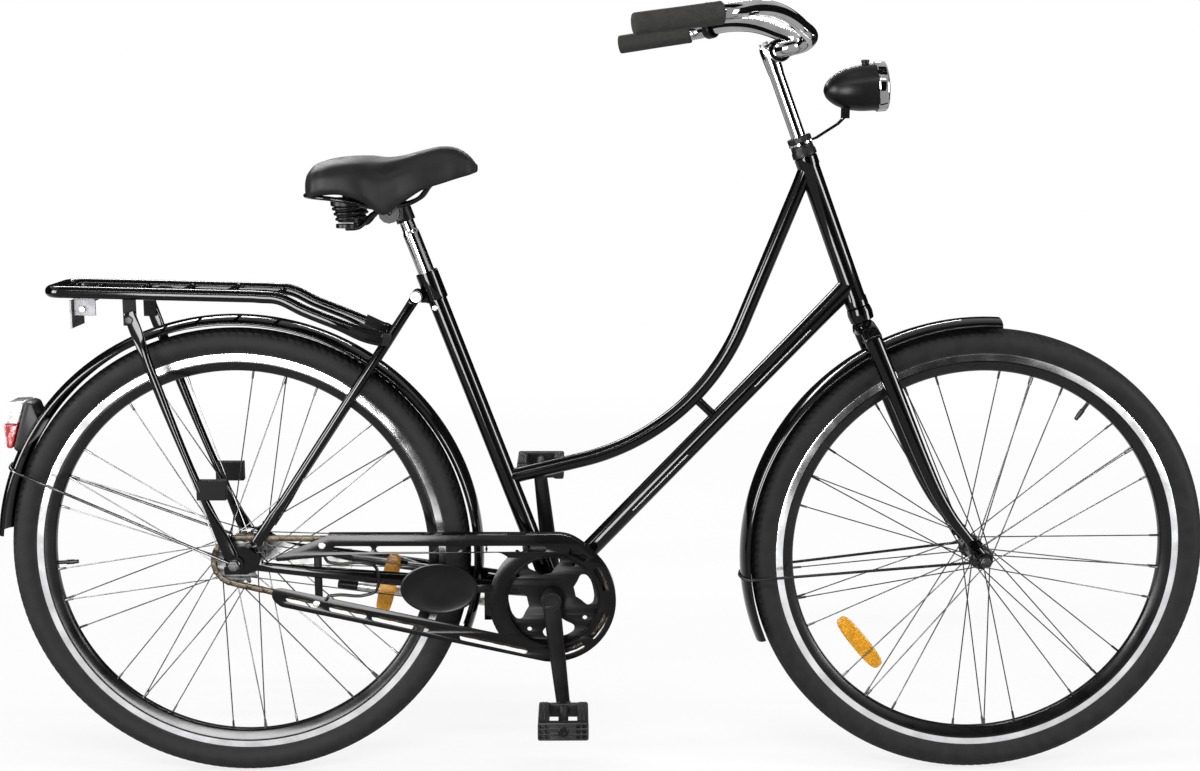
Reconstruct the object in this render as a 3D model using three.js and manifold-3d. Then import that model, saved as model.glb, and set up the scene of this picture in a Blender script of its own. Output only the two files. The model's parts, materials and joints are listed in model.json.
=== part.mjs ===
// A Dutch city bike: low step-through frame, 28 inch wheels, open chain case, rear rack and sprung saddle.
// Millimetres. +X is forward, +Y the rider's left, +Z up. Inside, the rear axle's foot is the working origin.

import * as THREE from 'three';
import { mergeVertices } from 'three/addons/utils/BufferGeometryUtils.js';
import Module from 'manifold-3d';

const wasm = await Module();
wasm.setup();

// Driving sizes of the whole bike
const wheelbase = 1151;
const rimFlange = 317;
const tyreHeight = 39;
const tyreRadius = rimFlange + tyreHeight;
const tyreWidth = 44;
const bracketHeight = 298;
const bracketReach = 482;
const headAngle = 69.2;
const seatAngle = 69.25;
const forkRake = 48;
const crankLength = 170;
const crankAngle = 6.4;
const chainPitch = 12.7;
const ringTeeth = 44;
const sprocketTeeth = 18;
const chainLine = 45;
const gap = 0.3;
const overrun = 2;

// Facet counts
const roundSides = 12;
const wireSides = 6;
const wheelSteps = 28;
const barSides = 8;
const weldDistance = 0.001;

const degree = Math.PI / 180;
const barAllowance = 1 / Math.cos(Math.PI / barSides);
const at = (x, y, z) => new THREE.Vector3(x, y, z);

// Geometry helpers

/** Welds a geometry into one indexed closed surface with its faces pointing out. */
function clean(geometry) {
  const bare = new THREE.BufferGeometry();
  bare.setAttribute('position', geometry.getAttribute('position').clone());
  if (geometry.index) bare.setIndex(geometry.index.clone());
  const welded = mergeVertices(bare, weldDistance);
  const corners = Array.from(welded.index.array);
  const position = welded.getAttribute('position');
  const points = Array.from({ length: position.count }, (unused, i) => at(0, 0,
    0).fromBufferAttribute(position, i));
  const faces = [];
  let volume = 0;
  for (let i = 0; i < corners.length; i += 3) {
    const [a, b, c] = corners.slice(i, i + 3);
    if (a === b || b === c || c === a) continue;
    faces.push([a, b, c]);
    volume += points[a].dot(points[b].clone().cross(points[c]));
  }
  welded.setIndex(faces.flatMap(([a, b, c]) => (volume < 0 ? [a, c, b] : [a, b, c])));
  return welded;
}

function toSolid(geometry) {
  const surface = clean(geometry);
  const vertProperties = new Float32Array(surface.getAttribute('position').array);
  const triVerts = new Uint32Array(surface.index.array);
  return new wasm.Manifold(new wasm.Mesh({ numProp: 3, vertProperties, triVerts }));
}

function toGeometry(solid) {
  const mesh = solid.getMesh();
  const geometry = new THREE.BufferGeometry();
  geometry.setAttribute('position', new THREE.BufferAttribute(new Float32Array(mesh.vertProperties), 3));
  geometry.setIndex(new THREE.BufferAttribute(new Uint32Array(mesh.triVerts), 1));
  return geometry;
}

function join(...pieces) {
  return toGeometry(pieces.map(toSolid).reduce((whole, next) => whole.add(next)));
}

function cut(piece, ...tools) {
  return toGeometry(tools.map(toSolid).reduce((whole, tool) => whole.subtract(tool), toSolid(piece)));
}

/** The same piece on the other side of the bike. */
const mirror = (geometry) => clean(geometry.clone().scale(1, -1, 1));

/** A round bar or cone between two points. */
function rod(from, to, radius, endRadius = radius, sides = roundSides) {
  const way = to.clone().sub(from);
  const bar = new THREE.CylinderGeometry(endRadius, radius, way.length(), sides);
  bar.translate(0, way.length() / 2, 0);
  bar.applyQuaternion(new THREE.Quaternion().setFromUnitVectors(at(0, 1, 0), way.normalize()));
  return bar.translate(from.x, from.y, from.z);
}

/** A turned piece about the bike's lateral axis, from [radius, y] points that close on themselves or the axis. */
function turned(profile, centre, steps = roundSides) {
  const points = profile.map(([r, y]) => new THREE.Vector2(r, y));
  return new THREE.LatheGeometry(points, steps).translate(centre.x, centre.y, centre.z);
}

/** A turned piece about an upright axis, from [radius, z] points. */
function upright(profile, steps = roundSides) {
  const points = profile.map(([r, z]) => new THREE.Vector2(r, z));
  return new THREE.LatheGeometry(points, steps).rotateX(Math.PI / 2);
}

/** A ring with a bore, as a closed [radius, along] profile. */
function ringProfile(outer, inner, low, high) {
  return [[inner, low], [outer, low], [outer, high], [inner, high], [inner, low]];
}

/** A path that a tube follows with one ring at each station, so straight runs need few. */
class StationPath extends THREE.Curve {
  constructor(stations) {
    super();
    this.stations = stations;
  }

  getPoint(share, target = at(0, 0, 0)) {
    const place = Math.min(Math.max(share, 0), 1) * (this.stations.length - 1);
    const low = Math.min(Math.floor(place), this.stations.length - 2);
    return target.lerpVectors(this.stations[low], this.stations[low + 1], place - low);
  }

  getPointAt(share, target) {
    return this.getPoint(share, target);
  }

  getTangentAt(share, target = at(0, 0, 0)) {
    const last = this.stations.length - 1;
    const here = Math.round(share * last);
    const before = this.stations[Math.max(here - 1, 0)];
    const after = this.stations[Math.min(here + 1, last)];
    const into = this.stations[here].clone().sub(before).normalize();
    const out = after.clone().sub(this.stations[here]).normalize();
    return target.copy(into.add(out)).normalize();
  }
}

function roundShape(radius, sides) {
  const corners = Array.from({ length: sides }, (unused, i) => {
    const turn = (i + 1 / 2) * 2 * Math.PI / sides;
    return new THREE.Vector2(radius * Math.cos(turn), radius * Math.sin(turn));
  });
  return new THREE.Shape(corners);
}

/** A round tube through a list of stations. */
function tube(stations, radius, sides = roundSides) {
  const extrudePath = new StationPath(stations);
  return new THREE.ExtrudeGeometry(roundShape(radius, sides),
    { extrudePath, steps: stations.length - 1, bevelEnabled: false });
}

/** Points of a smooth curve through the given ones. */
function smooth(points, steps) {
  return new THREE.CatmullRomCurve3(points, false, 'centripetal').getPoints(steps);
}

/** A closed solid through rings of equally many points, with flat ends cut into triangles by their outline. */
function skin(rings, outline = null, closed = false) {
  const count = rings[0].length;
  const positions = rings.flat().flatMap((point) => [point.x, point.y, point.z]);
  const faces = [];
  const spans = closed ? rings.length : rings.length - 1;
  for (let i = 0; i < spans; i += 1) {
    const here = i * count;
    const next = ((i + 1) % rings.length) * count;
    for (let j = 0; j < count; j += 1) {
      const k = (j + 1) % count;
      faces.push(here + j, here + k, next + k, here + j, next + k, next + j);
    }
  }
  if (!closed) {
    const flat = outline ?? rings[0].map((unused, j) => {
      const turn = 2 * Math.PI * j / count;
      return new THREE.Vector2(Math.cos(turn), Math.sin(turn));
    });
    const last = (rings.length - 1) * count;
    const facing = THREE.ShapeUtils.area(flat);
    THREE.ShapeUtils.triangulateShape(flat, []).forEach(([a, b, c]) => {
      const way = new THREE.Vector2().subVectors(flat[b],
        flat[a]).cross(new THREE.Vector2().subVectors(flat[c], flat[a]));
      const [p, q] = way * facing > 0 ? [b, c] : [c, b];
      faces.push(a, q, p, last + a, last + p, last + q);
    });
  }
  const geometry = new THREE.BufferGeometry();
  geometry.setAttribute('position', new THREE.Float32BufferAttribute(positions, 3));
  geometry.setIndex(faces);
  return geometry;
}

/** A tapering oval bar: each station is a centre with its half sizes across the path and along Y. */
function ovalBar(stations, sides = roundSides) {
  const rings = stations.map(({ centre, across, lateral }, i) => {
    const before = stations[Math.max(i - 1, 0)].centre;
    const after = stations[Math.min(i + 1, stations.length - 1)].centre;
    const along = after.clone().sub(before).normalize();
    const side = at(0, 1, 0).addScaledVector(along, -along.y).normalize();
    const over = new THREE.Vector3().crossVectors(along, side);
    return Array.from({ length: sides }, (unused, j) => {
      const turn = (j + 1 / 2) * 2 * Math.PI / sides;
      return centre.clone().addScaledVector(over, across * Math.cos(turn))
        .addScaledVector(side, lateral * Math.sin(turn));
    });
  });
  return skin(rings);
}

/** A flat plate in the XZ plane between two y values. */
function plate(shape, yLow, yHigh, curveSegments = 6) {
  const board = new THREE.ExtrudeGeometry(shape, { depth: yHigh - yLow, bevelEnabled: false,
    curveSegments });
  return board.rotateX(Math.PI / 2).translate(0, yHigh, 0);
}

const shapeOf = (points) => new THREE.Shape(points.map(([x, z]) => new THREE.Vector2(x, z)));

function circlePath(x, z, radius, sides) {
  const points = Array.from({ length: sides }, (unused, i) => {
    const turn = 2 * Math.PI * i / sides;
    return new THREE.Vector2(x + radius * Math.cos(turn), z + radius * Math.sin(turn));
  });
  return new THREE.Path(points);
}

/** A section of [radius, y] points swept round a lateral axis from one angle to another. */
function arcSweep(sectionAt, centre, from, to, steps) {
  const rings = Array.from({ length: steps + 1 }, (unused, i) => {
    const share = i / steps;
    const turn = (from + (to - from) * share) * degree;
    return sectionAt(share).map(([r, y]) => at(centre.x + r * Math.cos(turn), y,
      centre.z + r * Math.sin(turn)));
  });
  return skin(rings, sectionAt(0).map(([r, y]) => new THREE.Vector2(r, y)));
}

/** Where the line through p along d crosses the line through q along w, in the bike's middle plane. */
function meet(p, d, q, w) {
  const across = d.x * w.z - d.z * w.x;
  const share = ((q.x - p.x) * w.z - (q.z - p.z) * w.x) / across;
  return p.clone().addScaledVector(d, share);
}

/** A box between two corners. */
function block(low, high) {
  const size = high.clone().sub(low);
  const middle = high.clone().add(low).multiplyScalar(1 / 2);
  return new THREE.BoxGeometry(size.x, size.y, size.z).translate(middle.x, middle.y, middle.z);
}

// The scene graph: the bike stands on z = 0 with its origin under the middle of its length

const fender = { radius: tyreRadius + 20.5, halfWidth: 29, sheet: 1.6, crown: 13 };
const bike = new THREE.Group();
const whole = new THREE.Group();
whole.position.x = -(wheelbase + tyreRadius - fender.radius) / 2;
bike.add(whole);

const rearAxle = at(0, 0, tyreRadius);
const frontAxle = at(wheelbase, 0, tyreRadius);
const bracket = at(bracketReach, 0, bracketHeight);

const finishes = {
  glossBlack: new THREE.MeshStandardMaterial({ color: 0x08080a, roughness: 0.12, metalness: 0.1 }),
  satinBlack: new THREE.MeshStandardMaterial({ color: 0x141416, roughness: 0.45, metalness: 0.1 }),
  chrome: new THREE.MeshStandardMaterial({ color: 0xc9ccd0, roughness: 0.08, metalness: 1 }),
  steel: new THREE.MeshStandardMaterial({ color: 0x8d8f92, roughness: 0.35, metalness: 0.9 }),
  darkSteel: new THREE.MeshStandardMaterial({ color: 0x2b2b2d, roughness: 0.4, metalness: 0.8 }),
  chainSteel: new THREE.MeshStandardMaterial({ color: 0x6b5f50, roughness: 0.4, metalness: 0.8 }),
  tyre: new THREE.MeshStandardMaterial({ color: 0x232324, roughness: 0.85, metalness: 0 }),
  grip: new THREE.MeshStandardMaterial({ color: 0x2c2b2b, roughness: 0.9, metalness: 0 }),
  saddle: new THREE.MeshStandardMaterial({ color: 0x1b1b1c, roughness: 0.55, metalness: 0 }),
  amber: new THREE.MeshStandardMaterial({ color: 0xe38a0c, roughness: 0.25, metalness: 0 }),
  red: new THREE.MeshStandardMaterial({ color: 0xb01218, roughness: 0.2, metalness: 0 }),
  clear: new THREE.MeshStandardMaterial({ color: 0xdfe5e8, roughness: 0.1, metalness: 0 }),
  rubber: new THREE.MeshStandardMaterial({ color: 0x1c1c1d, roughness: 0.8, metalness: 0 }),
};

function add(parent, name, geometry, finish) {
  const mesh = new THREE.Mesh(clean(geometry), finishes[finish].clone());
  mesh.name = name;
  parent.add(mesh);
  return mesh;
}

// Steering line: up the head tube, with "rise" along it from the foot nearest the front axle

const headCos = Math.cos(headAngle * degree);
const headSin = Math.sin(headAngle * degree);
const steeringFoot = at(wheelbase - forkRake * headSin, 0, tyreRadius - forkRake * headCos);
const steering = new THREE.Group();
steering.position.copy(steeringFoot);
steering.rotation.y = (headAngle - 90) * degree;
whole.add(steering);
const steerPoint = (ahead, y, rise) => at(
  steeringFoot.x + ahead * headSin - rise * headCos, y, steeringFoot.z + ahead * headCos + rise * headSin);

const head = { outer: 15.9, inner: 14.2, low: 433.5, high: 677.3 };
const lowerCup = { outer: 18, rim: 19.2, height: 20 };
const upperStack = { cup: 18.6, neck: 17, nut: 18.4, cupHeight: 11, neckHeight: 8, washer: 3,
  nutHeight: 9 };
const quill = { radius: 11.1, foot: 560, top: 824 };
const steerer = { outer: 12.7, inner: quill.radius + gap };

// Frame tubes

const seatCos = Math.cos(seatAngle * degree);
const seatSin = Math.sin(seatAngle * degree);
const seatPoint = (along, behind = 0) => at(
  bracket.x - along * seatCos - behind * seatSin, 0, bracket.z + along * seatSin - behind * seatCos);
const shell = { outer: 20, inner: 16.5, half: 35, cup: 9.4, cupDepth: 9 };
const mainTube = { radius: 14.3, wall: 1.8 };
const post = { radius: 12.7, foot: 380, lower: 10, shoulder: 596, neck: 11, top: 640 };
const lug = { outer: 17.3, low: 488.7, high: 534, slot: 3 };

const shellAround = rod(at(bracket.x, -shell.half - overrun, bracket.z), at(bracket.x,
  shell.half + overrun, bracket.z),
  shell.outer + gap, shell.outer + gap, roundSides);
const facetAllowance = 1 / Math.cos(Math.PI / roundSides);
const headAround = (extra) => rod(steerPoint(0, 0, head.low - overrun), steerPoint(0, 0,
  head.high + overrun),
  (head.outer + extra) * facetAllowance);
const seatAround = (from, to, extra) => rod(seatPoint(from), seatPoint(to), mainTube.radius + extra);

add(steering, 'head_tube', upright(ringProfile(head.outer, head.inner, head.low, head.high)), 'glossBlack');

// Down tube: from the bottom bracket shell to the foot of the head tube
const downTop = steerPoint(0, 0, 470);
const downBore = rod(bracket, downTop, mainTube.radius - mainTube.wall, mainTube.radius - mainTube.wall,
  roundSides / 2);
add(whole, 'down_tube', cut(rod(bracket, downTop, mainTube.radius), shellAround, headAround(gap),
  downBore), 'glossBlack');

// Top tube: straight off the head tube, one long bend, then nearly level to the seat tube, with its welded strut
const top = { radius: 11.5, headRise: 664, headRun: 261, bend: 352.4, steep: 68.34, shallow: 13.57,
  steps: 10 };
const strut = { radius: 6, angle: -43.5 };
const steepWay = at(-Math.cos(top.steep * degree), 0, -Math.sin(top.steep * degree));
const shallowWay = at(-Math.cos(top.shallow * degree), 0, -Math.sin(top.shallow * degree));
const topStart = steerPoint(0, 0, top.headRise);
const bendStart = topStart.clone().addScaledVector(steepWay, top.headRun);
const bendCentre = bendStart.clone().add(at(steepWay.z, 0, -steepWay.x).multiplyScalar(top.bend));
const bendPoint = (angle, radius = top.bend) => at(
  bendCentre.x + radius * Math.cos(angle * degree), 0, bendCentre.z + radius * Math.sin(angle * degree));
const topBend = Array.from({ length: top.steps + 1 }, (unused, i) => {
  const angle = top.steep + (top.shallow - top.steep) * i / top.steps;
  return bendPoint(angle - 90);
});
const topEnd = meet(topBend[top.steps], shallowWay, bracket, seatPoint(1).sub(bracket));
const strutEnd = meet(bendCentre, bendPoint(strut.angle).sub(bendCentre), bracket,
  downTop.clone().sub(bracket));
add(whole, 'top_tube', cut(
  join(tube([topStart, ...topBend, topEnd], top.radius),
    rod(bendPoint(strut.angle), strutEnd, strut.radius, strut.radius, wireSides * 2)),
  headAround(gap), seatAround(0, lug.low, gap), rod(bracket, downTop, mainTube.radius + gap)),
    'glossBlack');

// Seat tube with its slotted lug and the ears that the seat stays bolt to
const seatCut = lug.slot / 2;
const earBolt = { along: 505, behind: 27, radius: 4 };
const earCentre = seatPoint(earBolt.along, earBolt.behind);
const stayTop = { eye: 9.5, inner: 12.3, outer: 17.5 };
const earRoot = seatPoint(earBolt.along, 0);
const bore = rod(seatPoint(post.foot - post.lower - overrun), seatPoint(lug.high + overrun),
  (post.radius + gap) * facetAllowance);
const ears = join(
  rod(at(earCentre.x, -stayTop.inner + gap, earCentre.z), at(earCentre.x, stayTop.inner - gap,
    earCentre.z), stayTop.eye),
  block(at(earCentre.x, -stayTop.inner + gap, earCentre.z - stayTop.eye),
    at(earRoot.x, stayTop.inner - gap, earCentre.z + stayTop.eye)));
add(whole, 'seat_tube', cut(
  join(seatAround(0, lug.high, 0), rod(seatPoint(lug.low), seatPoint(lug.high), lug.outer), ears),
  bore, shellAround, rod(bracket, downTop, mainTube.radius + gap),
  rod(at(earCentre.x, -lug.outer * 2, earCentre.z), at(earCentre.x, lug.outer * 2, earCentre.z),
    earBolt.radius + gap),
  block(at(earCentre.x - stayTop.eye * 2, -seatCut, earCentre.z - stayTop.eye * 2),
    at(earRoot.x, seatCut, earCentre.z + stayTop.eye * 4))), 'glossBlack');
const boltHead = { radius: 8, height: 4 };
const boltHeadAt = stayTop.outer + gap;
add(whole, 'seat_bolt', join(
  rod(at(earCentre.x, -boltHeadAt - boltHead.height, earCentre.z), at(earCentre.x,
    boltHeadAt + boltHead.height, earCentre.z),
    earBolt.radius),
  rod(at(earCentre.x, -boltHeadAt - boltHead.height, earCentre.z), at(earCentre.x, -boltHeadAt,
    earCentre.z), boltHead.radius),
  rod(at(earCentre.x, boltHeadAt, earCentre.z), at(earCentre.x, boltHeadAt + boltHead.height, earCentre.z),
    boltHead.radius, boltHead.radius, 6)), 'steel');

// Bottom bracket shell with its bearing cups
add(whole, 'bottom_bracket_shell', turned([
  [shell.cup, -shell.half], [shell.outer, -shell.half], [shell.outer, shell.half], [shell.cup, shell.half],
  [shell.cup, shell.half - shell.cupDepth], [shell.inner, shell.half - shell.cupDepth],
  [shell.inner, -shell.half + shell.cupDepth], [shell.cup, -shell.half + shell.cupDepth],
  [shell.cup, -shell.half]], bracket), 'glossBlack');

// Rear triangle: the axle stack outside the dropouts holds the rack leg and the fender stay
const axle = { radius: 5, nut: 8.5, nutHeight: 6.5, end: 1 };
const stack = { dropout: 5, leg: 4, eye: 3 };
const rearHalf = 57;
const frontHalf = 50;
const rearPlace = {
  dropout: rearHalf + gap,
  leg: rearHalf + gap + stack.dropout + gap,
  eye: rearHalf + gap + stack.dropout + gap + stack.leg + gap,
};
rearPlace.nut = rearPlace.eye + stack.eye + gap;
const frontPlace = { dropout: frontHalf + gap, eye: frontHalf + gap + stack.dropout + gap };
frontPlace.nut = frontPlace.eye + stack.eye + gap;
const dropout = { radius: 17, length: 40 };

function dropoutPlate() {
  const half = dropout.radius;
  const shape = shapeOf([
    [-half, -half], [half, -half], [dropout.length, -half / 3], [dropout.length, half * 2 / 3],
    [half, half * 3 / 2], [0, half * 3 / 2], [-half, half]]);
  const slotHalf = axle.radius + gap;
  const slot = block(at(-half - overrun, -rearPlace.dropout - stack.dropout - overrun,
    tyreRadius - slotHalf),
    at(0, -rearPlace.dropout + overrun, tyreRadius + slotHalf));
  const eye = rod(at(0, -rearPlace.dropout - stack.dropout - overrun, tyreRadius),
    at(0, -rearPlace.dropout + overrun, tyreRadius), slotHalf);
  return cut(plate(shape, -rearPlace.dropout - stack.dropout, -rearPlace.dropout).translate(0, 0,
    tyreRadius), slot, eye);
}

const stayBar = { tall: 11, thin: 6 };
const chainstayShares = [
  [0.03, 0.36, 0.95, 1.3], [0.16, 0.47, 1.05, 1.05], [0.28, 0.56, 1.05, 1], [0.5, 0.74, 1, 1.05],
  [0.76, 0.95, 0.8, 1], [0.88, 1, 0.72, 0.6], [0.95, 1, 0.72, 0.38]];
const dropoutMiddle = rearPlace.dropout + stack.dropout / 2;
const chainstay = (side) => {
  const stations = chainstayShares.map(([run, spread, tall, thin]) => ({
    centre: at(bracket.x * (1 - run), -dropoutMiddle * spread, bracket.z + (rearAxle.z - bracket.z) * run),
    across: stayBar.tall * tall,
    lateral: stayBar.thin * thin,
  }));
  const right = cut(join(ovalBar(stations, barSides), dropoutPlate()), shellAround);
  return side < 0 ? right : mirror(right);
};
add(whole, 'right_chainstay', chainstay(-1), 'glossBlack');
add(whole, 'left_chainstay', chainstay(1), 'glossBlack');

// Seat stays: an eye at the lug, a bowed round bar, a plugged flat end bolted outside the dropout's upper edge
const seatStay = { radius: 8, foot: 25.5, footRise: 21 };
const stayFoot = at(seatStay.foot, -dropoutMiddle, rearAxle.z + seatStay.footRise);
const seatStayShares = [
  [0, 0.248, 1, 0.3], [0.03, 0.248, 1, 0.3], [0.07, 0.29, 0.95, 0.7], [0.11, 0.37, 0.95, 0.95], [0.2, 0.56,
    1, 1], [0.32, 0.69, 1, 1],
  [0.55, 0.84, 0.95, 0.95], [0.8, 0.97, 0.9, 0.85], [0.86, 1, 1.15, 0.5], [0.97, 1, 1.15, 0.3]];
const seatStayBar = (side) => {
  const right = join(
    ovalBar(seatStayShares.map(([run, spread, tall, thin]) => ({
      centre: at(earCentre.x + (stayFoot.x - earCentre.x) * run, -dropoutMiddle * spread,
        earCentre.z + (stayFoot.z - earCentre.z) * run),
      across: seatStay.radius * tall,
      lateral: seatStay.radius * thin,
    })), barSides),
    rod(at(earCentre.x, -stayTop.outer, earCentre.z), at(earCentre.x, -stayTop.inner, earCentre.z),
      stayTop.eye));
  const trimmed = cut(right,
    rod(at(earCentre.x, -lug.outer * 2, earCentre.z), at(earCentre.x, 0, earCentre.z),
      earBolt.radius + gap),
    block(at(earCentre.x - 3 * stayTop.eye, -stayTop.inner, earCentre.z - 2 * stayTop.eye),
      at(earCentre.x + 3 * stayTop.eye, 0, earCentre.z + 2 * stayTop.eye)),
    dropoutRoom());
  return side < 0 ? trimmed : mirror(trimmed);
};

/** Room for the dropout's thickness, so the stay's flat end stops above it. */
function dropoutRoom() {
  const half = dropout.radius;
  return block(at(-half, -rearPlace.dropout - stack.dropout * 2, 0),
    at(dropout.length + gap, 0, rearAxle.z + half * 3 / 2 + gap));
}

add(whole, 'right_seat_stay', seatStayBar(-1), 'glossBlack');
add(whole, 'left_seat_stay', seatStayBar(1), 'glossBlack');

// Axles with their cones and nuts
function axleBar(centre, half, nutAt) {
  const end = nutAt + axle.nutHeight + axle.end;
  const bar = rod(at(centre.x, -end, centre.z), at(centre.x, end, centre.z), axle.radius, axle.radius,
    barSides);
  const nuts = [-1, 1].map((side) => rod(at(centre.x, side * nutAt, centre.z),
    at(centre.x, side * (nutAt + axle.nutHeight), centre.z), axle.nut, axle.nut, 6));
  return join(bar, ...nuts);
}
add(whole, 'rear_axle', axleBar(rearAxle, rearHalf, rearPlace.nut), 'steel');
add(whole, 'front_axle', axleBar(frontAxle, frontHalf, frontPlace.nut), 'steel');

// Wheels
const rim = { flange: rimFlange, halfWidth: 12.2, wall: 1.5, track: rimFlange - 11, bed: rimFlange - 20,
  inner: rimFlange - 27.4, nose: 3.5 };
const tyre = { bulge: tyreWidth / 2, bead: 8.2, seat: 10.2, beadRadius: rimFlange - 5.5, foot: 56,
  steps: 4 };
tyre.tall = (tyreRadius - rim.flange - gap) / (1 + Math.sin(tyre.foot * degree));
const hubSizes = {
  front: { flange: 19, flangeAt: 34, flangeWidth: 3, barrel: 13, end: 9, half: frontHalf, holes: 15.5 },
  rear: { flange: 33, flangeAt: 29, flangeWidth: 3.5, barrel: 25, end: 15, half: rearHalf, holes: 29 },
};
const spoke = { radius: 1, count: 36, crossings: 3, landing: 1.2 };

function tyreProfile() {
  const reach = tyreRadius - tyre.tall;
  const low = -tyre.foot;
  const arc = Array.from({ length: tyre.steps + 1 }, (unused, i) => {
    const turn = (low + (180 - 2 * low) * i / tyre.steps) * degree;
    return [reach + tyre.tall * Math.sin(turn), tyre.bulge * Math.cos(turn)];
  });
  return [[tyre.beadRadius, -tyre.bead], [tyre.beadRadius, tyre.bead], [arc[0][0], tyre.seat], ...arc,
    [arc[0][0], -tyre.seat], [tyre.beadRadius, -tyre.bead]];
}

function rimProfile() {
  const { flange, halfWidth, wall, track, bed, inner, nose } = rim;
  return [[flange, halfWidth], [track, halfWidth], [inner, nose], [inner, -nose], [track, -halfWidth],
    [flange, -halfWidth], [flange, wall - halfWidth], [bed, -nose], [bed, nose], [flange,
      halfWidth - wall], [flange, halfWidth]];
}

function hubProfile({ flange, flangeAt, flangeWidth, barrel, end, half }) {
  const inner = axle.radius + gap;
  const outside = flangeAt + flangeWidth / 2;
  const inside = flangeAt - flangeWidth / 2;
  return [[inner, -half], [end, -half], [end, -outside], [flange, -outside], [flange, -inside], [barrel,
    -inside],
    [barrel, inside], [flange, inside], [flange, outside], [end, outside], [end, half], [inner, half],
      [inner, -half]];
}

/** Spokes leave the flange holes nearly at a tangent and cross three others on their way to the rim. */
function lacedHub(size, centre) {
  const perSide = spoke.count / 2;
  const spokes = Array.from({ length: spoke.count }, (unused, i) => {
    const side = i % 2 === 0 ? -1 : 1;
    const number = Math.floor(i / 2);
    const lean = number % 2 === 0 ? 1 : -1;
    const hole = (number + (side > 0 ? 1 / 2 : 0)) * 2 * Math.PI / perSide;
    const landing = hole + lean * spoke.crossings * 2 * Math.PI / perSide + lean * Math.PI / spoke.count;
    const face = size.flangeAt + lean * size.flangeWidth / 2;
    const rimRadius = rim.inner * Math.cos(Math.PI / wheelSteps) - gap;
    const start = at(centre.x + size.holes * Math.cos(hole), side * face,
      centre.z + size.holes * Math.sin(hole));
    const end = at(centre.x + rimRadius * Math.cos(landing),
      side * spoke.landing + lean * spoke.radius * 11 / 10,
      centre.z + rimRadius * Math.sin(landing));
    return rod(start, end, spoke.radius + (size.spokeExtra ?? 0), spoke.radius + (size.spokeExtra ?? 0), 3);
  });
  return join(turned(hubProfile(size), centre, roundSides), ...spokes);
}

/** A hub and its spokes with the running clearance added, to cut what clips round them. */
function grown(size) {
  return { ...size, spokeExtra: gap };
}

const reflector = { long: 51.5, short: 13, thick: 8,
  front: { radius: 233, angle: 219.4, side: -4 }, rear: { radius: 231, angle: -13.5, side: 6 } };

function reflectorPlate(centre, { radius, angle, side }) {
  const outline = new THREE.Shape(Array.from({ length: 12 }, (unused, i) => {
    const turn = i * Math.PI / 6;
    return new THREE.Vector2(reflector.short * Math.cos(turn), reflector.long * Math.sin(turn));
  }));
  const lens = plate(outline, side - reflector.thick / 2,
    side + reflector.thick / 2).rotateY(-angle * degree);
  return lens.translate(centre.x + radius * Math.cos(angle * degree), 0,
    centre.z + radius * Math.sin(angle * degree));
}

[['front', frontAxle], ['rear', rearAxle]].forEach(([name, centre]) => {
  add(whole, `${name}_tyre`, turned(tyreProfile(), centre, wheelSteps), 'tyre');
  add(whole, `${name}_rim`, turned(rimProfile(), centre, wheelSteps), 'satinBlack');
  add(whole, `${name}_hub_and_spokes`, lacedHub(hubSizes[name], centre), 'steel');
});

// Reflectors clipped between the spokes
add(whole, 'front_reflector', cut(reflectorPlate(frontAxle, reflector.front),
  lacedHub(grown(hubSizes.front), frontAxle)), 'amber');
add(whole, 'rear_reflector', cut(reflectorPlate(rearAxle, reflector.rear), lacedHub(grown(hubSizes.rear),
  rearAxle)), 'amber');

// Fork: steerer, sloping crown, oval raked blades and dropouts
const fork = { crownLow: 384, crownHigh: 411, spread: 42, eyeRadius: 13 };
const bladeShares = [
  [1, 0, 0.97, 1.25, 1.1], [0.82, 0.08, 0.9, 1.15, 1.05], [0.62, 0.15, 0.93, 1.05, 0.98], [0.45, 0.22,
    0.96, 0.95, 0.9],
  [0.32, 0.31, 0.98, 0.86, 0.82], [0.2, 0.5, 0.99, 0.78, 0.72], [0.12, 0.71, 1, 0.7, 0.62], [0.06, 0.88, 1,
    0.62, 0.45]];
const blade = { across: 11, lateral: 9.5, top: 392 };
const dropMiddle = frontPlace.dropout + stack.dropout / 2;
const bladeTopY = fork.spread;
const bladeStations = smooth(bladeShares.map(([up, ahead, out]) => at(forkRake * ahead, out,
  blade.top * up)), 10);
const bladeSize = (rise, index) => {
  const spot = bladeShares.findIndex(([up]) => blade.top * up <= rise);
  const [high, low] = [bladeShares[Math.max(spot - 1, 0)], bladeShares[Math.max(spot, 0)]];
  const share = high === low ? 0 : (high[0] - rise / blade.top) / (high[0] - low[0]);
  return high[index] + (low[index] - high[index]) * share;
};
const bladeY = (rise) => -(bladeTopY + (dropMiddle - bladeTopY) * Math.min(1, Math.max(0,
  1 - rise / blade.top) * 5 / 4));
const rightBlade = ovalBar(bladeStations.map((point) => ({
  centre: at(point.x, bladeY(point.z), point.z),
  across: blade.across * bladeSize(point.z, 3),
  lateral: blade.lateral * bladeSize(point.z, 4),
})), barSides);
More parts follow.
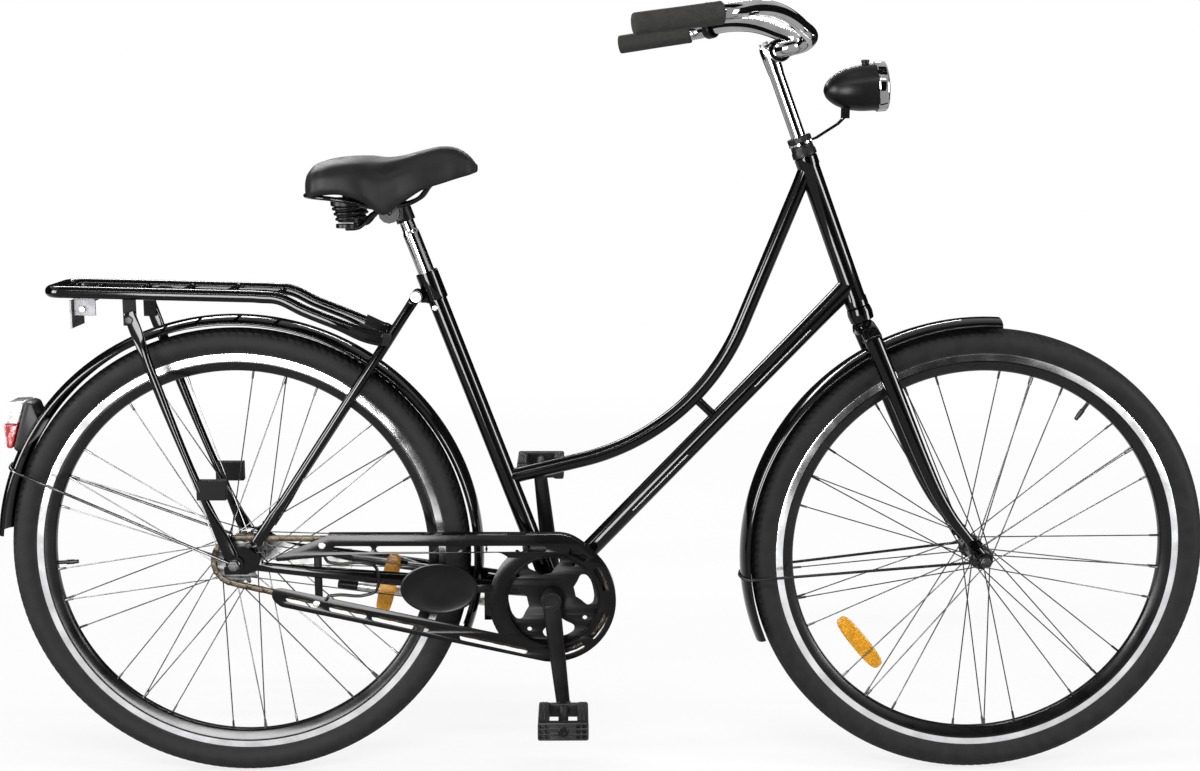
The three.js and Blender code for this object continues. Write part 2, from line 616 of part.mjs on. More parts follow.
const forkEye = (() => {
  const eye = rod(at(forkRake, -frontPlace.dropout - stack.dropout, 0), at(forkRake, -frontPlace.dropout,
    0), fork.eyeRadius);
  const tongue = ovalBar([
    { centre: at(forkRake, -dropMiddle, 0), across: fork.eyeRadius * 3 / 4,
      lateral: stack.dropout * 3 / 5 },
    { centre: at(bladeStations[9].x, -dropMiddle, bladeStations[9].z), across: blade.across * 3 / 5,
      lateral: stack.dropout * 4 / 5 }], 12);
  const trim = stack.dropout * 2;
  const hole = rod(at(forkRake, -dropMiddle - trim, 0), at(forkRake, -dropMiddle + trim, 0),
    axle.radius + gap);
  const slot = block(at(forkRake - axle.radius - gap, -dropMiddle - trim, -fork.eyeRadius - overrun),
    at(forkRake + axle.radius + gap, -dropMiddle + trim, 0));
  const inside = block(at(forkRake - 2 * fork.eyeRadius, -frontPlace.dropout, -2 * fork.eyeRadius),
    at(forkRake + 2 * fork.eyeRadius, 0, fork.eyeRadius + gap));
  const outside = block(at(forkRake - 2 * fork.eyeRadius, -frontPlace.dropout - stack.dropout - trim,
    -2 * fork.eyeRadius),
    at(forkRake + 2 * fork.eyeRadius, -frontPlace.dropout - stack.dropout, fork.eyeRadius + gap));
  return { add: join(eye, tongue), take: [hole, slot, inside, outside] };
})();
const crownShares = [
  [-1, 0], [-0.98, 0.35], [-0.72, 0.8], [-0.4, 1], [0.4, 1], [0.72, 0.8], [0.98, 0.35], [1, 0], [0.55, 0],
    [0.4, 0.25],
  [-0.4, 0.25], [-0.55, 0]];
const crownShape = new THREE.Shape(crownShares.map(([out, up]) => new THREE.Vector2(
  out * (fork.spread + blade.lateral), fork.crownLow + (fork.crownHigh - fork.crownLow) * up)));
const crownDepth = blade.across * 5 / 4;
const crownPiece = new THREE.ExtrudeGeometry(crownShape, { depth: crownDepth * 2, bevelEnabled: false })
  .rotateX(Math.PI / 2).rotateZ(Math.PI / 2).translate(-crownDepth, 0, 0);
const rightLeg = cut(join(rightBlade, forkEye.add), ...forkEye.take);
const steererTube = upright(ringProfile(steerer.outer, steerer.inner, fork.crownLow + gap,
  head.high + upperStack.cupHeight
  + upperStack.neckHeight + upperStack.washer + upperStack.nutHeight));
const nutLow = head.high + gap + upperStack.cupHeight + upperStack.neckHeight + upperStack.washer + gap;
const lockNut = upright(ringProfile(upperStack.nut, steerer.inner, nutLow, nutLow + upperStack.nutHeight));
const steererBore = rod(at(0, 0, fork.crownLow - overrun), at(0, 0, fork.crownHigh + overrun),
  steerer.inner, steerer.inner);
add(steering, 'fork', join(cut(crownPiece, steererBore), rightLeg, mirror(rightLeg), steererTube, lockNut),
  'glossBlack');

// Headset: the lower cup sits under the head tube, the upper stack turns with the fork
const around = (steerer.outer + gap) * facetAllowance;
add(steering, 'lower_headset', upright([
  [around, head.low - gap], [lowerCup.outer, head.low - gap], [lowerCup.rim,
    head.low - lowerCup.height / 2],
  [lowerCup.outer, fork.crownHigh + gap], [around, fork.crownHigh + gap], [around, head.low - gap]]),
    'glossBlack');
const stackLow = head.high + gap;
const neckLow = stackLow + upperStack.cupHeight;
const washerLow = neckLow + upperStack.neckHeight;
add(steering, 'upper_headset', upright([
  [around, stackLow], [upperStack.cup, stackLow], [upperStack.cup, neckLow - upperStack.washer],
    [upperStack.neck, neckLow],
  [upperStack.neck, washerLow - gap], [around, washerLow - gap], [around, stackLow]]), 'satinBlack');

// Stem: quill, clamp round the bar and its expander bolt
const clamp = { ahead: 14.5, rise: 838.6, outer: 17, half: 19 };
const barTube = { radius: 11.1 };
const stemBoss = { radius: 14, low: 812, high: 852, bolt: 7, boltHigh: 858 };
const clampRing = rod(at(clamp.ahead, -clamp.half, clamp.rise), at(clamp.ahead, clamp.half, clamp.rise),
  clamp.outer);
add(steering, 'stem', cut(
  join(rod(at(0, 0, quill.foot), at(0, 0, quill.top), quill.radius),
    rod(at(0, 0, stemBoss.low), at(-clamp.ahead / 4, 0, stemBoss.high), quill.radius + gap,
      stemBoss.radius - overrun),
    rod(at(-clamp.ahead / 4, 0, stemBoss.high - overrun), at(-clamp.ahead / 4, 0, stemBoss.boltHigh),
      stemBoss.bolt, stemBoss.bolt, 6),
    clampRing),
  rod(at(clamp.ahead, -2 * clamp.half, clamp.rise), at(clamp.ahead, 2 * clamp.half, clamp.rise),
    (barTube.radius + 2 * gap) * facetAllowance)), 'chrome');

// Handlebar: swept back and raised, shares of its sweep, half width and rise from the clamp
const bar = { sweep: 222, half: 303.5, rise: 48, straight: 118, grip: 15.5, gripEnd: 4 };
const barCentre = steerPoint(clamp.ahead, 0, clamp.rise);
const barShares = [
  [0, 0, 0], [0, 0.076, 0], [0.02, 0.1, 0.02], [0.135, 0.165, 0.16], [0.162, 0.215, 0.3], [0.072, 0.362,
    0.625], [-0.099, 0.56, 0.958],
  [-0.279, 0.741, 1], [-0.468, 0.906, 0.8125]];
const barPoint = ([back, out, up], side = 1) => at(
  barCentre.x + bar.sweep * back, side * bar.half * out, barCentre.z + bar.rise * up);
const gripStart = barPoint(barShares[barShares.length - 1]);
const gripEndPoint = barPoint([-1, 1, 0.448]);
const halfBar = smooth(barShares.slice(1).map((row) => barPoint(row)), 11);
const flip = (point) => at(point.x, -point.y, point.z);
const barStations = [...[...halfBar, gripEndPoint].reverse().map(flip), ...halfBar, gripEndPoint];
add(whole, 'handlebar', tube(barStations, barTube.radius, barSides), 'chrome');
const gripWay = gripEndPoint.clone().sub(gripStart).normalize();
const gripFrom = gripStart.clone().addScaledVector(gripWay,
  gripEndPoint.distanceTo(gripStart) - bar.straight + bar.gripEnd);
const gripTo = gripEndPoint.clone().addScaledVector(gripWay, bar.gripEnd);
const gripRight = cut(
  rod(flip(gripFrom), flip(gripTo), bar.grip, bar.grip * 24 / 25),
  rod(flip(gripStart), flip(gripEndPoint).addScaledVector(flip(gripWay), gap),
    (barTube.radius + gap) * facetAllowance, (barTube.radius + gap) * facetAllowance));
add(whole, 'right_grip', gripRight, 'grip');
add(whole, 'left_grip', mirror(gripRight), 'grip');

// Fenders
function fenderSection(radius, halfWidth) {
  const steps = 4;
  const outer = Array.from({ length: steps + 1 }, (unused, i) => {
    const turn = (i / steps * 2 - 1) * Math.PI / 2;
    const y = halfWidth * Math.sin(turn);
    return [radius - fender.crown * (1 - Math.cos(turn)), y];
  });
  const inner = outer.map(([r, y]) => [r - fender.sheet,
    y * (halfWidth - fender.sheet) / halfWidth]).reverse();
  return [...outer, ...inner];
}
const fenderArc = { rearTip: 174.5, rearEnd: -20, frontTop: 87, frontEnd: 202.4, narrow: 0.82,
  narrowFrom: 0.85 };
const rearFender = arcSweep((share) => {
  const squeeze = share < fenderArc.narrowFrom ? 1 : 1 - (1 - fenderArc.narrow) * Math.min(1,
    (share - fenderArc.narrowFrom) * 10);
  return fenderSection(fender.radius, fender.halfWidth * squeeze);
}, rearAxle, fenderArc.rearTip, fenderArc.rearEnd, 26);
add(whole, 'rear_fender', rearFender, 'glossBlack');
const frontFenderRadius = tyreRadius + 17;
const frontFender = arcSweep(() => fenderSection(frontFenderRadius, fender.halfWidth), frontAxle,
  fenderArc.frontTop, fenderArc.frontEnd, 16);
add(whole, 'front_fender', frontFender, 'glossBlack');

// Fender stays: one wire over the fender, its ends turned into eyes on the axle
const wire = { radius: 2.2, eye: 9 };
function fenderStay(centre, angle, radius, eyeAt) {
  const out = fender.halfWidth + wire.radius + gap;
  const onStay = (r, y) => at(centre.x + r * Math.cos(angle * degree), y,
    centre.z + r * Math.sin(angle * degree));
  const eyeMiddle = eyeAt + stack.eye / 2;
  const over = radius + wire.radius - gap;
  const half = [
    onStay(over, 0), onStay(over - fender.crown / 8, -out * 2 / 5), onStay(over - fender.crown * 2 / 5,
      -out * 4 / 5),
    onStay(radius - fender.crown, -out - wire.radius), onStay(radius - 2 * fender.crown,
      -out - 2 * wire.radius),
    onStay(wire.eye, -eyeMiddle)];
  const stations = [...half.slice(1).reverse(), ...half.map(flip)];
  const eyes = [-1, 1].map((side) => rod(at(centre.x, side * eyeAt, centre.z), at(centre.x,
    side * (eyeAt + stack.eye), centre.z), wire.eye));
  const hole = rod(at(centre.x, -eyeAt * 2, centre.z), at(centre.x, eyeAt * 2, centre.z),
    axle.radius + gap);
  const room = [-1, 1].flatMap((side) => [
    rod(at(centre.x, side * (eyeAt + stack.eye), centre.z), at(centre.x, side * eyeAt * 2, centre.z),
      wire.eye * 2),
    rod(at(centre.x, side * eyeAt / 2, centre.z), at(centre.x, side * eyeAt, centre.z), wire.eye * 2)]);
  return cut(join(tube(stations, wire.radius, wireSides), ...eyes), hole, ...room);
}
add(whole, 'rear_fender_stay', fenderStay(rearAxle, 157.7, fender.radius, rearPlace.eye), 'steel');
add(whole, 'front_fender_stay', fenderStay(frontAxle, 185.8, frontFenderRadius, frontPlace.eye),
  'darkSteel');

// Drive. The cranks, ring and chain share the bottom bracket's line; the chain has links of equal pitch
const drive = { ringThick: 3.4, sprocketThick: 3, roller: 4.3, tip: 2.9 };
const pitchRadius = (teeth) => chainPitch / (2 * Math.sin(Math.PI / teeth));
const ringRadius = pitchRadius(ringTeeth);
const sprocketRadius = pitchRadius(sprocketTeeth);
const centres = bracket.clone().sub(rearAxle);
const spacing = centres.length();
const slope = Math.atan2(centres.z, centres.x);
const tangentLean = Math.asin((ringRadius - sprocketRadius) / spacing);
const topAngle = slope + Math.PI / 2 + tangentLean;
const bottomAngle = slope - Math.PI / 2 - tangentLean;
const straightRun = spacing * Math.cos(tangentLean);
const ringWrap = (Math.PI + 2 * tangentLean) * ringRadius;
const sprocketWrap = (Math.PI - 2 * tangentLean) * sprocketRadius;
const chainLength = ringWrap + sprocketWrap + 2 * straightRun;
const linkCount = 2 * Math.round(chainLength / chainPitch / 2);

/** The chain's pitch line: over the ring, back along the bottom, round the sprocket and forward along the top. */
function chainPlace(distance) {
  const onArc = (centre, radius, angle) => ({
    point: at(centre.x + radius * Math.cos(angle), 0, centre.z + radius * Math.sin(angle)),
    out: at(Math.cos(angle), 0, Math.sin(angle)),
  });
  if (distance < ringWrap) return onArc(bracket, ringRadius, topAngle - distance / ringRadius);
  const bottom = distance - ringWrap;
  if (bottom < straightRun) {
    const from = onArc(bracket, ringRadius, bottomAngle);
    const to = onArc(rearAxle, sprocketRadius, bottomAngle);
    return { point: from.point.lerp(to.point, bottom / straightRun), out: from.out };
  }
  const behind = bottom - straightRun;
  if (behind < sprocketWrap) return onArc(rearAxle, sprocketRadius, bottomAngle - behind / sprocketRadius);
  const from = onArc(rearAxle, sprocketRadius, topAngle);
  const to = onArc(bracket, ringRadius, topAngle);
  return { point: from.point.lerp(to.point, (behind - sprocketWrap) / straightRun), out: to.out };
}

/** A toothed outline with its gaps where the chain's pins lie, starting at the pin's angle. */
function toothOutline(teeth, firstGap) {
  const radius = pitchRadius(teeth);
  const step = 2 * Math.PI / teeth;
  const half = step / 8;
  const points = Array.from({ length: teeth }, (unused, i) => {
    const middle = firstGap - i * step;
    return [
      [radius - drive.roller, middle],
      [radius + drive.tip, middle - step / 2 + half],
      [radius + drive.tip, middle - step / 2 - half]];
  });
  return points.flat().map(([r, angle]) => new THREE.Vector2(r * Math.cos(angle), r * Math.sin(angle)));
}

const ringFirst = topAngle;
const sprocketPins = (ringWrap + straightRun) / (chainLength / linkCount);
const sprocketFirst = bottomAngle - (Math.ceil(sprocketPins) - sprocketPins) * (chainLength / linkCount) / sprocketRadius;
const toothedPlate = (teeth, first, centre, thick, holes) => {
  const shape = new THREE.Shape(toothOutline(teeth, first));
  shape.holes = holes;
  const half = thick / 2;
  return plate(shape, -chainLine - half, -chainLine + half).translate(centre.x, centre.y, centre.z);
};

// The chain is a channel of side plates, one station to each pin, closed outside the tooth tips
const link = { tall: 4.3, outer: 4.4, plate: 2.3, back: 0.7 };
const channel = [
  [-link.tall, -link.outer], [link.tall, -link.outer], [link.tall, link.outer], [-link.tall, link.outer],
  [-link.tall, link.plate], [link.tall - link.back, link.plate], [link.tall - link.back, -link.plate],
  [-link.tall, -link.plate]];
const chainRings = Array.from({ length: linkCount }, (unused, i) => {
  const { point, out } = chainPlace(i * chainLength / linkCount);
  return channel.map(([up, y]) => at(point.x + out.x * up, y - chainLine, point.z + out.z * up));
});
add(whole, 'chain', skin(chainRings, null, true), 'chainSteel');

const spindle = { radius: 8.2, half: 70 };
const crank = { inner: 63, thick: 13, boss: 16, hub: 47.5, root: 13.5, tip: 10.5, eye: 12, ringBore: 16.5 };
const opening = { count: 4, angle: 12, inner: 38, outer: 66, hole: 3.5, holeAt: 62 };
const openingShares = [
  [0, -0.5], [0.25, -0.72], [0.75, -1], [0.93, -0.85], [1, -0.55], [1, 0], [1, 0.55], [0.93, 0.85], [0.75,
    1], [0.25, 0.72],
  [0, 0.5]];
const openingSpan = 25;
const ringHoles = Array.from({ length: opening.count }, (unused, i) => {
  const middle = opening.angle + i * 360 / opening.count;
  const big = new THREE.Path(openingShares.map(([out, turn]) => {
    const r = opening.inner + (opening.outer - opening.inner) * out;
    const angle = (middle + turn * openingSpan) * degree;
    return new THREE.Vector2(r * Math.cos(angle), r * Math.sin(angle));
  }));
  const between = (middle + 180 / opening.count) * degree;
  return [big, circlePath(opening.holeAt * Math.cos(between), opening.holeAt * Math.sin(between),
    opening.hole, 8)];
}).flat();
add(whole, 'chainring', toothedPlate(ringTeeth, ringFirst, bracket, drive.ringThick,
  [...ringHoles, circlePath(0, 0, (crank.ringBore + gap) * facetAllowance, roundSides)]), 'satinBlack');
add(whole, 'rear_sprocket', toothedPlate(sprocketTeeth, sprocketFirst, rearAxle, drive.sprocketThick,
  [circlePath(0, 0, (hubSizes.rear.end + gap) * facetAllowance, roundSides)]), 'steel');
add(whole, 'crank_axle', rod(at(bracket.x, -spindle.half, bracket.z), at(bracket.x, spindle.half,
  bracket.z), spindle.radius),
  'steel');

const pedal = { spindle: 6, reach: 98, barrel: 9, width: 92, start: 5, long: 38, tall: 14, block: 17,
  end: 11, inner: 8 };
function crankArm() {
  const stations = [[0, crank.root], [0.15, crank.root], [0.6, (crank.root + crank.tip) / 2], [1,
    crank.tip]];
  const middle = -crank.inner - crank.thick / 2;
  const outline = new THREE.Shape([
    ...stations.map(([down, half]) => new THREE.Vector2(-half, -crankLength * down)),
    ...stations.map(([down, half]) => new THREE.Vector2(half, -crankLength * down)).reverse()]);
  const arm = plate(outline, -crank.inner - crank.thick, -crank.inner);
  const boss = rod(at(0, middle - crank.thick / 2, 0), at(0, -crank.inner, 0), crank.boss);
  const eye = rod(at(0, middle - crank.thick / 2, -crankLength), at(0, middle + crank.thick / 2,
    -crankLength), crank.eye);
  const pin = rod(at(0, middle, -crankLength), at(0, -crank.inner - crank.thick - pedal.reach,
    -crankLength), pedal.spindle);
  return join(arm, boss, eye, pin);
}
const axleHole = rod(at(0, -spindle.half - gap, 0), at(0, 0, 0), spindle.radius + gap);
const cranks = new THREE.Group();
cranks.position.copy(bracket);
cranks.rotation.y = -crankAngle * degree;
whole.add(cranks);
const ringBoss = rod(at(0, -crank.inner - overrun, 0), at(0, -crank.hub + drive.ringThick * 2, 0),
  crank.ringBore);
add(cranks, 'right_crank', cut(join(crankArm(), ringBoss), axleHole), 'satinBlack');
add(cranks, 'left_crank', cut(crankArm().rotateX(Math.PI), axleHole.clone().rotateX(Math.PI)),
  'satinBlack');

// Pedals: two grip blocks between end plates, on a bored barrel
function pedalBody() {
  const near = -crank.inner - crank.thick - pedal.start;
  const far = near - pedal.width;
  const blocks = [-1, 1].map((side) => block(
    at(side < 0 ? -pedal.long : pedal.long - pedal.block, far, -pedal.tall),
    at(side < 0 ? pedal.block - pedal.long : pedal.long, near, pedal.tall)));
  const body = join(...blocks,
    block(at(-pedal.long, far, -pedal.tall), at(pedal.long, far + pedal.end, pedal.tall)),
    block(at(-pedal.long, near - pedal.inner, -pedal.tall * 3 / 4), at(pedal.long, near,
      pedal.tall * 3 / 4)),
    rod(at(0, far, 0), at(0, near, 0), pedal.barrel));
  return cut(body, rod(at(0, -crank.inner - crank.thick - pedal.reach - gap, 0), at(0, near + overrun, 0),
    (pedal.spindle + gap) * facetAllowance));
}
const pedalPlace = (side) => at(bracket.x + side * crankLength * Math.sin(crankAngle * degree), 0,
  bracket.z - side * crankLength * Math.cos(crankAngle * degree));
const rightPedal = pedalBody();
add(whole, 'right_pedal', rightPedal.clone().translate(...pedalPlace(1).toArray()), 'rubber');
add(whole, 'left_pedal', mirror(rightPedal).translate(...pedalPlace(-1).toArray()), 'rubber');

// Chain case: an open pressed plate with slots, a folded top edge, a rolled lip and a wire guard
const caseSheet = { out: 57, sheet: 1.6, flange: 19, lip: 2.5, lipOut: 60 };
const caseRing = { drop: 4, outer: 98, inner: 70 };
const caseCentre = at(bracket.x + 2, 0, bracket.z - caseRing.drop);
const caseTop = 101.5;
const caseTail = { x: 61, low: 60, high: 68, shoulder: 141, under: 167, underDrop: 31 };
const caseFoot = { x: 52, high: 320, low: 288, turnLow: 66 };
const onRing = (angle, radius = caseRing.outer) => [
  caseCentre.x + radius * Math.cos(angle * degree), caseCentre.z + radius * Math.sin(angle * degree)];
const arcPoints = (from, to, steps, radius) => Array.from({ length: steps + 1 },
  (unused, i) => onRing(from + (to - from) * i / steps, radius));
const topEdge = bracket.z + caseTop;
const caseSlot = { drop: 22, half: 5, edge: 9, fall: 100 };
const topFold = [[caseTail.shoulder, topEdge], [caseCentre.x + 12, topEdge], [caseCentre.x + 38,
  topEdge - 9],
  ...arcPoints(42, -60, 9)];
const caseOutline = shapeOf([
  [caseTail.x, bracket.z + caseTail.high], ...topFold, ...arcPoints(-72, -98, 2),
  [caseFoot.turnLow, caseFoot.low - 2], [caseFoot.x + 3, caseFoot.low + 8], [caseFoot.x, caseFoot.low + 18],
  [caseFoot.x + 5, caseFoot.high - 5], [caseFoot.x + 16, caseFoot.high - 4], ...arcPoints(212, 134, 7),
  [caseCentre.x - 80, topEdge - caseTail.underDrop + 3], [caseTail.under, topEdge - caseTail.underDrop],
  [caseTail.x, bracket.z + caseTail.low]]);

const caseHoles = [
  circlePath(caseCentre.x, caseCentre.z, caseRing.inner, 20),
  ...[[153, 203], [219, 301], [310, 338], [356, 380], [386, 442], [448, 471]].map(([from, to]) => slotPath(
    from, topEdge - caseSlot.drop, to, topEdge - caseSlot.drop)),
  ...[[79, 119], [145, 193], [210, 288], [345, 440]].map(([from, to]) => slotPath(
    from, lowerMiddle(from), to, lowerMiddle(to))),
  ...[[72, 52], [38, 12], [-14, -44], [-56, -82]].map(([from, to]) => arcSlot(from, to)),
].map((path) => plate(new THREE.Shape(path.getPoints()), -caseSheet.out - overrun,
  -caseSheet.out + caseSheet.sheet + overrun));

/** A long slot with pointed-round ends between two points. */
function slotPath(x0, z0, x1, z1) {
  const half = caseSlot.half;
  const corners = [[x0, z0 - half], [x1, z1 - half], [x1 + half, z1], [x1, z1 + half], [x0, z0 + half],
    [x0 - half, z0]];
  return new THREE.Path(corners.map(([x, z]) => new THREE.Vector2(x, z)));
}

/** The lower run's middle line, which follows the chain's slack side. */
function lowerMiddle(x) {
  const share = (x - caseFoot.x) / (bracket.x - caseFoot.x);
  return caseFoot.low + (caseFoot.high - caseFoot.low) / 2 - share * caseSlot.fall;
}

function arcSlot(from, to) {
  const [low, high] = [caseRing.outer - caseSlot.edge - 2 * caseSlot.half, caseRing.outer - caseSlot.edge];
  const points = [...arcPoints(to, from, 3, high), ...arcPoints(from, to, 3, low)];
  return new THREE.Path(points.map(([x, z]) => new THREE.Vector2(x, z)));
}

/** A band of even thickness along a row of [x, z] points, between two y values. */
function band(points, thick, yLow, yHigh) {
  const inner = points.map(([x, z], i) => {
    const before = points[Math.max(i - 1, 0)];
    const after = points[Math.min(i + 1, points.length - 1)];
    const way = new THREE.Vector2(after[0] - before[0], after[1] - before[1]).normalize();
    return [x + way.y * thick, z - way.x * thick];
  }).reverse();
  return plate(shapeOf([...points, ...inner]), yLow, yHigh);
}

const caseWire = { radius: 2.5, out: 58.5, root: 136, high: 366, upper: 356, lower: 305, end: 217,
  corner: 12, foot: 297 };
const wireLine = smooth([
  [caseWire.root, caseWire.high], [caseWire.root + caseWire.corner, caseWire.upper],
  [caseWire.end - 2 * caseWire.corner, caseWire.upper], [caseWire.end,
    (caseWire.upper + caseWire.lower) / 2],
  [caseWire.end - 2 * caseWire.corner, caseWire.lower], [caseWire.root + caseWire.corner, caseWire.lower],
  [caseWire.root, caseWire.foot]].map(([x, z]) => at(x, -caseWire.out, z)), 16);
const clip = { from: 119, to: 131, deep: 6, low: 296, high: 374 };
const stayRoom = ovalBar(chainstayShares.map(([run, spread, tall, thin]) => ({
  centre: at(bracket.x * (1 - run), -dropoutMiddle * spread, bracket.z + (rearAxle.z - bracket.z) * run),
  across: stayBar.tall * tall + gap * 2,
  lateral: stayBar.thin * thin + gap * 2,
})), barSides);
const lipRing = turned(ringProfile(caseRing.inner + caseSheet.lip, caseRing.inner, -caseSheet.lipOut,
  -caseSheet.out + caseSheet.sheet / 2),
  caseCentre, 20);
add(whole, 'chain_case', cut(join(
  cut(plate(caseOutline, -caseSheet.out, -caseSheet.out + caseSheet.sheet), ...caseHoles),
  band(topFold, caseSheet.sheet, -caseSheet.out, -caseSheet.out + caseSheet.flange),
  lipRing,
  tube(wireLine, caseWire.radius, wireSides),
  block(at(clip.from, -caseSheet.out + caseSheet.sheet / 2, clip.low), at(clip.to,
    -caseSheet.out + clip.deep, clip.high))),
  stayRoom), 'satinBlack');

// Coaster-brake arm, clipped to the left chainstay
const arm = { inner: 50, thick: 3, eye: 21, end: 150, drop: 36, half: 8, clipHalf: 10, clipHigh: 344,
  clipLow: 314 };
const armHole = hubSizes.rear.end + gap;
const armShape = new THREE.Shape([[0, -arm.eye], [arm.end, -arm.drop - arm.half], [arm.end,
  -arm.drop + arm.half],
  [arm.eye * 3 / 4, arm.eye * 3 / 4], [0, arm.eye], [-arm.eye * 3 / 4, arm.eye * 3 / 4], [-arm.eye, 0],
  [-arm.eye * 3 / 4, -arm.eye * 3 / 4]].map(([x, z]) => new THREE.Vector2(x, z + rearAxle.z)));
armShape.holes = [circlePath(0, rearAxle.z, armHole * facetAllowance, roundSides)];
add(whole, 'brake_arm', cut(join(
  plate(armShape, arm.inner, arm.inner + arm.thick),
  block(at(arm.end - arm.clipHalf, arm.inner, arm.clipLow), at(arm.end + arm.clipHalf,
    dropoutMiddle + arm.thick * 2, arm.clipHigh))),
  mirror(stayRoom)), 'steel');

// Rear rack: one loop of tube with five slats, its front ends flattened beside the seat stays
const rack = { half: 56, radius: 9, slat: 4, slatDrop: 2, rear: -263, corner: 24, height: 772, front: 46,
  lugHalf: 9.5 };
const railShares = [
  [1, -71, 0.82], [0.955, -65, 0.9], [0.88, -49, 1], [0.77, -27, 1], [0.69, -9, 1], [0.63, -7, 1]];
const railFront = 227;
const railPoints = railShares.map(([run, drop, out]) => at(
  rack.rear + (railFront - rack.rear) * run, -rack.half * out, rack.height + drop));
const loopHalf = [
  at(rack.rear + rack.corner * 3, -rack.half, rack.height), at(rack.rear + rack.corner, -rack.half,
    rack.height),
  at(rack.rear + rack.corner / 4, -rack.half + rack.corner / 4, rack.height), at(rack.rear,
    -rack.half + rack.corner, rack.height)];
const rackLine = [...railPoints, ...loopHalf, ...loopHalf.map(flip).reverse(),
  ...railPoints.map(flip).reverse()];
const slatPlaces = [-210.5, -141, -72, -2.4, 67];
// A flat facet of each slat faces up, so that a bag or crate has a face to lie on
const slats = slatPlaces.map((x) => rod(at(0, -rack.half, 0), at(0, rack.half, 0), rack.slat, rack.slat,
  wireSides)
  .rotateY(Math.PI / wireSides).translate(x, 0, rack.height - rack.slatDrop));
const lugAt = { x: -143, low: 722 };
const rackLugs = [-1, 1].map((side) => block(
  at(lugAt.x - rack.lugHalf, side * rack.half - 2, lugAt.low), at(lugAt.x + rack.lugHalf,
    side * rack.half + 2, rack.height)));
const tabShape = (extra) => shapeOf([[196, 726], [226, 712], [244 + extra, 706], [238, 690], [216, 692],
  [190, 708]]);
const tabs = [-1, 1].map((side) => plate(tabShape(0), side * rack.front - 2, side * rack.front + 2));
add(whole, 'rack', cut(join(tube(rackLine, rack.radius, barSides), ...slats, ...rackLugs, ...tabs),
  ...[-1, 1].map((side) => rod(at(earCentre.x, side * dropoutMiddle * 0.248, earCentre.z),
    at(stayFoot.x, side * dropoutMiddle * 1.08, stayFoot.z), seatStay.radius * 11 / 10))), 'glossBlack');

// Rack legs with a coat-guard clip on each
const leg = { top: -143, topRise: 742, radius: 7, clipRise: 473, clipLong: 22, clipHalf: 15 };
const legInner = rack.half + 2 + gap;
const legMiddle = rearPlace.leg + stack.leg / 2;
const legShares = [[0, 0, 1.3, 0.29], [0.1, 0, 1.3, 0.29], [0.15, 0.1, 1.1, 0.8], [0.3, 0.3, 1, 0.9], [0.8,
  0.9, 1, 0.8],
  [0.9, 1, 1.4, 0.29], [1, 1, 1.5, 0.29]];
const legLine = legShares.map(([run, spread, tall, thin]) => ({
  centre: at(leg.top * (1 - run) - 6 * Math.sin(Math.PI * run),
    -(legInner + 2 + (legMiddle - legInner - 2) * spread),
    leg.topRise + (rearAxle.z - leg.topRise) * run),
  across: leg.radius * tall,
  lateral: leg.radius * thin,
}));
function rackLeg() {
  const eye = rod(at(0, -rearPlace.leg - stack.leg, rearAxle.z), at(0, -rearPlace.leg, rearAxle.z),
    dropout.radius * 4 / 5);
  const clipPiece = block(at(-52, -legMiddle - leg.radius, leg.clipRise - leg.clipHalf),
    at(-52 + 2 * leg.clipLong, -legMiddle + leg.radius, leg.clipRise + leg.clipHalf));
  const far = rearPlace.leg + stack.leg;
  return cut(join(ovalBar(legLine, barSides), eye, clipPiece),
    rod(at(0, -far * 2, rearAxle.z), at(0, 0, rearAxle.z), axle.radius + gap, axle.radius + gap, barSides),
    block(at(-dropout.radius * 2, -rearPlace.leg, 0), at(dropout.radius * 2, 0,
      rearAxle.z + dropout.length)),
    block(at(-dropout.radius * 2, -far * 2, 0), at(dropout.radius * 2, -far,
      rearAxle.z + dropout.radius * 4 / 5)));
}
const rightRackLeg = rackLeg();
add(whole, 'right_rack_leg', rightRackLeg, 'glossBlack');
add(whole, 'left_rack_leg', mirror(rightRackLeg), 'glossBlack');
const tailPlate = { top: 757, low: 714, front: -205, rear: -240, half: 30, thick: 3, cheek: 18 };
const slatBottom = rack.height - rack.slatDrop - rack.slat;
add(whole, 'tail_reflector', join(
  block(at(tailPlate.rear, -tailPlate.half, tailPlate.low), at(tailPlate.rear + tailPlate.thick,
    tailPlate.half, tailPlate.top)),
  block(at(tailPlate.rear, -tailPlate.cheek, tailPlate.top - tailPlate.thick), at(tailPlate.front,
    tailPlate.cheek, tailPlate.top)),
  block(at(tailPlate.rear, -tailPlate.cheek, tailPlate.low + tailPlate.cheek),
    at(tailPlate.front, -tailPlate.cheek + tailPlate.thick, tailPlate.top)),
  block(at(slatPlaces[0] - 3, -tailPlate.cheek, tailPlate.top - 1), at(slatPlaces[0] + 3, tailPlate.cheek,
    slatBottom - gap))), 'steel');

// Tail lamp on the rear fender
const lamp = { half: 22, lensHalf: 24 };
const lampSeat = turned(ringProfile(fender.radius + gap, tyreRadius, -fender.halfWidth * 2,
  fender.halfWidth * 2), rearAxle, 96);
const tailShape = shapeOf([[-318.5, 600], [-307.5, 597], [-296, 566], [-312, 540], [-332, 520], [-341,
  527]]);
add(whole, 'tail_lamp_housing', cut(plate(tailShape, -lamp.half, lamp.half), lampSeat), 'satinBlack');
const lensShape = shapeOf([[-319, 600.3], [-341.5, 527], [-349.5, 529], [-352, 566], [-345, 599]]);
add(whole, 'tail_lamp_lens', plate(lensShape, -lamp.lensHalf, lamp.lensHalf).translate(-gap, 0, 0), 'red');

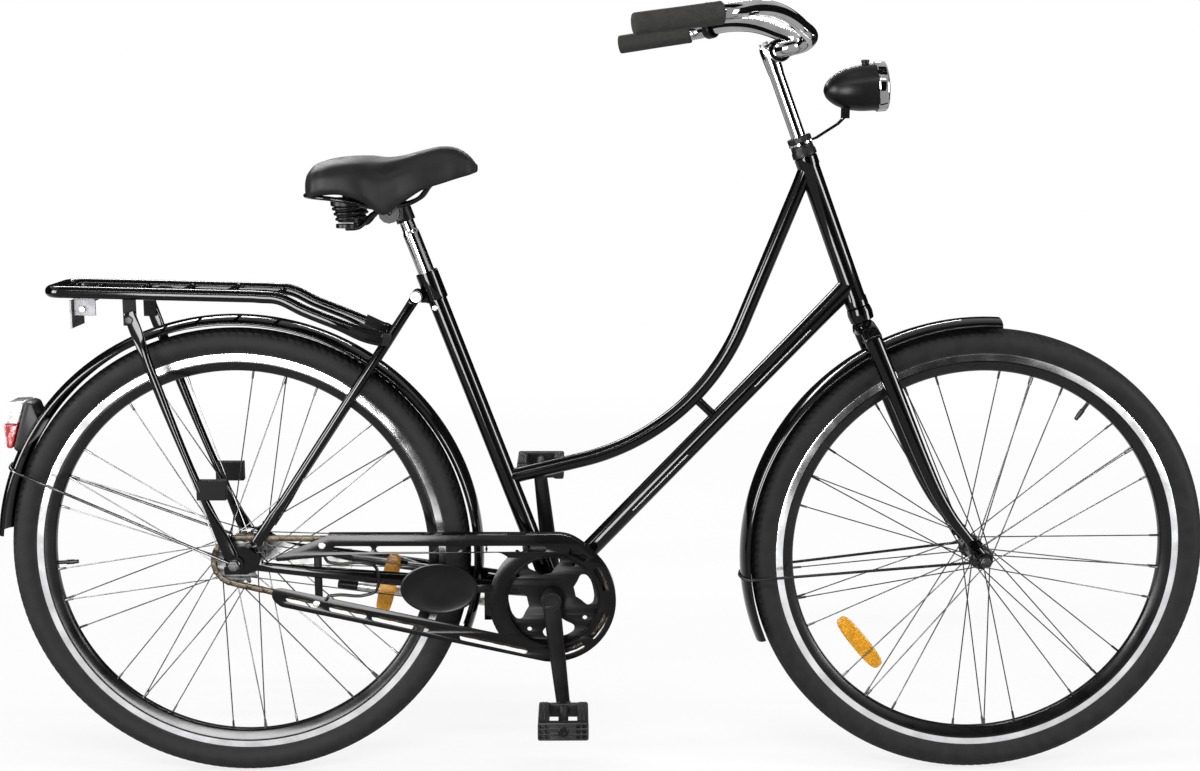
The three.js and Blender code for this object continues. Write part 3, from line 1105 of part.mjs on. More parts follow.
// Side stand: a bracket under the chainstays and a leg folded back along the left side
const stand = { x: 385, z: 262, right: 20, left: 30, high: 303, low: 252, pin: 4, pinEnd: 52, hub: 12,
  hubOut: 49, leg: 7, long: 245, lift: 6, spread: 18, front: 16, back: -8 };
const standPin = at(stand.x, stand.left - overrun, stand.z);
add(whole, 'kickstand_bracket', cut(join(
  block(at(stand.x + stand.back, -stand.right, stand.low), at(stand.x + stand.front, stand.left,
    stand.high)),
  rod(standPin, at(stand.x, stand.pinEnd, stand.z), stand.pin, stand.pin, barSides)),
stayRoom, mirror(stayRoom)), 'glossBlack');
const legRoot = at(stand.x, (stand.left + stand.hubOut) / 2, stand.z);
const legFoot = at(stand.x - stand.long * Math.cos(stand.lift * degree), legRoot.y + stand.spread,
  stand.z + stand.long * Math.sin(stand.lift * degree));
add(whole, 'kickstand_leg', cut(
  join(rod(at(stand.x, stand.left + gap, stand.z), at(stand.x, stand.hubOut, stand.z), stand.hub),
    rod(legRoot, legFoot, stand.leg, stand.leg, barSides)),
  rod(at(stand.x, 0, stand.z), at(stand.x, stand.pinEnd * 2, stand.z), stand.pin + gap, stand.pin + gap,
    barSides)), 'steel');

// Bell on the left end of the bar, with its thumb lever under the dome
const bell = { radius: 24, top: 43, rim: 19, seat: 10.5, base: 17, stem: 4, ring: 15.5, half: 6, lever: 3,
  reach: 36, slack: 1.3 };
const bellShare = 9 / 20;
const bellPlace = barPoint(barShares[barShares.length - 2]).lerp(gripStart, bellShare);
const bellWay = gripStart.clone().sub(barPoint(barShares[barShares.length - 2])).normalize();
const along = (point, way, length) => point.clone().addScaledVector(way, length);
const leverLow = bell.rim - gap - bell.lever;
const domeShares = [[0, 1], [0.5, 0.92], [0.84, 0.66], [1, 0.2], [1, 0]];
const dome = upright([...domeShares.map(([out, up]) => [bell.radius * out,
  bell.rim + (bell.top - bell.rim) * up]), [0, bell.rim]]);
add(whole, 'bell', cut(join(
  rod(along(bellPlace, bellWay, -bell.half), along(bellPlace, bellWay, bell.half), bell.ring),
  upright([[0, bell.seat], [bell.base, bell.seat], [bell.base, leverLow - gap], [0, leverLow - gap]])
    .translate(bellPlace.x, bellPlace.y, bellPlace.z),
  rod(along(bellPlace, at(0, 0, 1), bell.seat), along(bellPlace, at(0, 0, 1), bell.top - overrun),
    bell.stem, bell.stem, barSides),
  dome.translate(bellPlace.x, bellPlace.y, bellPlace.z)),
rod(along(bellPlace, bellWay, -bell.radius), along(bellPlace, bellWay, bell.radius),
  barTube.radius + bell.slack)), 'chrome');
const leverShape = shapeOf([[-bell.reach, -bell.stem], [-bell.stem, -2 * bell.stem], [2 * bell.stem,
  -bell.stem],
  [2 * bell.stem, bell.stem], [-bell.stem, 2 * bell.stem], [-bell.reach, bell.stem]]);
leverShape.holes = [circlePath(0, 0, (bell.stem + gap) * barAllowance, barSides)];
add(whole, 'bell_lever', new THREE.ExtrudeGeometry(leverShape, { depth: bell.lever, bevelEnabled: false })
  .translate(bellPlace.x, bellPlace.y, bellPlace.z + leverLow), 'steel');

// Head lamp on a strap from the headset
const lampEye = { ahead: 76.6, rise: 714.4, radius: 5, half: 7, pin: 2.4, cheek: 3 };
const strapLine = [[upperStack.neck - overrun, washerLow + upperStack.washer], [upperStack.nut + 6,
  washerLow + upperStack.washer],
  [lampEye.ahead * 4 / 5, lampEye.rise - 7], [lampEye.ahead, lampEye.rise]];
add(steering, 'lamp_bracket', cut(join(
  upright(ringProfile(upperStack.nut, around, washerLow, washerLow + upperStack.washer)),
  band(strapLine, upperStack.washer, -lampEye.half, lampEye.half),
  rod(at(lampEye.ahead, -lampEye.half, lampEye.rise), at(lampEye.ahead, lampEye.half, lampEye.rise),
    lampEye.radius, lampEye.radius, barSides)),
rod(at(lampEye.ahead, -2 * lampEye.half, lampEye.rise), at(lampEye.ahead, 2 * lampEye.half, lampEye.rise),
  (lampEye.pin + gap) * facetAllowance, (lampEye.pin + gap) * facetAllowance, barSides)), 'chrome');
const headLamp = { x: 890, z: 1069, pitch: 5, knob: 62, knobRadius: 6, knobTop: 41, seat: 84, front: 94,
  bezel: 37, bore: 31 };
const lampTurned = (profile) => new THREE.LatheGeometry(profile.map(([r, y]) => new THREE.Vector2(r, y)),
  roundSides)
  .rotateZ(-Math.PI / 2).rotateY(-headLamp.pitch * degree).translate(headLamp.x, 0, headLamp.z);
const lampWay = at(Math.cos(headLamp.pitch * degree), 0, Math.sin(headLamp.pitch * degree));
const knobFoot = along(at(headLamp.x, 0, headLamp.z), lampWay, headLamp.knob);
const lampPivot = steerPoint(lampEye.ahead, 0, lampEye.rise);
const lampEar = (side) => block(
  at(lampPivot.x - lampEye.radius, Math.min(side * (lampEye.half + gap),
    side * (lampEye.half + gap + lampEye.cheek)), lampPivot.z - lampEye.radius),
  at(lampPivot.x + lampEye.radius, Math.max(side * (lampEye.half + gap),
    side * (lampEye.half + gap + lampEye.cheek)), lampPivot.z + 3 * lampEye.radius));
add(whole, 'lamp_housing', join(
  lampTurned([[0, 0], [9, 3], [19, 12], [28, 28], [33.5, 50], [35, 76], [headLamp.bezel, 78],
    [headLamp.bezel, 92],
    [34, headLamp.front], [headLamp.bore, headLamp.front], [headLamp.bore, headLamp.seat], [0,
      headLamp.seat]]),
  rod(knobFoot, along(knobFoot, at(0, 0, 1), headLamp.knobTop), headLamp.knobRadius, headLamp.knobRadius,
    barSides),
  lampEar(-1), lampEar(1),
  rod(at(lampPivot.x, -lampEye.half - lampEye.cheek, lampPivot.z), at(lampPivot.x,
    lampEye.half + lampEye.cheek, lampPivot.z),
    lampEye.pin, lampEye.pin, barSides)), 'satinBlack');
add(whole, 'lamp_lens', lampTurned([[0, headLamp.seat + gap], [headLamp.bore - gap, headLamp.seat + gap],
  [headLamp.bore - gap, headLamp.front - 1], [headLamp.bore * 3 / 4, headLamp.front + 3], [0,
    headLamp.front + 5]]), 'clear');

// Seat post with its clamp band, and the saddle's tilting clamp, rails and coil springs
const saddleBolt = { x: 241, z: 888, radius: 4, half: 34, lug: 12, lugHalf: 15.5, band: 15, bandLow: 616,
  bandHigh: 641 };
const bandMiddle = seatPoint((saddleBolt.bandLow + saddleBolt.bandHigh) / 2);
add(whole, 'seat_post', join(
  rod(seatPoint(post.foot), seatPoint(post.shoulder), post.radius),
  rod(seatPoint(post.shoulder - overrun), seatPoint(post.shoulder + 4), post.radius, post.neck),
  rod(seatPoint(post.shoulder), seatPoint(post.top), post.neck),
  rod(seatPoint(saddleBolt.bandLow), seatPoint(saddleBolt.bandHigh), saddleBolt.band),
  rod(at(saddleBolt.x, -saddleBolt.lugHalf, saddleBolt.z), at(saddleBolt.x, saddleBolt.lugHalf,
    saddleBolt.z), saddleBolt.lug),
  block(at(saddleBolt.x, -saddleBolt.lugHalf, saddleBolt.z - saddleBolt.lug), at(bandMiddle.x,
    saddleBolt.lugHalf, saddleBolt.z + saddleBolt.lug * 4 / 5)),
  rod(at(saddleBolt.x, -saddleBolt.half, saddleBolt.z), at(saddleBolt.x, saddleBolt.half, saddleBolt.z),
    saddleBolt.radius, saddleBolt.radius, barSides)),
'chrome');
const rail = { radius: 3.5, cheek: 16, cheekOut: 30, disc: 15.5, discLow: 868, discHigh: 873.7 };
const springPlace = at(182, 60, 0);
const rightRail = [[182, 60, 867], [198, 46, 868], [217, 33, 886], [241, 24, 897], [268, 22, 901], [286,
  18, 910], [302, 13, 929],
  [312, 9, 934]].map(([x, y, z]) => at(x, -y, z));
const railLine = [...rightRail, at(317, 0, 934.7), ...rightRail.map(flip).reverse()];
const railSide = (side) => [
  rod(at(saddleBolt.x, side * (saddleBolt.lugHalf + gap), saddleBolt.z), at(saddleBolt.x,
    side * rail.cheekOut, saddleBolt.z), rail.cheek),
  rod(at(springPlace.x, side * springPlace.y, rail.discLow), at(springPlace.x, side * springPlace.y,
    rail.discHigh), rail.disc)];
const boltRoom = (saddleBolt.radius + gap) * facetAllowance;
add(whole, 'saddle_rails', cut(join(tube(railLine, rail.radius, wireSides), ...railSide(-1),
  ...railSide(1)),
  rod(at(saddleBolt.x, -2 * saddleBolt.half, saddleBolt.z), at(saddleBolt.x, 2 * saddleBolt.half,
    saddleBolt.z), boltRoom, boltRoom, barSides)), 'steel');

const coil = { wire: 2.6, top: 22, bottom: 15, low: 874, high: 902, curls: 3, steps: 8, sides: 5 };
function springWire() {
  const count = coil.curls * coil.steps;
  const low = coil.low + coil.wire;
  const high = coil.high - coil.wire;
  return Array.from({ length: count + 1 }, (unused, i) => {
    const share = i / count;
    const radius = coil.bottom + (coil.top - coil.bottom) * share - coil.wire;
    const turn = 2 * Math.PI * i / coil.steps;
    return at(springPlace.x + radius * Math.cos(turn), -springPlace.y + radius * Math.sin(turn),
      low + (high - low) * share);
  });
}
const coilPoints = springWire();
const rightSpring = tube(coilPoints, coil.wire, coil.sides);
const leastGap = Math.min(...coilPoints.slice(coil.steps).map((point,
  i) => point.distanceTo(coilPoints[i]) - 2 * coil.wire));
console.log(`least gap between spring curls ${leastGap.toFixed(2)} mm`);
add(whole, 'right_saddle_spring', rightSpring, 'steel');
add(whole, 'left_saddle_spring', mirror(rightSpring), 'steel');

// Saddle: a hollow cushion over its pan, from sections of [x, crown, lower edge, half width, pan's lower edge]
const cushion = { hollow: 42, wall: 9, pan: 5 };
const saddleSections = [[119, 935, 925, 40], [130, 955, 914, 85, 909], [150, 966, 917, 102, 905], [180,
  971, 918, 107, 901],
  [211, 972, 907, 100, 896], [238, 970, 888, 78, 892], [262, 973, 905, 55, 912], [290, 980, 922, 38, 926],
    [320, 986, 932, 30, 933],
  [345, 980, 940, 26], [362, 968, 945, 20], [371, 957, 948, 10]];
const cushionShares = [[0, 0], [0.5, 0.03], [0.8, 0.16], [0.96, 0.4], [1, 0.7], [0.97, 1]];
const roofOf = (top, edge) => Math.max(top - cushion.hollow, edge + (top - edge) / 4);
const cushionRing = ([x, top, edge, half]) => {
  const inner = Math.max(half - cushion.wall, half / 2);
  const roof = roofOf(top, edge);
  const right = [...cushionShares.map(([out, drop]) => [half * out, top - (top - edge) * drop]),
    [inner, edge + 1], [inner, roof - 3], [inner * 3 / 4, roof], [0, roof + 1]];
  return [...right, ...right.slice(1, -1).reverse().map(([y, z]) => [-y, z])].map(([y, z]) => at(x, y, z));
};
const ringOutline = (ring) => ring.map((point) => new THREE.Vector2(point.y, point.z));
const cushionRings = saddleSections.map(cushionRing);
add(whole, 'saddle_cushion', skin(cushionRings, ringOutline(cushionRings[0])), 'saddle');
const panRings = saddleSections.filter((row) => row.length > 4).map(([x, top, edge, half, low]) => {
  const outer = half - cushion.wall - gap * 2;
  const inner = outer - cushion.pan;
  const roof = roofOf(top, edge) - gap * 2;
  const high = [[0, roof + 1], [outer * 3 / 4 - 1, roof], [outer, roof - 4], [outer, low]];
  const under = [[inner, low], [inner, Math.max(roof - 4 - cushion.pan, low + 1)], [inner * 3 / 4,
    roof - cushion.pan], [0, roof + 1 - cushion.pan]];
  const right = [...high, ...under];
  return [...right, ...right.slice(1, -1).reverse().map(([y, z]) => [-y, z])].map(([y, z]) => at(x, y, z));
});
const springCup = { radius: 23, top: 925 };
add(whole, 'saddle_base', join(skin(panRings, ringOutline(panRings[0])),
  ...[-1, 1].map((side) => rod(at(springPlace.x, side * springPlace.y, coil.high + gap),
    at(springPlace.x, side * springPlace.y, springCup.top), springCup.radius))), 'saddle');

export default bike;
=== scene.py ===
# %% [markdown]
# # A Dutch city bike, dressed for the studio
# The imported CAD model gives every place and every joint. This script puts a finished surface over each
# of its pieces: enamel, chrome, rubber, leather, amber plastic. Lengths are in millimetres and measured
# from the ground under the rear axle, as they are on a frame builder's drawing, and turn to metres last.

# %% Load the frame
import json
import math
import bmesh
import bpy
import numpy as np
from mathutils import Matrix, Vector


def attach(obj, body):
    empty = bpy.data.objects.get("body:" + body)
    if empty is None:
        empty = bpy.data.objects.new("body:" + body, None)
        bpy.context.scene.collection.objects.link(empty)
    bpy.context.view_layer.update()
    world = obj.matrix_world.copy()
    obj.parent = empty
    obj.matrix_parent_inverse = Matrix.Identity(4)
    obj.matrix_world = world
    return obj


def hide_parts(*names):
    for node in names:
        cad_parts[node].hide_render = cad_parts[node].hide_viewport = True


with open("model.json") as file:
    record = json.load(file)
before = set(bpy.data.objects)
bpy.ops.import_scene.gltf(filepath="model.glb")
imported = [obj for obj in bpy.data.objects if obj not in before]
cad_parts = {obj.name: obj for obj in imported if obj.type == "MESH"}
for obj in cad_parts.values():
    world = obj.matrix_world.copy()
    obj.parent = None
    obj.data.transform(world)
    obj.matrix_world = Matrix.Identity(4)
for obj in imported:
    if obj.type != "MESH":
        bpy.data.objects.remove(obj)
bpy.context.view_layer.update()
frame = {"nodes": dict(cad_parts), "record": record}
bodies = frame["record"]["behaviour"]["bodies"]
body_of = {node: body for body, nodes in bodies.items() for node in nodes}

# %% [markdown]
# The driving sizes are the same as the CAD model's. A wheel of 28 inches and a half-inch chain fix most
# of the others, and two angles place the rider: the head tube's and the seat tube's.

# %% Driving sizes
WHEELBASE, TYRE_RADIUS, TYRE_WIDTH = 1151.0, 356.0, 44.0
BRACKET = np.array([482.0, 0.0, 298.0])
REAR, FRONT = np.array([0.0, 0.0, TYRE_RADIUS]), np.array([WHEELBASE, 0.0, TYRE_RADIUS])
HEAD_ANGLE, SEAT_ANGLE = math.radians(69.2), math.radians(69.25)
FORK_RAKE, CRANK_LENGTH, CRANK_ANGLE = 48.0, 170.0, math.radians(6.4)
FENDER_RADIUS, FRONT_FENDER_RADIUS, FENDER_HALF, FENDER_CROWN = 376.5, 373.0, 29.0, 13.0
SHIFT = np.array([-(WHEELBASE + TYRE_RADIUS - FENDER_RADIUS) / 2, 0.0, 0.0])
MM = 0.001
STEER_FOOT = np.array([WHEELBASE - FORK_RAKE * math.sin(HEAD_ANGLE), 0,
                       TYRE_RADIUS - FORK_RAKE * math.cos(HEAD_ANGLE)])
STEER_UP = np.array([-math.cos(HEAD_ANGLE), 0, math.sin(HEAD_ANGLE)])
STEER_AHEAD = np.array([math.sin(HEAD_ANGLE), 0, math.cos(HEAD_ANGLE)])
SEAT_UP = np.array([-math.cos(SEAT_ANGLE), 0, math.sin(SEAT_ANGLE)])
SIDE, UP = np.array([0.0, 1.0, 0.0]), np.array([0, 0, 1.0])
WHEELS, SIDES = (("front", FRONT), ("rear", REAR)), (("right", -1), ("left", 1))


def steer_point(ahead, side, rise):
    """A point of the steering assembly: ahead of its axis, to the side, and up along it."""
    return STEER_FOOT + STEER_AHEAD * ahead + SIDE * side + STEER_UP * rise


print("foot of the steering axis", STEER_FOOT.round(1), "bracket", BRACKET)

# %% [markdown]
# ## Small tools
# A surface here is a grid of points, rows along the piece and columns round it. One function turns any
# such grid into a mesh; the others only say where the points lie, in whole arrays.

# %% Grids into meshes
def to_row(points):
    """Millimetres from the rear axle's foot, into metres in the row's own frame."""
    return (np.asarray(points, float) + SHIFT) * MM


def unit(vectors):
    """Each vector over its own length."""
    return vectors / np.linalg.norm(vectors, axis=-1, keepdims=True)


def grid_faces(rows, columns, wrap_rows, wrap_columns):
    """Quads between neighbouring rows and columns, whose last row or column may meet the first."""
    i, j = np.meshgrid(np.arange(rows - (not wrap_rows)), np.arange(columns - (not wrap_columns)), indexing="ij")
    down, across = (i + 1) % rows, (j + 1) % columns
    corners = [i * columns + j, i * columns + across, down * columns + across, down * columns + j]
    return np.stack(corners, -1).reshape(-1, 4), np.stack([
        np.stack([j, i], -1), np.stack([j + 1, i], -1), np.stack([j + 1, i + 1], -1), np.stack([j, i + 1], -1),
    ], 2).reshape(-1, 4, 2)


def mesh_object(name, vertices, faces, uv=None, merge=1e-6, sharp=40.0):
    """A mesh object from arrays, its doubles merged, its faces outwards and its edges sharp past an angle."""
    mesh = bpy.data.meshes.new(name)
    mesh.from_pydata(np.asarray(vertices).tolist(), [], [list(face) for face in faces])
    if uv is not None:
        layer = mesh.uv_layers.new(name="UVMap")
        layer.data.foreach_set("uv", np.asarray(uv, float).reshape(-1))
    work = bmesh.new()
    work.from_mesh(mesh)
    bmesh.ops.remove_doubles(work, verts=work.verts, dist=merge)
    bmesh.ops.dissolve_degenerate(work, edges=work.edges, dist=1e-7)
    bmesh.ops.recalc_face_normals(work, faces=work.faces)
    work.to_mesh(mesh)
    work.free()
    mesh.polygons.foreach_set("use_smooth", np.ones(len(mesh.polygons), bool))
    mesh.set_sharp_from_angle(angle=math.radians(sharp))
    piece = bpy.data.objects.new(name, mesh)
    bpy.context.scene.collection.objects.link(piece)
    return piece


def grid_object(name, points, wrap_rows=False, sharp=60.0):
    """A mesh from a grid of points in millimetres. Its UV map holds the share round and the length along."""
    rows, columns = points.shape[:2]
    faces, places = grid_faces(rows, columns, wrap_rows, True)
    middle = points.mean(axis=1)
    lengths = np.concatenate([[0], np.cumsum(np.linalg.norm(np.diff(middle, axis=0), axis=1))]) * MM
    lengths = np.append(lengths, lengths[-1] + (lengths[-1] - lengths[-2]))
    uv = np.stack([places[..., 0] / columns, lengths[places[..., 1]]], -1)
    return mesh_object(name, to_row(points.reshape(-1, 3)), faces, uv, sharp=sharp)


def join_grids(name, grids):
    """Several grids of one size in one mesh: an array of shape (pieces, rows, columns, 3)."""
    count, rows, columns = grids.shape[:3]
    faces, _ = grid_faces(rows, columns, False, True)
    all_faces = (faces[None] + (np.arange(count) * rows * columns)[:, None, None]).reshape(-1, 4)
    return mesh_object(name, to_row(grids.reshape(-1, 3)), all_faces, merge=1e-7)


print("a ring of 4 rows and 6 columns has", len(grid_faces(4, 6, False, True)[0]), "faces")

# %% [markdown]
# A bent tube is a few points, one smooth curve through them and a ring of points square to it at each step.
# Blender's own curve bevel could do this, but here a ring may be oval and taper, and its ends close rounded.

# %% Curves and tubes
def smooth_rows(rows, count):
    """A cubic Hermite curve through the rows.

    Its slopes are finite differences over the length that the first three columns measure.
    """
    rows = np.asarray(rows, float)
    place = np.concatenate([[0], np.cumsum(np.linalg.norm(np.diff(rows[:, :3], axis=0), axis=1))])
    slope = np.gradient(rows, place, axis=0)
    where = np.linspace(0, place[-1], count)
    k = np.clip(np.searchsorted(place, where, side="right") - 1, 0, len(place) - 2)
    span = (place[k + 1] - place[k])[:, None]
    t = (where - place[k])[:, None] / span
    return ((1 + 2 * t) * (1 - t) ** 2 * rows[k] + t * (1 - t) ** 2 * span * slope[k]
            + t * t * (3 - 2 * t) * rows[k + 1] + t * t * (t - 1) * span * slope[k + 1])


def tube_grid(path, across, lateral=None, sides=32, hint=SIDE, edge=0.0, power=1.0):
    """Rings round a path: centre + across·c(t)·over + lateral·s(t)·side, with rounded caps that close in a point.

    side is the hint made square to the path, over is square to both, and c and s are cosine and sine, or with
    a power under 1 their squarer kin for a superellipse.
    """
    path = np.asarray(path, float)
    across = np.broadcast_to(np.asarray(across, float), len(path))
    lateral = across if lateral is None else np.broadcast_to(np.asarray(lateral, float), len(path))
    way = unit(np.gradient(path, axis=0))
    side = unit(hint - (way @ hint)[:, None] * way)
    turn = np.linspace(0, np.pi / 2, 4)[1:] if edge > 0 else np.array([])
    out, shrink = edge * np.sin(turn), edge * (1 - np.cos(turn))

    def cap(end, sign):
        """A quarter round at one end: out = e sin t, shrink = e (1 - cos t), then the point."""
        centres = path[end] + sign * way[end] * np.append(out, edge)[:, None]
        return centres, np.append(across[end] - shrink, 0), np.append(lateral[end] - shrink, 0)

    first, last = cap(0, -1), cap(-1, 1)
    centres = np.concatenate([first[0][::-1], path, last[0]])
    wide = np.concatenate([first[1][::-1], across, last[1]])
    deep = np.concatenate([first[2][::-1], lateral, last[2]])
    side = np.concatenate([np.repeat(side[:1], len(first[0]), 0), side, np.repeat(side[-1:], len(last[0]), 0)])
    way = np.concatenate([np.repeat(way[:1], len(first[0]), 0), way, np.repeat(way[-1:], len(last[0]), 0)])
    over = np.cross(way, side)
    t = np.arange(sides) * 2 * np.pi / sides
    c = np.sign(np.cos(t)) * np.abs(np.cos(t)) ** power
    s = np.sign(np.sin(t)) * np.abs(np.sin(t)) ** power
    return (centres[:, None] + wide[:, None, None] * c[None, :, None] * over[:, None]
            + deep[:, None, None] * s[None, :, None] * side[:, None])


def closed_ends(grid):
    """A tube's grid with its two ends drawn together to a point, so that it is shut."""
    first, last = grid[:1].mean(1, keepdims=True), grid[-1:].mean(1, keepdims=True)
    return np.concatenate([first + 0 * grid[:1], grid, last + 0 * grid[-1:]])


def straight(start, end, count=40):
    """Evenly spaced points: start + share·(end - start)."""
    return start + (end - start) * np.linspace(0, 1, count)[:, None]


print("a tube of 9 steps is a grid of", tube_grid(straight(REAR, FRONT, 9), 5.0, edge=1.0).shape)

# %% [markdown]
# Cups, nuts, hubs and posts come off a lathe, so each is one profile carried round an axis. A narrow bevel
# makes a sharp edge catch the light.

# %% Turned shapes and their edges
def turned_grid(profile, centre, axis=SIDE, steps=96):
    """Each [radius, along] of a profile goes round an axis: centre + radius·(u cos t + v sin t) + along·axis."""
    profile = np.asarray(profile, float)
    axis = unit(np.asarray(axis, float))
    spare = np.array([1.0, 0, 0]) if abs(axis[0]) < 0.8 else np.array([0, 0, 1.0])
    u = unit(spare - (spare @ axis) * axis)
    v = np.cross(axis, u)
    t = np.arange(steps) * 2 * np.pi / steps
    ring = np.cos(t)[:, None] * u + np.sin(t)[:, None] * v
    return np.asarray(centre, float) + profile[:, 0, None, None] * ring[None] + profile[:, 1, None, None] * axis


def turned(name, profile, centre, axis=SIDE, steps=96, closed=False, bevel=0.0, sharp=30.0):
    """A turned piece. A closed profile is a ring with a bore; an open one starts and ends on the axis."""
    piece = grid_object(name, turned_grid(profile, centre, axis, steps), wrap_rows=closed, sharp=sharp)
    return rounded(piece, bevel) if bevel else piece


def rounded(piece, width, angle=30.0):
    """A narrow bevel on the sharp edges, so that they catch the light as real edges do."""
    bevel = piece.modifiers.new("edge", "BEVEL")
    bevel.width, bevel.segments = width * MM, 2
    bevel.limit_method, bevel.angle_limit = "ANGLE", math.radians(angle)
    bevel.harden_normals = True
    return piece


print("a turned nut is a grid of", turned_grid([[5, 0], [9, 0], [9, 6], [5, 6]], REAR, steps=6).shape)

# %% [markdown]
# A sheet is cut flat like its real blank: a filled 2D curve finds the faces between an outline and its holes,
# which a grid can't do, and the curve's bevel rounds the cut edges. Then it is stood upright.

# %% Sheets
def plate(name, outline, holes, low, high, edge):
    """A flat sheet, its outline and holes given in X and Z, between two sideways places, its edges rounded."""
    curve = bpy.data.curves.new(name, "CURVE")
    curve.dimensions, curve.fill_mode = "2D", "BOTH"
    curve.extrude = ((high - low) / 2 - edge) * MM
    curve.bevel_depth, curve.bevel_resolution, curve.offset = edge * MM, 1, -edge * MM
    for ring in [outline, *holes]:
        ring = np.asarray(ring, float)
        spline = curve.splines.new("POLY")
        spline.points.add(len(ring) - 1)
        flat = np.zeros((len(ring), 4))
        flat[:, 0], flat[:, 1], flat[:, 3] = (ring[:, 0] + SHIFT[0]) * MM, ring[:, 1] * MM, 1
        spline.points.foreach_set("co", flat.reshape(-1))
        spline.use_cyclic_u = True
    flat_object = bpy.data.objects.new(name + "_curve", curve)
    bpy.context.scene.collection.objects.link(flat_object)
    depsgraph = bpy.context.evaluated_depsgraph_get()
    mesh = bpy.data.meshes.new_from_object(flat_object.evaluated_get(depsgraph))
    bpy.data.objects.remove(flat_object)
    flat = np.zeros(len(mesh.vertices) * 3)
    mesh.vertices.foreach_get("co", flat)
    flat = flat.reshape(-1, 3)
    upright = np.stack([flat[:, 0], (low + high) / 2 * MM - flat[:, 2], flat[:, 1]], -1)
    faces = [tuple(face.vertices) for face in mesh.polygons]
    return mesh_object(name, upright, faces)


def rounded_corners(points, radius, steps=5):
    """Each corner of a closed outline becomes a small parabola that starts and ends a radius away."""
    points = np.asarray(points, float)
    before, after = np.roll(points, 1, axis=0), np.roll(points, -1, axis=0)
    reach_in = np.minimum(radius, np.linalg.norm(before - points, axis=1, keepdims=True) * 0.45)
    reach_out = np.minimum(radius, np.linalg.norm(after - points, axis=1, keepdims=True) * 0.45)
    first, last = points + unit(before - points) * reach_in, points + unit(after - points) * reach_out
    t = np.linspace(0, 1, steps)[None, :, None]
    return ((1 - t) ** 2 * first[:, None] + 2 * t * (1 - t) * points[:, None] + t * t * last[:, None]).reshape(-1, 2)


def circle(x, z, radius, count=40):
    """A round outline: x + r cos t, z + r sin t."""
    t = np.arange(count) * 2 * np.pi / count
    return np.stack([x + radius * np.cos(t), z + radius * np.sin(t)], -1)


print("a square with round corners has", len(rounded_corners([[0, 0], [9, 0], [9, 9], [0, 9]], 2)), "points")

# %% [markdown]
# Some CAD pieces, such as a clip, already have the real shape: their mesh is copied, merged and shaded smooth.
# Every piece, copied or new, gets its finish, the body it rides on and the CAD nodes it stands for.

# %% From the CAD model, and onto the bike
def from_cad(name, node, sharp=50.0, bevel=0.0):
    """A copy of a CAD node's mesh with its doubles merged, so that round things shade round."""
    source = frame["nodes"][node]
    work = bmesh.new()
    work.from_mesh(source.data)
    bmesh.ops.remove_doubles(work, verts=work.verts, dist=1e-5)
    bmesh.ops.dissolve_limit(work, angle_limit=math.radians(1), verts=work.verts, edges=work.edges)
    mesh = bpy.data.meshes.new(name)
    work.to_mesh(mesh)
    work.free()
    mesh.transform(source.matrix_world)
    mesh.polygons.foreach_set("use_smooth", np.ones(len(mesh.polygons), bool))
    mesh.set_sharp_from_angle(angle=math.radians(sharp))
    piece = bpy.data.objects.new(name, mesh)
    bpy.context.scene.collection.objects.link(piece)
    return rounded(piece, bevel, angle=sharp) if bevel else piece


def settle(piece, finish, *nodes, extra=()):
    """The piece wears a finish, stands for its CAD nodes, which it hides, and rides on their body."""
    for one in [finish, *extra]:
        piece.data.materials.append(one)
    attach(piece, body_of[nodes[0]])
    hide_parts(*nodes)
    return piece


def paint_faces(piece, test, index=1):
    """Faces whose middle passes the test take another of the piece's finishes. The test gets millimetres."""
    mesh = piece.data
    middle = np.zeros(len(mesh.polygons) * 3)
    mesh.polygons.foreach_get("center", middle)
    chosen = test(middle.reshape(-1, 3) / MM - SHIFT)
    mesh.polygons.foreach_set("material_index", np.where(chosen, index, 0).astype(np.int32))
    mesh.update()
    return piece


# %% [markdown]
# ## Finishes
# Each finish is a Principled shader whose colour and roughness drift a little over the surface, with the
# fine relief of the real one: the orange peel of enamel, the faint haze of chrome, the bloom of rubber.
# Numbers that are the same all over the surface sit on the shader itself. Black enamel looks grey as soon as
# it mirrors too much, so its specular level is low and it shows only bright windows.

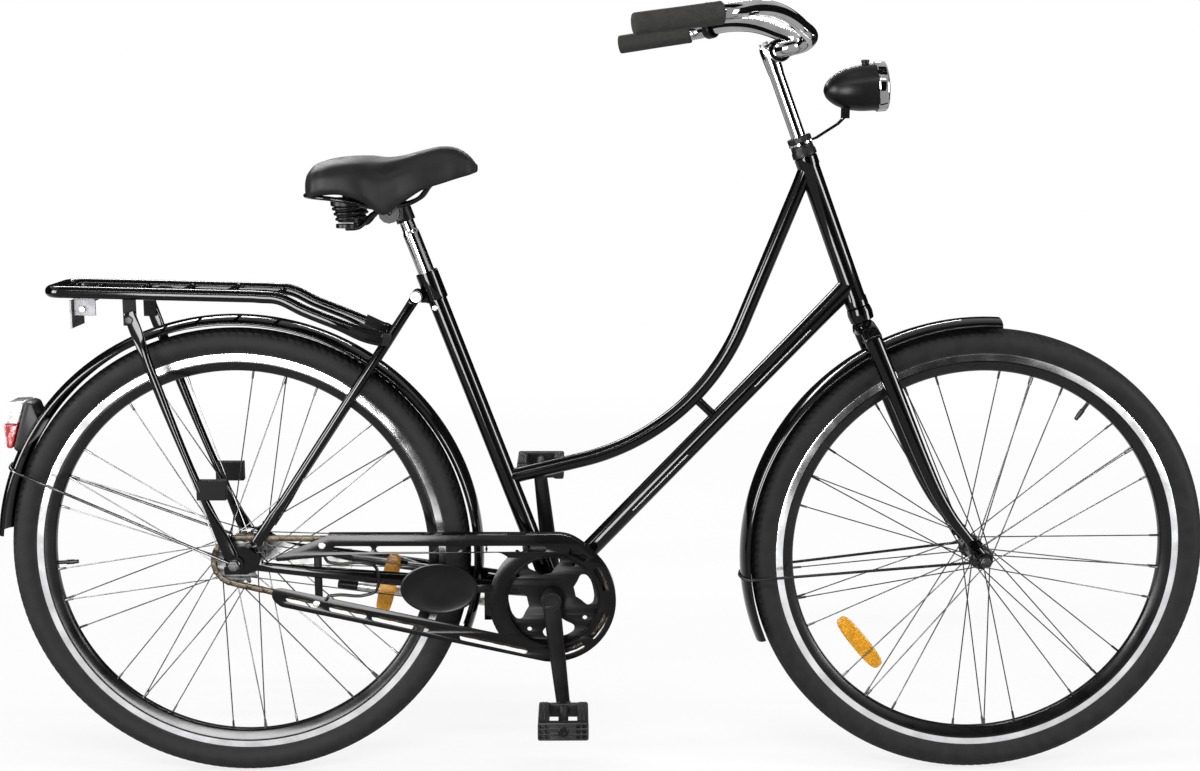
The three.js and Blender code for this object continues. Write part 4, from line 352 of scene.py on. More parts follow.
# %% A finish and its drift, and the blacks
def finish(name, dark, light, rough=(0.3, 0.4), metallic=0.0, drift=30.0, relief=(400.0, 0.02), coat=0.0,
           specular=0.5):
    """A material that drifts between two colours and two roughnesses by noise, with a fine noise relief.

    drift is the noise's scale; relief is the fine noise's scale and its bump's strength.
    """
    stuff = bpy.data.materials.new(name)
    stuff.use_nodes = True
    nodes, links = stuff.node_tree.nodes, stuff.node_tree.links
    shader = nodes["Principled BSDF"]
    shader.inputs["Metallic"].default_value = metallic
    shader.inputs["Coat Weight"].default_value = coat
    shader.inputs["Coat Roughness"].default_value = 0.05
    shader.inputs["Specular IOR Level"].default_value = specular
    place = nodes.new("ShaderNodeTexCoord")
    noise = nodes.new("ShaderNodeTexNoise")
    noise.inputs["Scale"].default_value = drift
    noise.inputs["Detail"].default_value = 6
    links.new(place.outputs["Object"], noise.inputs["Vector"])
    ramp = nodes.new("ShaderNodeValToRGB")
    ramp.color_ramp.elements[0].position, ramp.color_ramp.elements[1].position = 0.35, 0.65
    ramp.color_ramp.elements[0].color = (*dark, 1)
    ramp.color_ramp.elements[1].color = (*light, 1)
    links.new(noise.outputs["Fac"], ramp.inputs["Fac"])
    links.new(ramp.outputs["Color"], shader.inputs["Base Color"])
    spread = nodes.new("ShaderNodeMapRange")
    spread.inputs["From Min"].default_value, spread.inputs["From Max"].default_value = 0.3, 0.7
    spread.inputs["To Min"].default_value, spread.inputs["To Max"].default_value = rough
    links.new(noise.outputs["Fac"], spread.inputs["Value"])
    links.new(spread.outputs["Result"], shader.inputs["Roughness"])
    fine = nodes.new("ShaderNodeTexNoise")
    fine.name = "relief"
    fine.inputs["Scale"].default_value = relief[0]
    links.new(place.outputs["Object"], fine.inputs["Vector"])
    bump = nodes.new("ShaderNodeBump")
    bump.name = "bump"
    bump.inputs["Strength"].default_value = relief[1]
    bump.inputs["Distance"].default_value = 0.001
    links.new(fine.outputs["Fac"], bump.inputs["Height"])
    links.new(bump.outputs["Normal"], shader.inputs["Normal"])
    return stuff


GLOSS = dict(rough=(0.05, 0.11), drift=8, relief=(90, 0.004), specular=0.18)
SATIN = dict(rough=(0.3, 0.42), drift=20, relief=(900, 0.05), specular=0.1)
enamel = finish("gloss_enamel", (0.002, 0.002, 0.0022), (0.004, 0.004, 0.0043), **GLOSS)
satin = finish("satin_black", (0.0035, 0.0035, 0.0037), (0.008, 0.008, 0.008), **SATIN)
flat_black = finish("flat_black", (0.003, 0.003, 0.0032), (0.006, 0.006, 0.006), rough=(0.5, 0.62), drift=24,
                    relief=(900, 0.05), specular=0.05)
case_black = finish("case_black", (0.003, 0.003, 0.003), (0.006, 0.006, 0.006), rough=(0.14, 0.24), drift=14,
                    relief=(300, 0.008), specular=0.12)
rim_black = finish("rim_black", (0.004, 0.004, 0.0043), (0.008, 0.008, 0.008), rough=(0.16, 0.26), drift=20,
                   relief=(700, 0.02), specular=0.22)
rubber = finish("tyre_rubber", (0.012, 0.012, 0.0123), (0.021, 0.021, 0.021), rough=(0.62, 0.8), drift=45,
                relief=(900, 0.12), specular=0.09)
print("materials with the blacks", len(bpy.data.materials))

# %% [markdown]
# A metallic shader's colour is the tint of what it mirrors: chrome's is dark enough that its lines stay dark,
# zinc is rougher, and spokes and worn nuts are nearly black with age.

# %% The metals
chrome = finish("chrome_plate", (0.24, 0.24, 0.245), (0.34, 0.34, 0.345), rough=(0.03, 0.08), metallic=1.0, drift=18,
                relief=(300, 0.01))
zinc = finish("zinc_plate", (0.24, 0.24, 0.24), (0.4, 0.4, 0.39), rough=(0.25, 0.4), metallic=1.0, drift=60,
              relief=(1400, 0.05))
dark_steel = finish("blackened_steel", (0.008, 0.008, 0.009), (0.02, 0.02, 0.02), rough=(0.3, 0.45), metallic=0.5,
                    drift=60, relief=(1200, 0.05), specular=0.2)
spoke_steel = finish("spoke_steel", (0.03, 0.03, 0.031), (0.075, 0.075, 0.078), rough=(0.2, 0.3), metallic=1.0,
                     drift=40, relief=(1200, 0.03))
worn_zinc = finish("worn_zinc", (0.022, 0.022, 0.022), (0.05, 0.05, 0.049), rough=(0.3, 0.45), metallic=1.0, drift=60,
                   relief=(1400, 0.05))
hub_alloy = finish("hub_alloy", (0.13, 0.13, 0.13), (0.22, 0.22, 0.215), rough=(0.22, 0.34), metallic=1.0, drift=40,
                   relief=(1200, 0.04))
brake_track = finish("machined_rim", (0.6, 0.6, 0.61), (0.8, 0.8, 0.81), rough=(0.12, 0.2), metallic=1.0, drift=25,
                     relief=(1600, 0.05))
print("materials with the metals", len(bpy.data.materials))

# %% [markdown]
# ## Wheels
# A tyre is a torus with a flattened foot on the rim. Its tread is real relief: the height of each point
# falls where a slanted groove passes, and the grooves repeat round the wheel. The rim is one turned
# profile: black paint with a bright machined band where a rim brake would run.

# %% Tyres with their tread
TREAD_PITCH, TREAD_DEPTH, TREAD_HALF, WALL_BULGE = 13.0, 1.5, 17.0, 0.3
BEAD_RADIUS, BEAD_INNER, FOOT_ANGLE = 317.3, 311.5, 56  # the casing ends this many degrees under its middle
CASING_TALL = (TYRE_RADIUS - BEAD_RADIUS) / (1 + math.sin(math.radians(FOOT_ANGLE)))


def step_up(value, low, high):
    """0 below low, 1 above high, and a smooth cubic between."""
    t = np.clip((value - low) / (high - low), 0, 1)
    return t * t * (3 - 2 * t)


def tyre_grid(centre):
    """Casing: r = R - h + h sin t, y = w cos t, less the tread's grooves, closed by the bead inside the rim.

    share is the place across the tread, 0 in the middle and 1 at its edge, and phase the place in one block.
    """
    blocks = int(round(2 * math.pi * TYRE_RADIUS / TREAD_PITCH))
    round_count, t = blocks * 7, np.radians(np.linspace(180 + FOOT_ANGLE, -FOOT_ANGLE, 54))
    theta = np.arange(round_count) * 2 * np.pi / round_count
    y = TYRE_WIDTH / 2 * np.cos(t)
    r = TYRE_RADIUS - CASING_TALL + CASING_TALL * np.sin(t)
    share = np.abs(y) / TREAD_HALF
    on_tread = (np.sin(t) > 0) & (share < 1.12)
    lean = np.abs(y) / 11.0 + 0.25 * np.sin(share * 3)
    phase = (theta[:, None] / (2 * np.pi) * blocks + np.where(y < 0, 0.5, 0)[None] + lean[None]) % 1
    slant = 1 - step_up(np.abs(phase - 0.5), 0.1, 0.17)
    slant = slant * (step_up(share, 0.24, 0.32) * (1 - step_up(share, 1.0, 1.1)))[None]
    ribs = 2 - step_up(np.abs(share - 0.2), 0.035, 0.07) - step_up(np.abs(share - 0.62), 0.03, 0.06)
    depth = TREAD_DEPTH * np.maximum(slant, ribs[None]) * on_tread[None]
    wall = WALL_BULGE * np.cos(np.degrees(t) * 1.1) * ((np.sin(t) < 0.45) & (np.sin(t) > -0.5))
    r = r - depth * np.sin(t)
    y = y - depth * np.cos(t) + np.sign(np.cos(t)) * wall
    bead = np.array([[BEAD_RADIUS, -10.2], [BEAD_INNER, -8.2], [BEAD_INNER, 8.2], [BEAD_RADIUS, 10.2]])
    ring = np.stack([np.cos(theta), np.zeros_like(theta), np.sin(theta)], -1)
    casing = centre + r[..., None] * ring[:, None] + y[..., None] * SIDE
    foot = centre + bead[None, :, :1] * ring[:, None] + bead[None, :, 1:] * SIDE
    return np.concatenate([casing, foot[:, ::-1]], 1)


for name, centre in WHEELS:
    tyre = grid_object(f"{name}_tyre_casing", tyre_grid(centre), wrap_rows=True)
    settle(tyre, rubber, f"{name}_tyre")
    print(tyre.name, len(tyre.data.polygons), "faces")

# %% [markdown]
# A rim is rolled from one strip, so it is one closed profile turned round the axle. Its bright band is the
# same metal with the paint machined off, so the faces between two radii take another finish.

# %% Rims, black with a machined band
BAND_MIDDLE, BAND_HALF, BAND_FACE = 311.5, 5.3, 11.6
RIM_PROFILE = [
    [316.2, 12.4], [317.2, 12.0], [317.4, 11.2], [316.6, 10.4], [311.0, 10.0], [306.5, 8.6], [303.5, 4.0],
    [303.0, 0.0], [303.5, -4.0], [306.5, -8.6], [311.0, -10.0], [316.6, -10.4], [317.4, -11.2], [317.2, -12.0],
    [316.2, -12.4], [306.6, -12.2], [305.4, -12.5], [303.6, -12.3], [297.0, -10.0], [292.0, -7.4], [290.0, -4.8],
    [289.3, 0.0], [290.0, 4.8], [292.0, 7.4], [297.0, 10.0], [303.6, 12.3], [305.4, 12.5], [306.6, 12.2]]
for name, centre in WHEELS:
    rim = turned(f"{name}_rim_hoop", RIM_PROFILE, centre, steps=240, closed=True, sharp=24)
    settle(rim, rim_black, f"{name}_rim", extra=[brake_track])
    paint_faces(rim, lambda p, c=centre: (np.abs(p[:, 1]) > BAND_FACE)
                & (np.abs(np.hypot(p[:, 0] - c[0], p[:, 2] - c[2]) - BAND_MIDDLE) < BAND_HALF))
    print(rim.name, len(rim.data.polygons), "faces")

# %% [markdown]
# Thirty-six spokes, laced across three: each leaves its flange nearly at a tangent and crosses three
# others, so that the hub can drive the rim. All the spokes are one array: a start and an end for each.

# %% Spokes, nipples and hubs
SPOKES, CROSSINGS, RIM_INNER, NIPPLE_LONG, BEND_HALF = 36, 3, 289.6, 13, 2.2
HUBS = {"front": dict(flange=19, at=34, width=3.0, barrel=13, end=9, half=50, holes=15.5),
        "rear": dict(flange=33, at=29, width=3.5, barrel=25, end=15, half=57, holes=29)}


def rods(starts, ends, stations, sides=8):
    """Many straight rods at once: centre + radius·(u cos t + v sin t), for stations of [share along, radius]."""
    stations = np.asarray(stations, float)
    way = unit(ends - starts)
    u = unit(np.cross(way, SIDE + 0.31 * np.array([1.0, 0, 0])))
    v = np.cross(way, u)
    t = np.arange(sides) * 2 * np.pi / sides
    ring = np.cos(t)[None, :, None] * u[:, None] + np.sin(t)[None, :, None] * v[:, None]
    centres = starts[:, None] + (ends - starts)[:, None] * stations[None, :, :1]
    return centres[:, :, None] + stations[None, :, 1][..., None, None] * ring[:, None]


def spoke_ends(size, centre):
    """Where each spoke meets its flange and its rim hole.

    A spoke's hole is its number of steps round the flange; it lands three steps on, or back for every second.
    """
    i = np.arange(SPOKES)
    side, number = np.where(i % 2 == 0, -1, 1), i // 2
    lean = np.where(number % 2 == 0, 1, -1)
    step = 2 * np.pi / (SPOKES // 2)
    hole = (number + np.where(side > 0, 0.5, 0)) * step
    landing = hole + lean * CROSSINGS * step + lean * np.pi / SPOKES
    face = size["at"] + lean * size["width"] / 2
    start = centre + np.stack([size["holes"] * np.cos(hole), side * face, size["holes"] * np.sin(hole)], -1)
    end = centre + np.stack([RIM_INNER * np.cos(landing), side * 3.4 + lean * 0.6, RIM_INNER * np.sin(landing)], -1)
    return start, end


for name, centre in WHEELS:
    size = HUBS[name]
    node = f"{name}_hub_and_spokes"
    start, end = spoke_ends(size, centre)
    wires = join_grids(f"{name}_spokes", rods(start, end, [[0, 0], [0, 1.0], [1, 1.0], [1, 0]]))
    settle(wires, spoke_steel, node)
    heads = rods(end - unit(end - start) * NIPPLE_LONG, end, [[0, 0], [0, 1.5], [0.1, 1.8], [1, 1.9], [1, 0]])
    settle(join_grids(f"{name}_nipples", heads), spoke_steel, node)
    bends = rods(start - SIDE * BEND_HALF, start + SIDE * BEND_HALF,
                 [[0, 0], [0, 1.6], [0.2, 2.0], [0.8, 2.0], [1, 1.6], [1, 0]])
    settle(join_grids(f"{name}_spoke_heads", bends), spoke_steel, node)
    inside, outside = size["at"] - size["width"] / 2, size["at"] + size["width"] / 2
    half, end, barrel, flange = size["half"], size["end"], size["barrel"], size["flange"]
    outer_half = [[5.4, half], [end, half], [end + 1, half - 3], [end + 1, outside + 6], [barrel + 1, outside + 3],
                  [size["holes"] - 4, outside], [flange - 1.2, outside], [flange, outside - 0.8],
                  [flange, inside + 0.8], [flange - 1.2, inside], [barrel + 3, inside - 1], [barrel, inside - 5]]
    profile = outer_half + [[r, -a] for r, a in outer_half[::-1]]
    hub = turned(f"{name}_hub_shell", profile, centre, steps=64, closed=True, sharp=35)
    settle(hub, hub_alloy if name == "rear" else dark_steel, node)
    print(hub.name, 2 * half, "mm over its ends,", SPOKES, "spokes")

# %% [markdown]
# A spoke reflector is amber plastic with rows of small prisms inside. They are too many to build, so Voronoi
# cells take the place of the noise in the finish's relief.

# %% Reflectors and valves
def cell_relief(stuff, scale, strength):
    """A finish's relief becomes Voronoi cells: prisms in a lens, grain in a cover."""
    nodes, links = stuff.node_tree.nodes, stuff.node_tree.links
    cells = nodes.new("ShaderNodeTexVoronoi")
    cells.inputs["Scale"].default_value = scale
    links.new(nodes["Texture Coordinate"].outputs["Object"], cells.inputs["Vector"])
    links.new(cells.outputs["Distance"], nodes["bump"].inputs["Height"])
    nodes["bump"].inputs["Strength"].default_value = strength


amber = finish("amber_lens", (0.66, 0.27, 0.006), (0.86, 0.4, 0.012), rough=(0.2, 0.3), drift=300, relief=(900, 0.1),
               specular=0.25)
cell_relief(amber, 420, 0.5)
# Each one's wheel, its distance from the axle, its angle round the wheel, and its place sideways
REFLECTORS = {"front": (FRONT, 233, 219.4, -4), "rear": (REAR, 231, -13.5, 6)}


def lens_grid(centre, radius, angle, side, long=51.0, short=12.8, thick=4.0):
    """A bar with round ends: half sizes times cos t to the power 0.55 and sin t to the power 0.7.

    Towards its two faces, h = 1, the outline shrinks by 3 (1 - (1 - h^5)^0.5), so that their edges are round.
    """
    angle = math.radians(angle)
    out = np.array([math.cos(angle), 0, math.sin(angle)])
    along = np.array([-math.sin(angle), 0, math.cos(angle)])
    rise = np.linspace(-1, 1, 15)
    shrink = (1 - np.abs(rise) ** 5) ** 0.5
    shrink = np.where(np.abs(rise) < 0.6, 1, shrink)
    t = np.arange(64) * 2 * np.pi / 64
    across, run = np.sign(np.cos(t)) * np.abs(np.cos(t)) ** 0.55, np.sign(np.sin(t)) * np.abs(np.sin(t)) ** 0.7
    middle = centre + radius * out + side * SIDE
    return (middle + ((short - 3 * (1 - shrink[:, None])) * across[None])[..., None] * out
            + ((long - 3 * (1 - shrink[:, None])) * run[None])[..., None] * along
            + (rise * thick)[:, None, None] * SIDE + 0 * t[None, :, None])


for name, (centre, radius, angle, side) in REFLECTORS.items():
    lens = grid_object(f"{name}_spoke_reflector", closed_ends(lens_grid(centre, radius, angle, side)), sharp=50)
    settle(lens, amber, f"{name}_reflector")
VALVE_FOOT = 289
VALVE_PROFILE = [[0, 0], [3.0, 0], [3.0, 12], [3.9, 13], [3.9, 24], [3.2, 26], [3.2, 31], [0, 32]]
for name, centre, angle in (("front", FRONT, 55.3), ("rear", REAR, 183.0)):
    out = np.array([math.cos(math.radians(angle)), 0, math.sin(math.radians(angle))])
    valve = turned(f"{name}_valve", VALVE_PROFILE, centre + out * VALVE_FOOT, axis=-out, steps=16)
    valve.data.materials.append(dark_steel)
    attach(valve, f"{name}_wheel")
print("reflectors", [place[1] for place in REFLECTORS.values()], "mm from their axles")

# %% [markdown]
# ## Frame
# A step-through frame: the top tube leaves the head tube steeply, bends once and runs nearly level to the
# seat tube, so that a rider in a coat can step through. Tubes are swept rings; where one meets another
# the ring swells a little, as the brazing does. The down tube's thin pale lines are painted by hand on the real
# bike; here they follow the tube's own UV map.

# %% Down tube and its pinstripes
TUBE, TOP_TUBE = 14.3, 11.5


def swelling(count, start, end, reach, height):
    """Extra radius that fades away from each end over the reach, in shares of the length."""
    share = np.linspace(0, 1, count)
    return height * (np.exp(-share / reach) * start + np.exp(-(1 - share) / reach) * end)


down_top = steer_point(0, 0, 470)
down_path = straight(BRACKET, down_top, 90)
pinstriped = finish("pinstriped_enamel", (0.002, 0.002, 0.0022), (0.004, 0.004, 0.0043), **GLOSS)
nodes, links = pinstriped.node_tree.nodes, pinstriped.node_tree.links


def math_node(operation, first, second):
    """One Math node whose inputs are sockets or numbers."""
    node = nodes.new("ShaderNodeMath")
    node.operation = operation
    for socket, value in zip(node.inputs, (first, second)):
        if isinstance(value, (int, float)):
            socket.default_value = value
        else:
            links.new(value, socket)
    return node.outputs[0]


# The stretches in metres from the bracket, half a line's width and its place in shares of a turn; 3/4 is the
# side that the camera sees
STRIPE_RUNS, STRIPE_HALF, STRIPE_AT = ((0.181, 0.303), (0.4505, 0.572)), 0.0095, 0.717
tube_map = nodes.new("ShaderNodeTexCoord")
split = nodes.new("ShaderNodeSeparateXYZ")
links.new(tube_map.outputs["UV"], split.inputs[0])
across, length = split.outputs[0], split.outputs[1]
line = math_node("LESS_THAN", math_node("ABSOLUTE", math_node("SUBTRACT", across, STRIPE_AT), 0.0), STRIPE_HALF)
runs = [math_node("MULTIPLY", math_node("GREATER_THAN", length, low), math_node("LESS_THAN", length, high))
        for low, high in STRIPE_RUNS]
stripe = math_node("MULTIPLY", line, math_node("ADD", *runs))
tint = nodes.new("ShaderNodeMixRGB")
tint.inputs["Color2"].default_value = (0.72, 0.72, 0.7, 1)
links.new(stripe, tint.inputs["Fac"])
links.new(nodes["Color Ramp"].outputs["Color"], tint.inputs["Color1"])
links.new(tint.outputs["Color"], nodes["Principled BSDF"].inputs["Base Color"])
down = grid_object("down_tube_skin", tube_grid(down_path, TUBE + swelling(90, 0, 1, 0.035, 2.0)))
settle(down, pinstriped, "down_tube")
print("down tube", round(float(np.linalg.norm(down_top - BRACKET))), "mm long")

# %% [markdown]
# The top tube is bent cold round a former, so its path is a straight run, an arc of one radius, and a straight
# run that ends where it meets the seat tube. A small strut ties the bend to the down tube.

# %% Top tube and strut
TOP = dict(rise=664, run=261, bend=352.4, steep=math.radians(68.34), shallow=math.radians(13.57))
steep_way = np.array([-math.cos(TOP["steep"]), 0, -math.sin(TOP["steep"])])
shallow_way = np.array([-math.cos(TOP["shallow"]), 0, -math.sin(TOP["shallow"])])
top_start = steer_point(0, 0, TOP["rise"])
bend_start = top_start + steep_way * TOP["run"]
bend_centre = bend_start + np.array([steep_way[2], 0, -steep_way[0]]) * TOP["bend"]
bend_angles = np.linspace(TOP["steep"], TOP["shallow"], 60) - math.pi / 2
bend = bend_centre + TOP["bend"] * np.stack([np.cos(bend_angles), 0 * bend_angles, np.sin(bend_angles)], -1)


def crossing(point, way, other, other_way):
    """Where two lines in the middle plane meet: the share along the first is a ratio of two cross products."""
    across = way[0] * other_way[2] - way[2] * other_way[0]
    share = ((other[0] - point[0]) * other_way[2] - (other[2] - point[2]) * other_way[0]) / across
    return point + way * share


top_end = crossing(bend[-1], shallow_way, BRACKET, SEAT_UP)
top_path = np.concatenate([straight(top_start, bend_start, 40)[:-1], bend, straight(bend[-1], top_end, 30)[1:]])
top = grid_object("top_tube_skin", tube_grid(top_path, TOP_TUBE + swelling(len(top_path), 1, 1, 0.012, 2.2)))
settle(top, enamel, "top_tube")
strut_angle = math.radians(-43.5)
strut_top = bend_centre + TOP["bend"] * np.array([math.cos(strut_angle), 0, math.sin(strut_angle)])
strut_end = crossing(bend_centre, strut_top - bend_centre, BRACKET, down_top - BRACKET)
strut_path = straight(strut_top, strut_end, 24)
strut = grid_object("frame_strut", tube_grid(strut_path, 6 + swelling(24, 1, 1, 0.3, 2.0), sides=24))
settle(strut, enamel, "top_tube")
print("top tube from", top_start.round(), "to", top_end.round())

# %% [markdown]
# The seat tube's profile goes up the outside and back down the bore, so that the post slides in a real hole.
# Over its top sits the lug, whose ears a bolt pinches.

# %% Seat tube and lug
POST_BORE, BORE_FOOT, SEAT_TOP = 13.0, 366.0, 530
seat_rise, seat_half = np.linspace(0, SEAT_TOP, 60), TUBE + swelling(60, 1, 0, 0.03, 1.6)
seat_profile = np.concatenate([[[0, 0]], np.stack([seat_half, seat_rise], -1),
                               [[POST_BORE, SEAT_TOP], [POST_BORE, BORE_FOOT], [0, BORE_FOOT]]])
seat = turned("seat_tube_skin", seat_profile, BRACKET, axis=SEAT_UP, steps=48)
settle(seat, enamel, "seat_tube")
lug_profile = [[15.4, 488.7], [16.4, 488.7], [17.3, 490.5], [17.3, 532], [16.4, 533.2], [POST_BORE + 0.1, 533.2],
               [POST_BORE + 0.1, 529], [15.4, 529]]
settle(turned("seat_lug", lug_profile, BRACKET, axis=SEAT_UP, steps=64, closed=True), enamel, "seat_tube")
plug_at = np.array([306.2, 0, 743.6]) - SIDE * 13.6
settle(turned("seat_tube_plug", [[0, 0], [4.2, 0], [4.2, 1.6], [3.2, 2.4], [0, 2.8]], plug_at, axis=-SIDE, steps=28),
       zinc, "seat_tube")
settle(from_cad("seat_lug_ears", "seat_tube", 50), enamel, "seat_tube")
settle(from_cad("seat_pinch_bolt", "seat_bolt", 40, 0.5), zinc, "seat_bolt")
print("seat tube", SEAT_TOP, "mm, with a bore of", 2 * POST_BORE)

# %% [markdown]
# The bracket shell and the head tube are short turned pieces with thicker ends, where the bearings press in.

# %% Bracket shell and head tube
shell_half = [[0, 35], [9, 35], [14.5, 34.6], [19, 34.6], [20.2, 33.4], [20.4, 26], [20.0, 20]]
shell = turned("bottom_bracket", shell_half + [[r, -a] for r, a in shell_half[::-1]], BRACKET, steps=64)
settle(shell, enamel, "bottom_bracket_shell")
head_profile = [[14.2, 433.8], [15.9, 433.8], [17.4, 435], [17.4, 447], [16.0, 450], [16.0, 660], [17.4, 663],
                [17.4, 676], [15.9, 677], [14.2, 677]]
settle(turned("head_tube_skin", head_profile, STEER_FOOT, axis=STEER_UP, steps=64, closed=True), enamel, "head_tube")
print("head tube from", head_profile[0][1], "to", head_profile[-1][1], "mm up the steering axis")

# %% [markdown]
# A stay is a slim tube pressed flat at its end. The CAD model has all of that, so its mesh is kept.

# %% Stays
for node in ("right_chainstay", "left_chainstay", "right_seat_stay", "left_seat_stay"):
    settle(from_cad(f"{node}_skin", node, 50), enamel, node)
print("four stays on", body_of["right_chainstay"])

# %% [markdown]
# The fork's blades are oval and taper as they rake forward. Each is a swept ellipse whose half sizes shrink
# along the path; its rows are shares of the height, the rake and the two half sizes at the top.

# %% Fork blades
BLADE_ROWS = np.array([
    [1, 0, 0.97, 1.25, 1.1], [0.82, 0.08, 0.9, 1.15, 1.05], [0.62, 0.15, 0.93, 1.05, 0.98],
    [0.45, 0.22, 0.96, 0.95, 0.9], [0.32, 0.31, 0.98, 0.86, 0.82], [0.2, 0.5, 0.99, 0.78, 0.72],
    [0.12, 0.71, 1, 0.7, 0.62], [0.06, 0.88, 1, 0.62, 0.45]])
BLADE_TOP, BLADE_SPREAD, BLADE_FOOT, BLADE_ACROSS, BLADE_LATERAL = 392.0, 42.0, 52.8, 11.0, 9.5
spread = BLADE_SPREAD + (BLADE_FOOT - BLADE_SPREAD) * np.clip((1 - BLADE_ROWS[:, 0]) * 1.25, 0, 1)
blade_rows = smooth_rows(np.column_stack([FORK_RAKE * BLADE_ROWS[:, 1], spread, BLADE_TOP * BLADE_ROWS[:, 0],
                                          BLADE_ACROSS * BLADE_ROWS[:, 3], BLADE_LATERAL * BLADE_ROWS[:, 4]]), 70)
for name, side in SIDES:
    path = (STEER_FOOT + blade_rows[:, :1] * STEER_AHEAD + side * blade_rows[:, 1:2] * SIDE
            + blade_rows[:, 2:3] * STEER_UP)
    blade = grid_object(f"{name}_fork_blade", tube_grid(path, blade_rows[:, 3] + 0.1, blade_rows[:, 4] + 0.1))
    settle(blade, enamel, "fork")
print("fork blades", BLADE_TOP, "mm tall, raked", FORK_RAKE)

# %% [markdown]
# The crown is a forging with squarer corners than a tube, so it is a superellipse swept from side to side over
# the tyre. The dropouts are cut free from the CAD fork.

# %% Crown and dropouts
def keep_faces(piece, test):
    """Only the faces whose middle passes the test stay. The test gets millimetres."""
    mesh = piece.data
    middle = np.zeros(len(mesh.polygons) * 3)
    mesh.polygons.foreach_get("center", middle)
    lost = np.nonzero(~test(middle.reshape(-1, 3) / MM - SHIFT))[0]
    work = bmesh.new()
    work.from_mesh(mesh)
    work.faces.ensure_lookup_table()
    bmesh.ops.delete(work, geom=[work.faces[i] for i in lost], context="FACES")
    work.to_mesh(mesh)
    work.free()
    return piece


DROPOUT_REACH, CROWN_FOOT, CROWN_TALL, CROWN_HALF = 34, 384, 27, 51.0
ends = keep_faces(from_cad("fork_dropouts", "fork", 45),
                  lambda p: np.linalg.norm((p - FRONT)[:, [0, 2]], axis=1) < DROPOUT_REACH)
settle(ends, enamel, "fork")
crown_y = np.sin(np.linspace(-1, 1, 41) * math.pi / 2) * CROWN_HALF
share = np.abs(crown_y) / (CROWN_HALF + 0.5)
crown_high = CROWN_FOOT + CROWN_TALL * np.interp(share, [0, 0.4, 0.72, 0.98, 1.0], [1, 1, 0.8, 0.35, 0.2])
crown_low = CROWN_FOOT + CROWN_TALL * np.interp(share, [0, 0.4, 0.55, 1.0], [0.25, 0.25, 0.0, 0.0])
crown_path = STEER_FOOT + SIDE * crown_y[:, None] + STEER_UP * ((crown_high + crown_low) / 2)[:, None]
crown_grid = tube_grid(crown_path, (crown_high - crown_low) / 2, 13.6, sides=48, hint=STEER_AHEAD, edge=1.0,
                       power=0.6)
crown = grid_object("fork_crown", crown_grid, sharp=50)
settle(crown, enamel, "fork")
print("crown", 2 * CROWN_HALF, "mm wide")

# %% [markdown]
# The headset is turned cups and a lock nut, which is turned in twelve steps, so that a spanner could hold it.
# The lamp's strap hangs from it.

# %% Headset
settle(turned("lower_cup", [[13.2, 411.4], [17.6, 411.4], [18.2, 412.2], [19.2, 422], [19.2, 424.5], [18.2, 430],
                            [17.8, 432.6], [13.2, 432.9]],
              STEER_FOOT, axis=STEER_UP, steps=64, closed=True), enamel, "lower_headset")
settle(turned("upper_cup", [[13.3, 677.8], [18.0, 677.8], [18.6, 678.6], [18.6, 685.5], [17.0, 688.8], [17.0, 695.4],
                            [16.4, 696.2], [13.3, 696.2]],
              STEER_FOOT, axis=STEER_UP, steps=64, closed=True), satin, "upper_headset")
nut = turned("lock_nut", [[12.2, 699.9], [17.6, 699.9], [18.4, 700.8], [18.4, 707.6], [17.6, 708.6], [12.2, 708.6]],
             STEER_FOOT, axis=STEER_UP, steps=12, closed=True, bevel=0.5)
settle(nut, satin, "fork")
settle(from_cad("lamp_strap", "lamp_bracket", 40, 0.6), chrome, "lamp_bracket")
print("headset", nut.name, "on the steering axis")

# %% [markdown]
# ## Bar, bell and lamp
# The quill stem slides in the steerer and its clamp holds the bar, one chromed tube that sweeps up, forward and
# far back. Its path is a table of shares of its sweep, half width and rise, mirrored for the other side.

# %% Stem and bar
quill_profile = [[0, 640], [11.1, 641], [11.1, 806], [11.9, 812], [12.6, 826], [13.2, 845], [12.2, 850], [9.5, 852.4],
                 [0, 853]]
settle(turned("quill", quill_profile, STEER_FOOT, axis=STEER_UP, steps=64), chrome, "stem")
settle(turned("expander_bolt", [[0, 851], [7, 851], [7, 857.4], [6.2, 858], [4.6, 858], [4.4, 854], [0, 854]],
              steer_point(-3.6, 0, 0), axis=STEER_UP, steps=6, bevel=0.3), zinc, "stem")
clamp_at = steer_point(14.5, 0, 838.6)
settle(turned("stem_clamp", [[11.6, 19], [16, 19], [17, 18], [17, -18], [16, -19], [11.6, -19]], clamp_at, steps=64,
              closed=True), chrome, "stem")
settle(turned("clamp_bolt", [[0, 0], [4.6, 0], [4.6, 5], [3.6, 6], [0, 6]], steer_point(30, 0, 838.6) - SIDE * 3,
              axis=STEER_UP, steps=24), zinc, "stem")
BAR_SWEEP, BAR_HALF, BAR_RISE, BAR_RADIUS = 222.0, 303.5, 48.0, 11.1
BAR_SHARES = np.array([[0, 0, 0], [0, 0.076, 0], [0.02, 0.1, 0.02], [0.135, 0.165, 0.16], [0.162, 0.215, 0.3],
                       [0.072, 0.362, 0.625], [-0.099, 0.56, 0.958], [-0.279, 0.741, 1], [-0.468, 0.906, 0.8125],
                       [-1, 1, 0.448]])
bar_points = clamp_at + BAR_SHARES * np.array([BAR_SWEEP, BAR_HALF, BAR_RISE])
mirror_y = np.array([1.0, -1.0, 1.0])
grip_run = bar_points[-2] + (bar_points[-1] - bar_points[-2]) * np.linspace(0.2, 1, 5)[:, None]
bar_curve = smooth_rows(np.concatenate([bar_points[1:-1], grip_run]), 150)
bar_path = np.concatenate([bar_curve[::-1] * mirror_y, bar_curve])
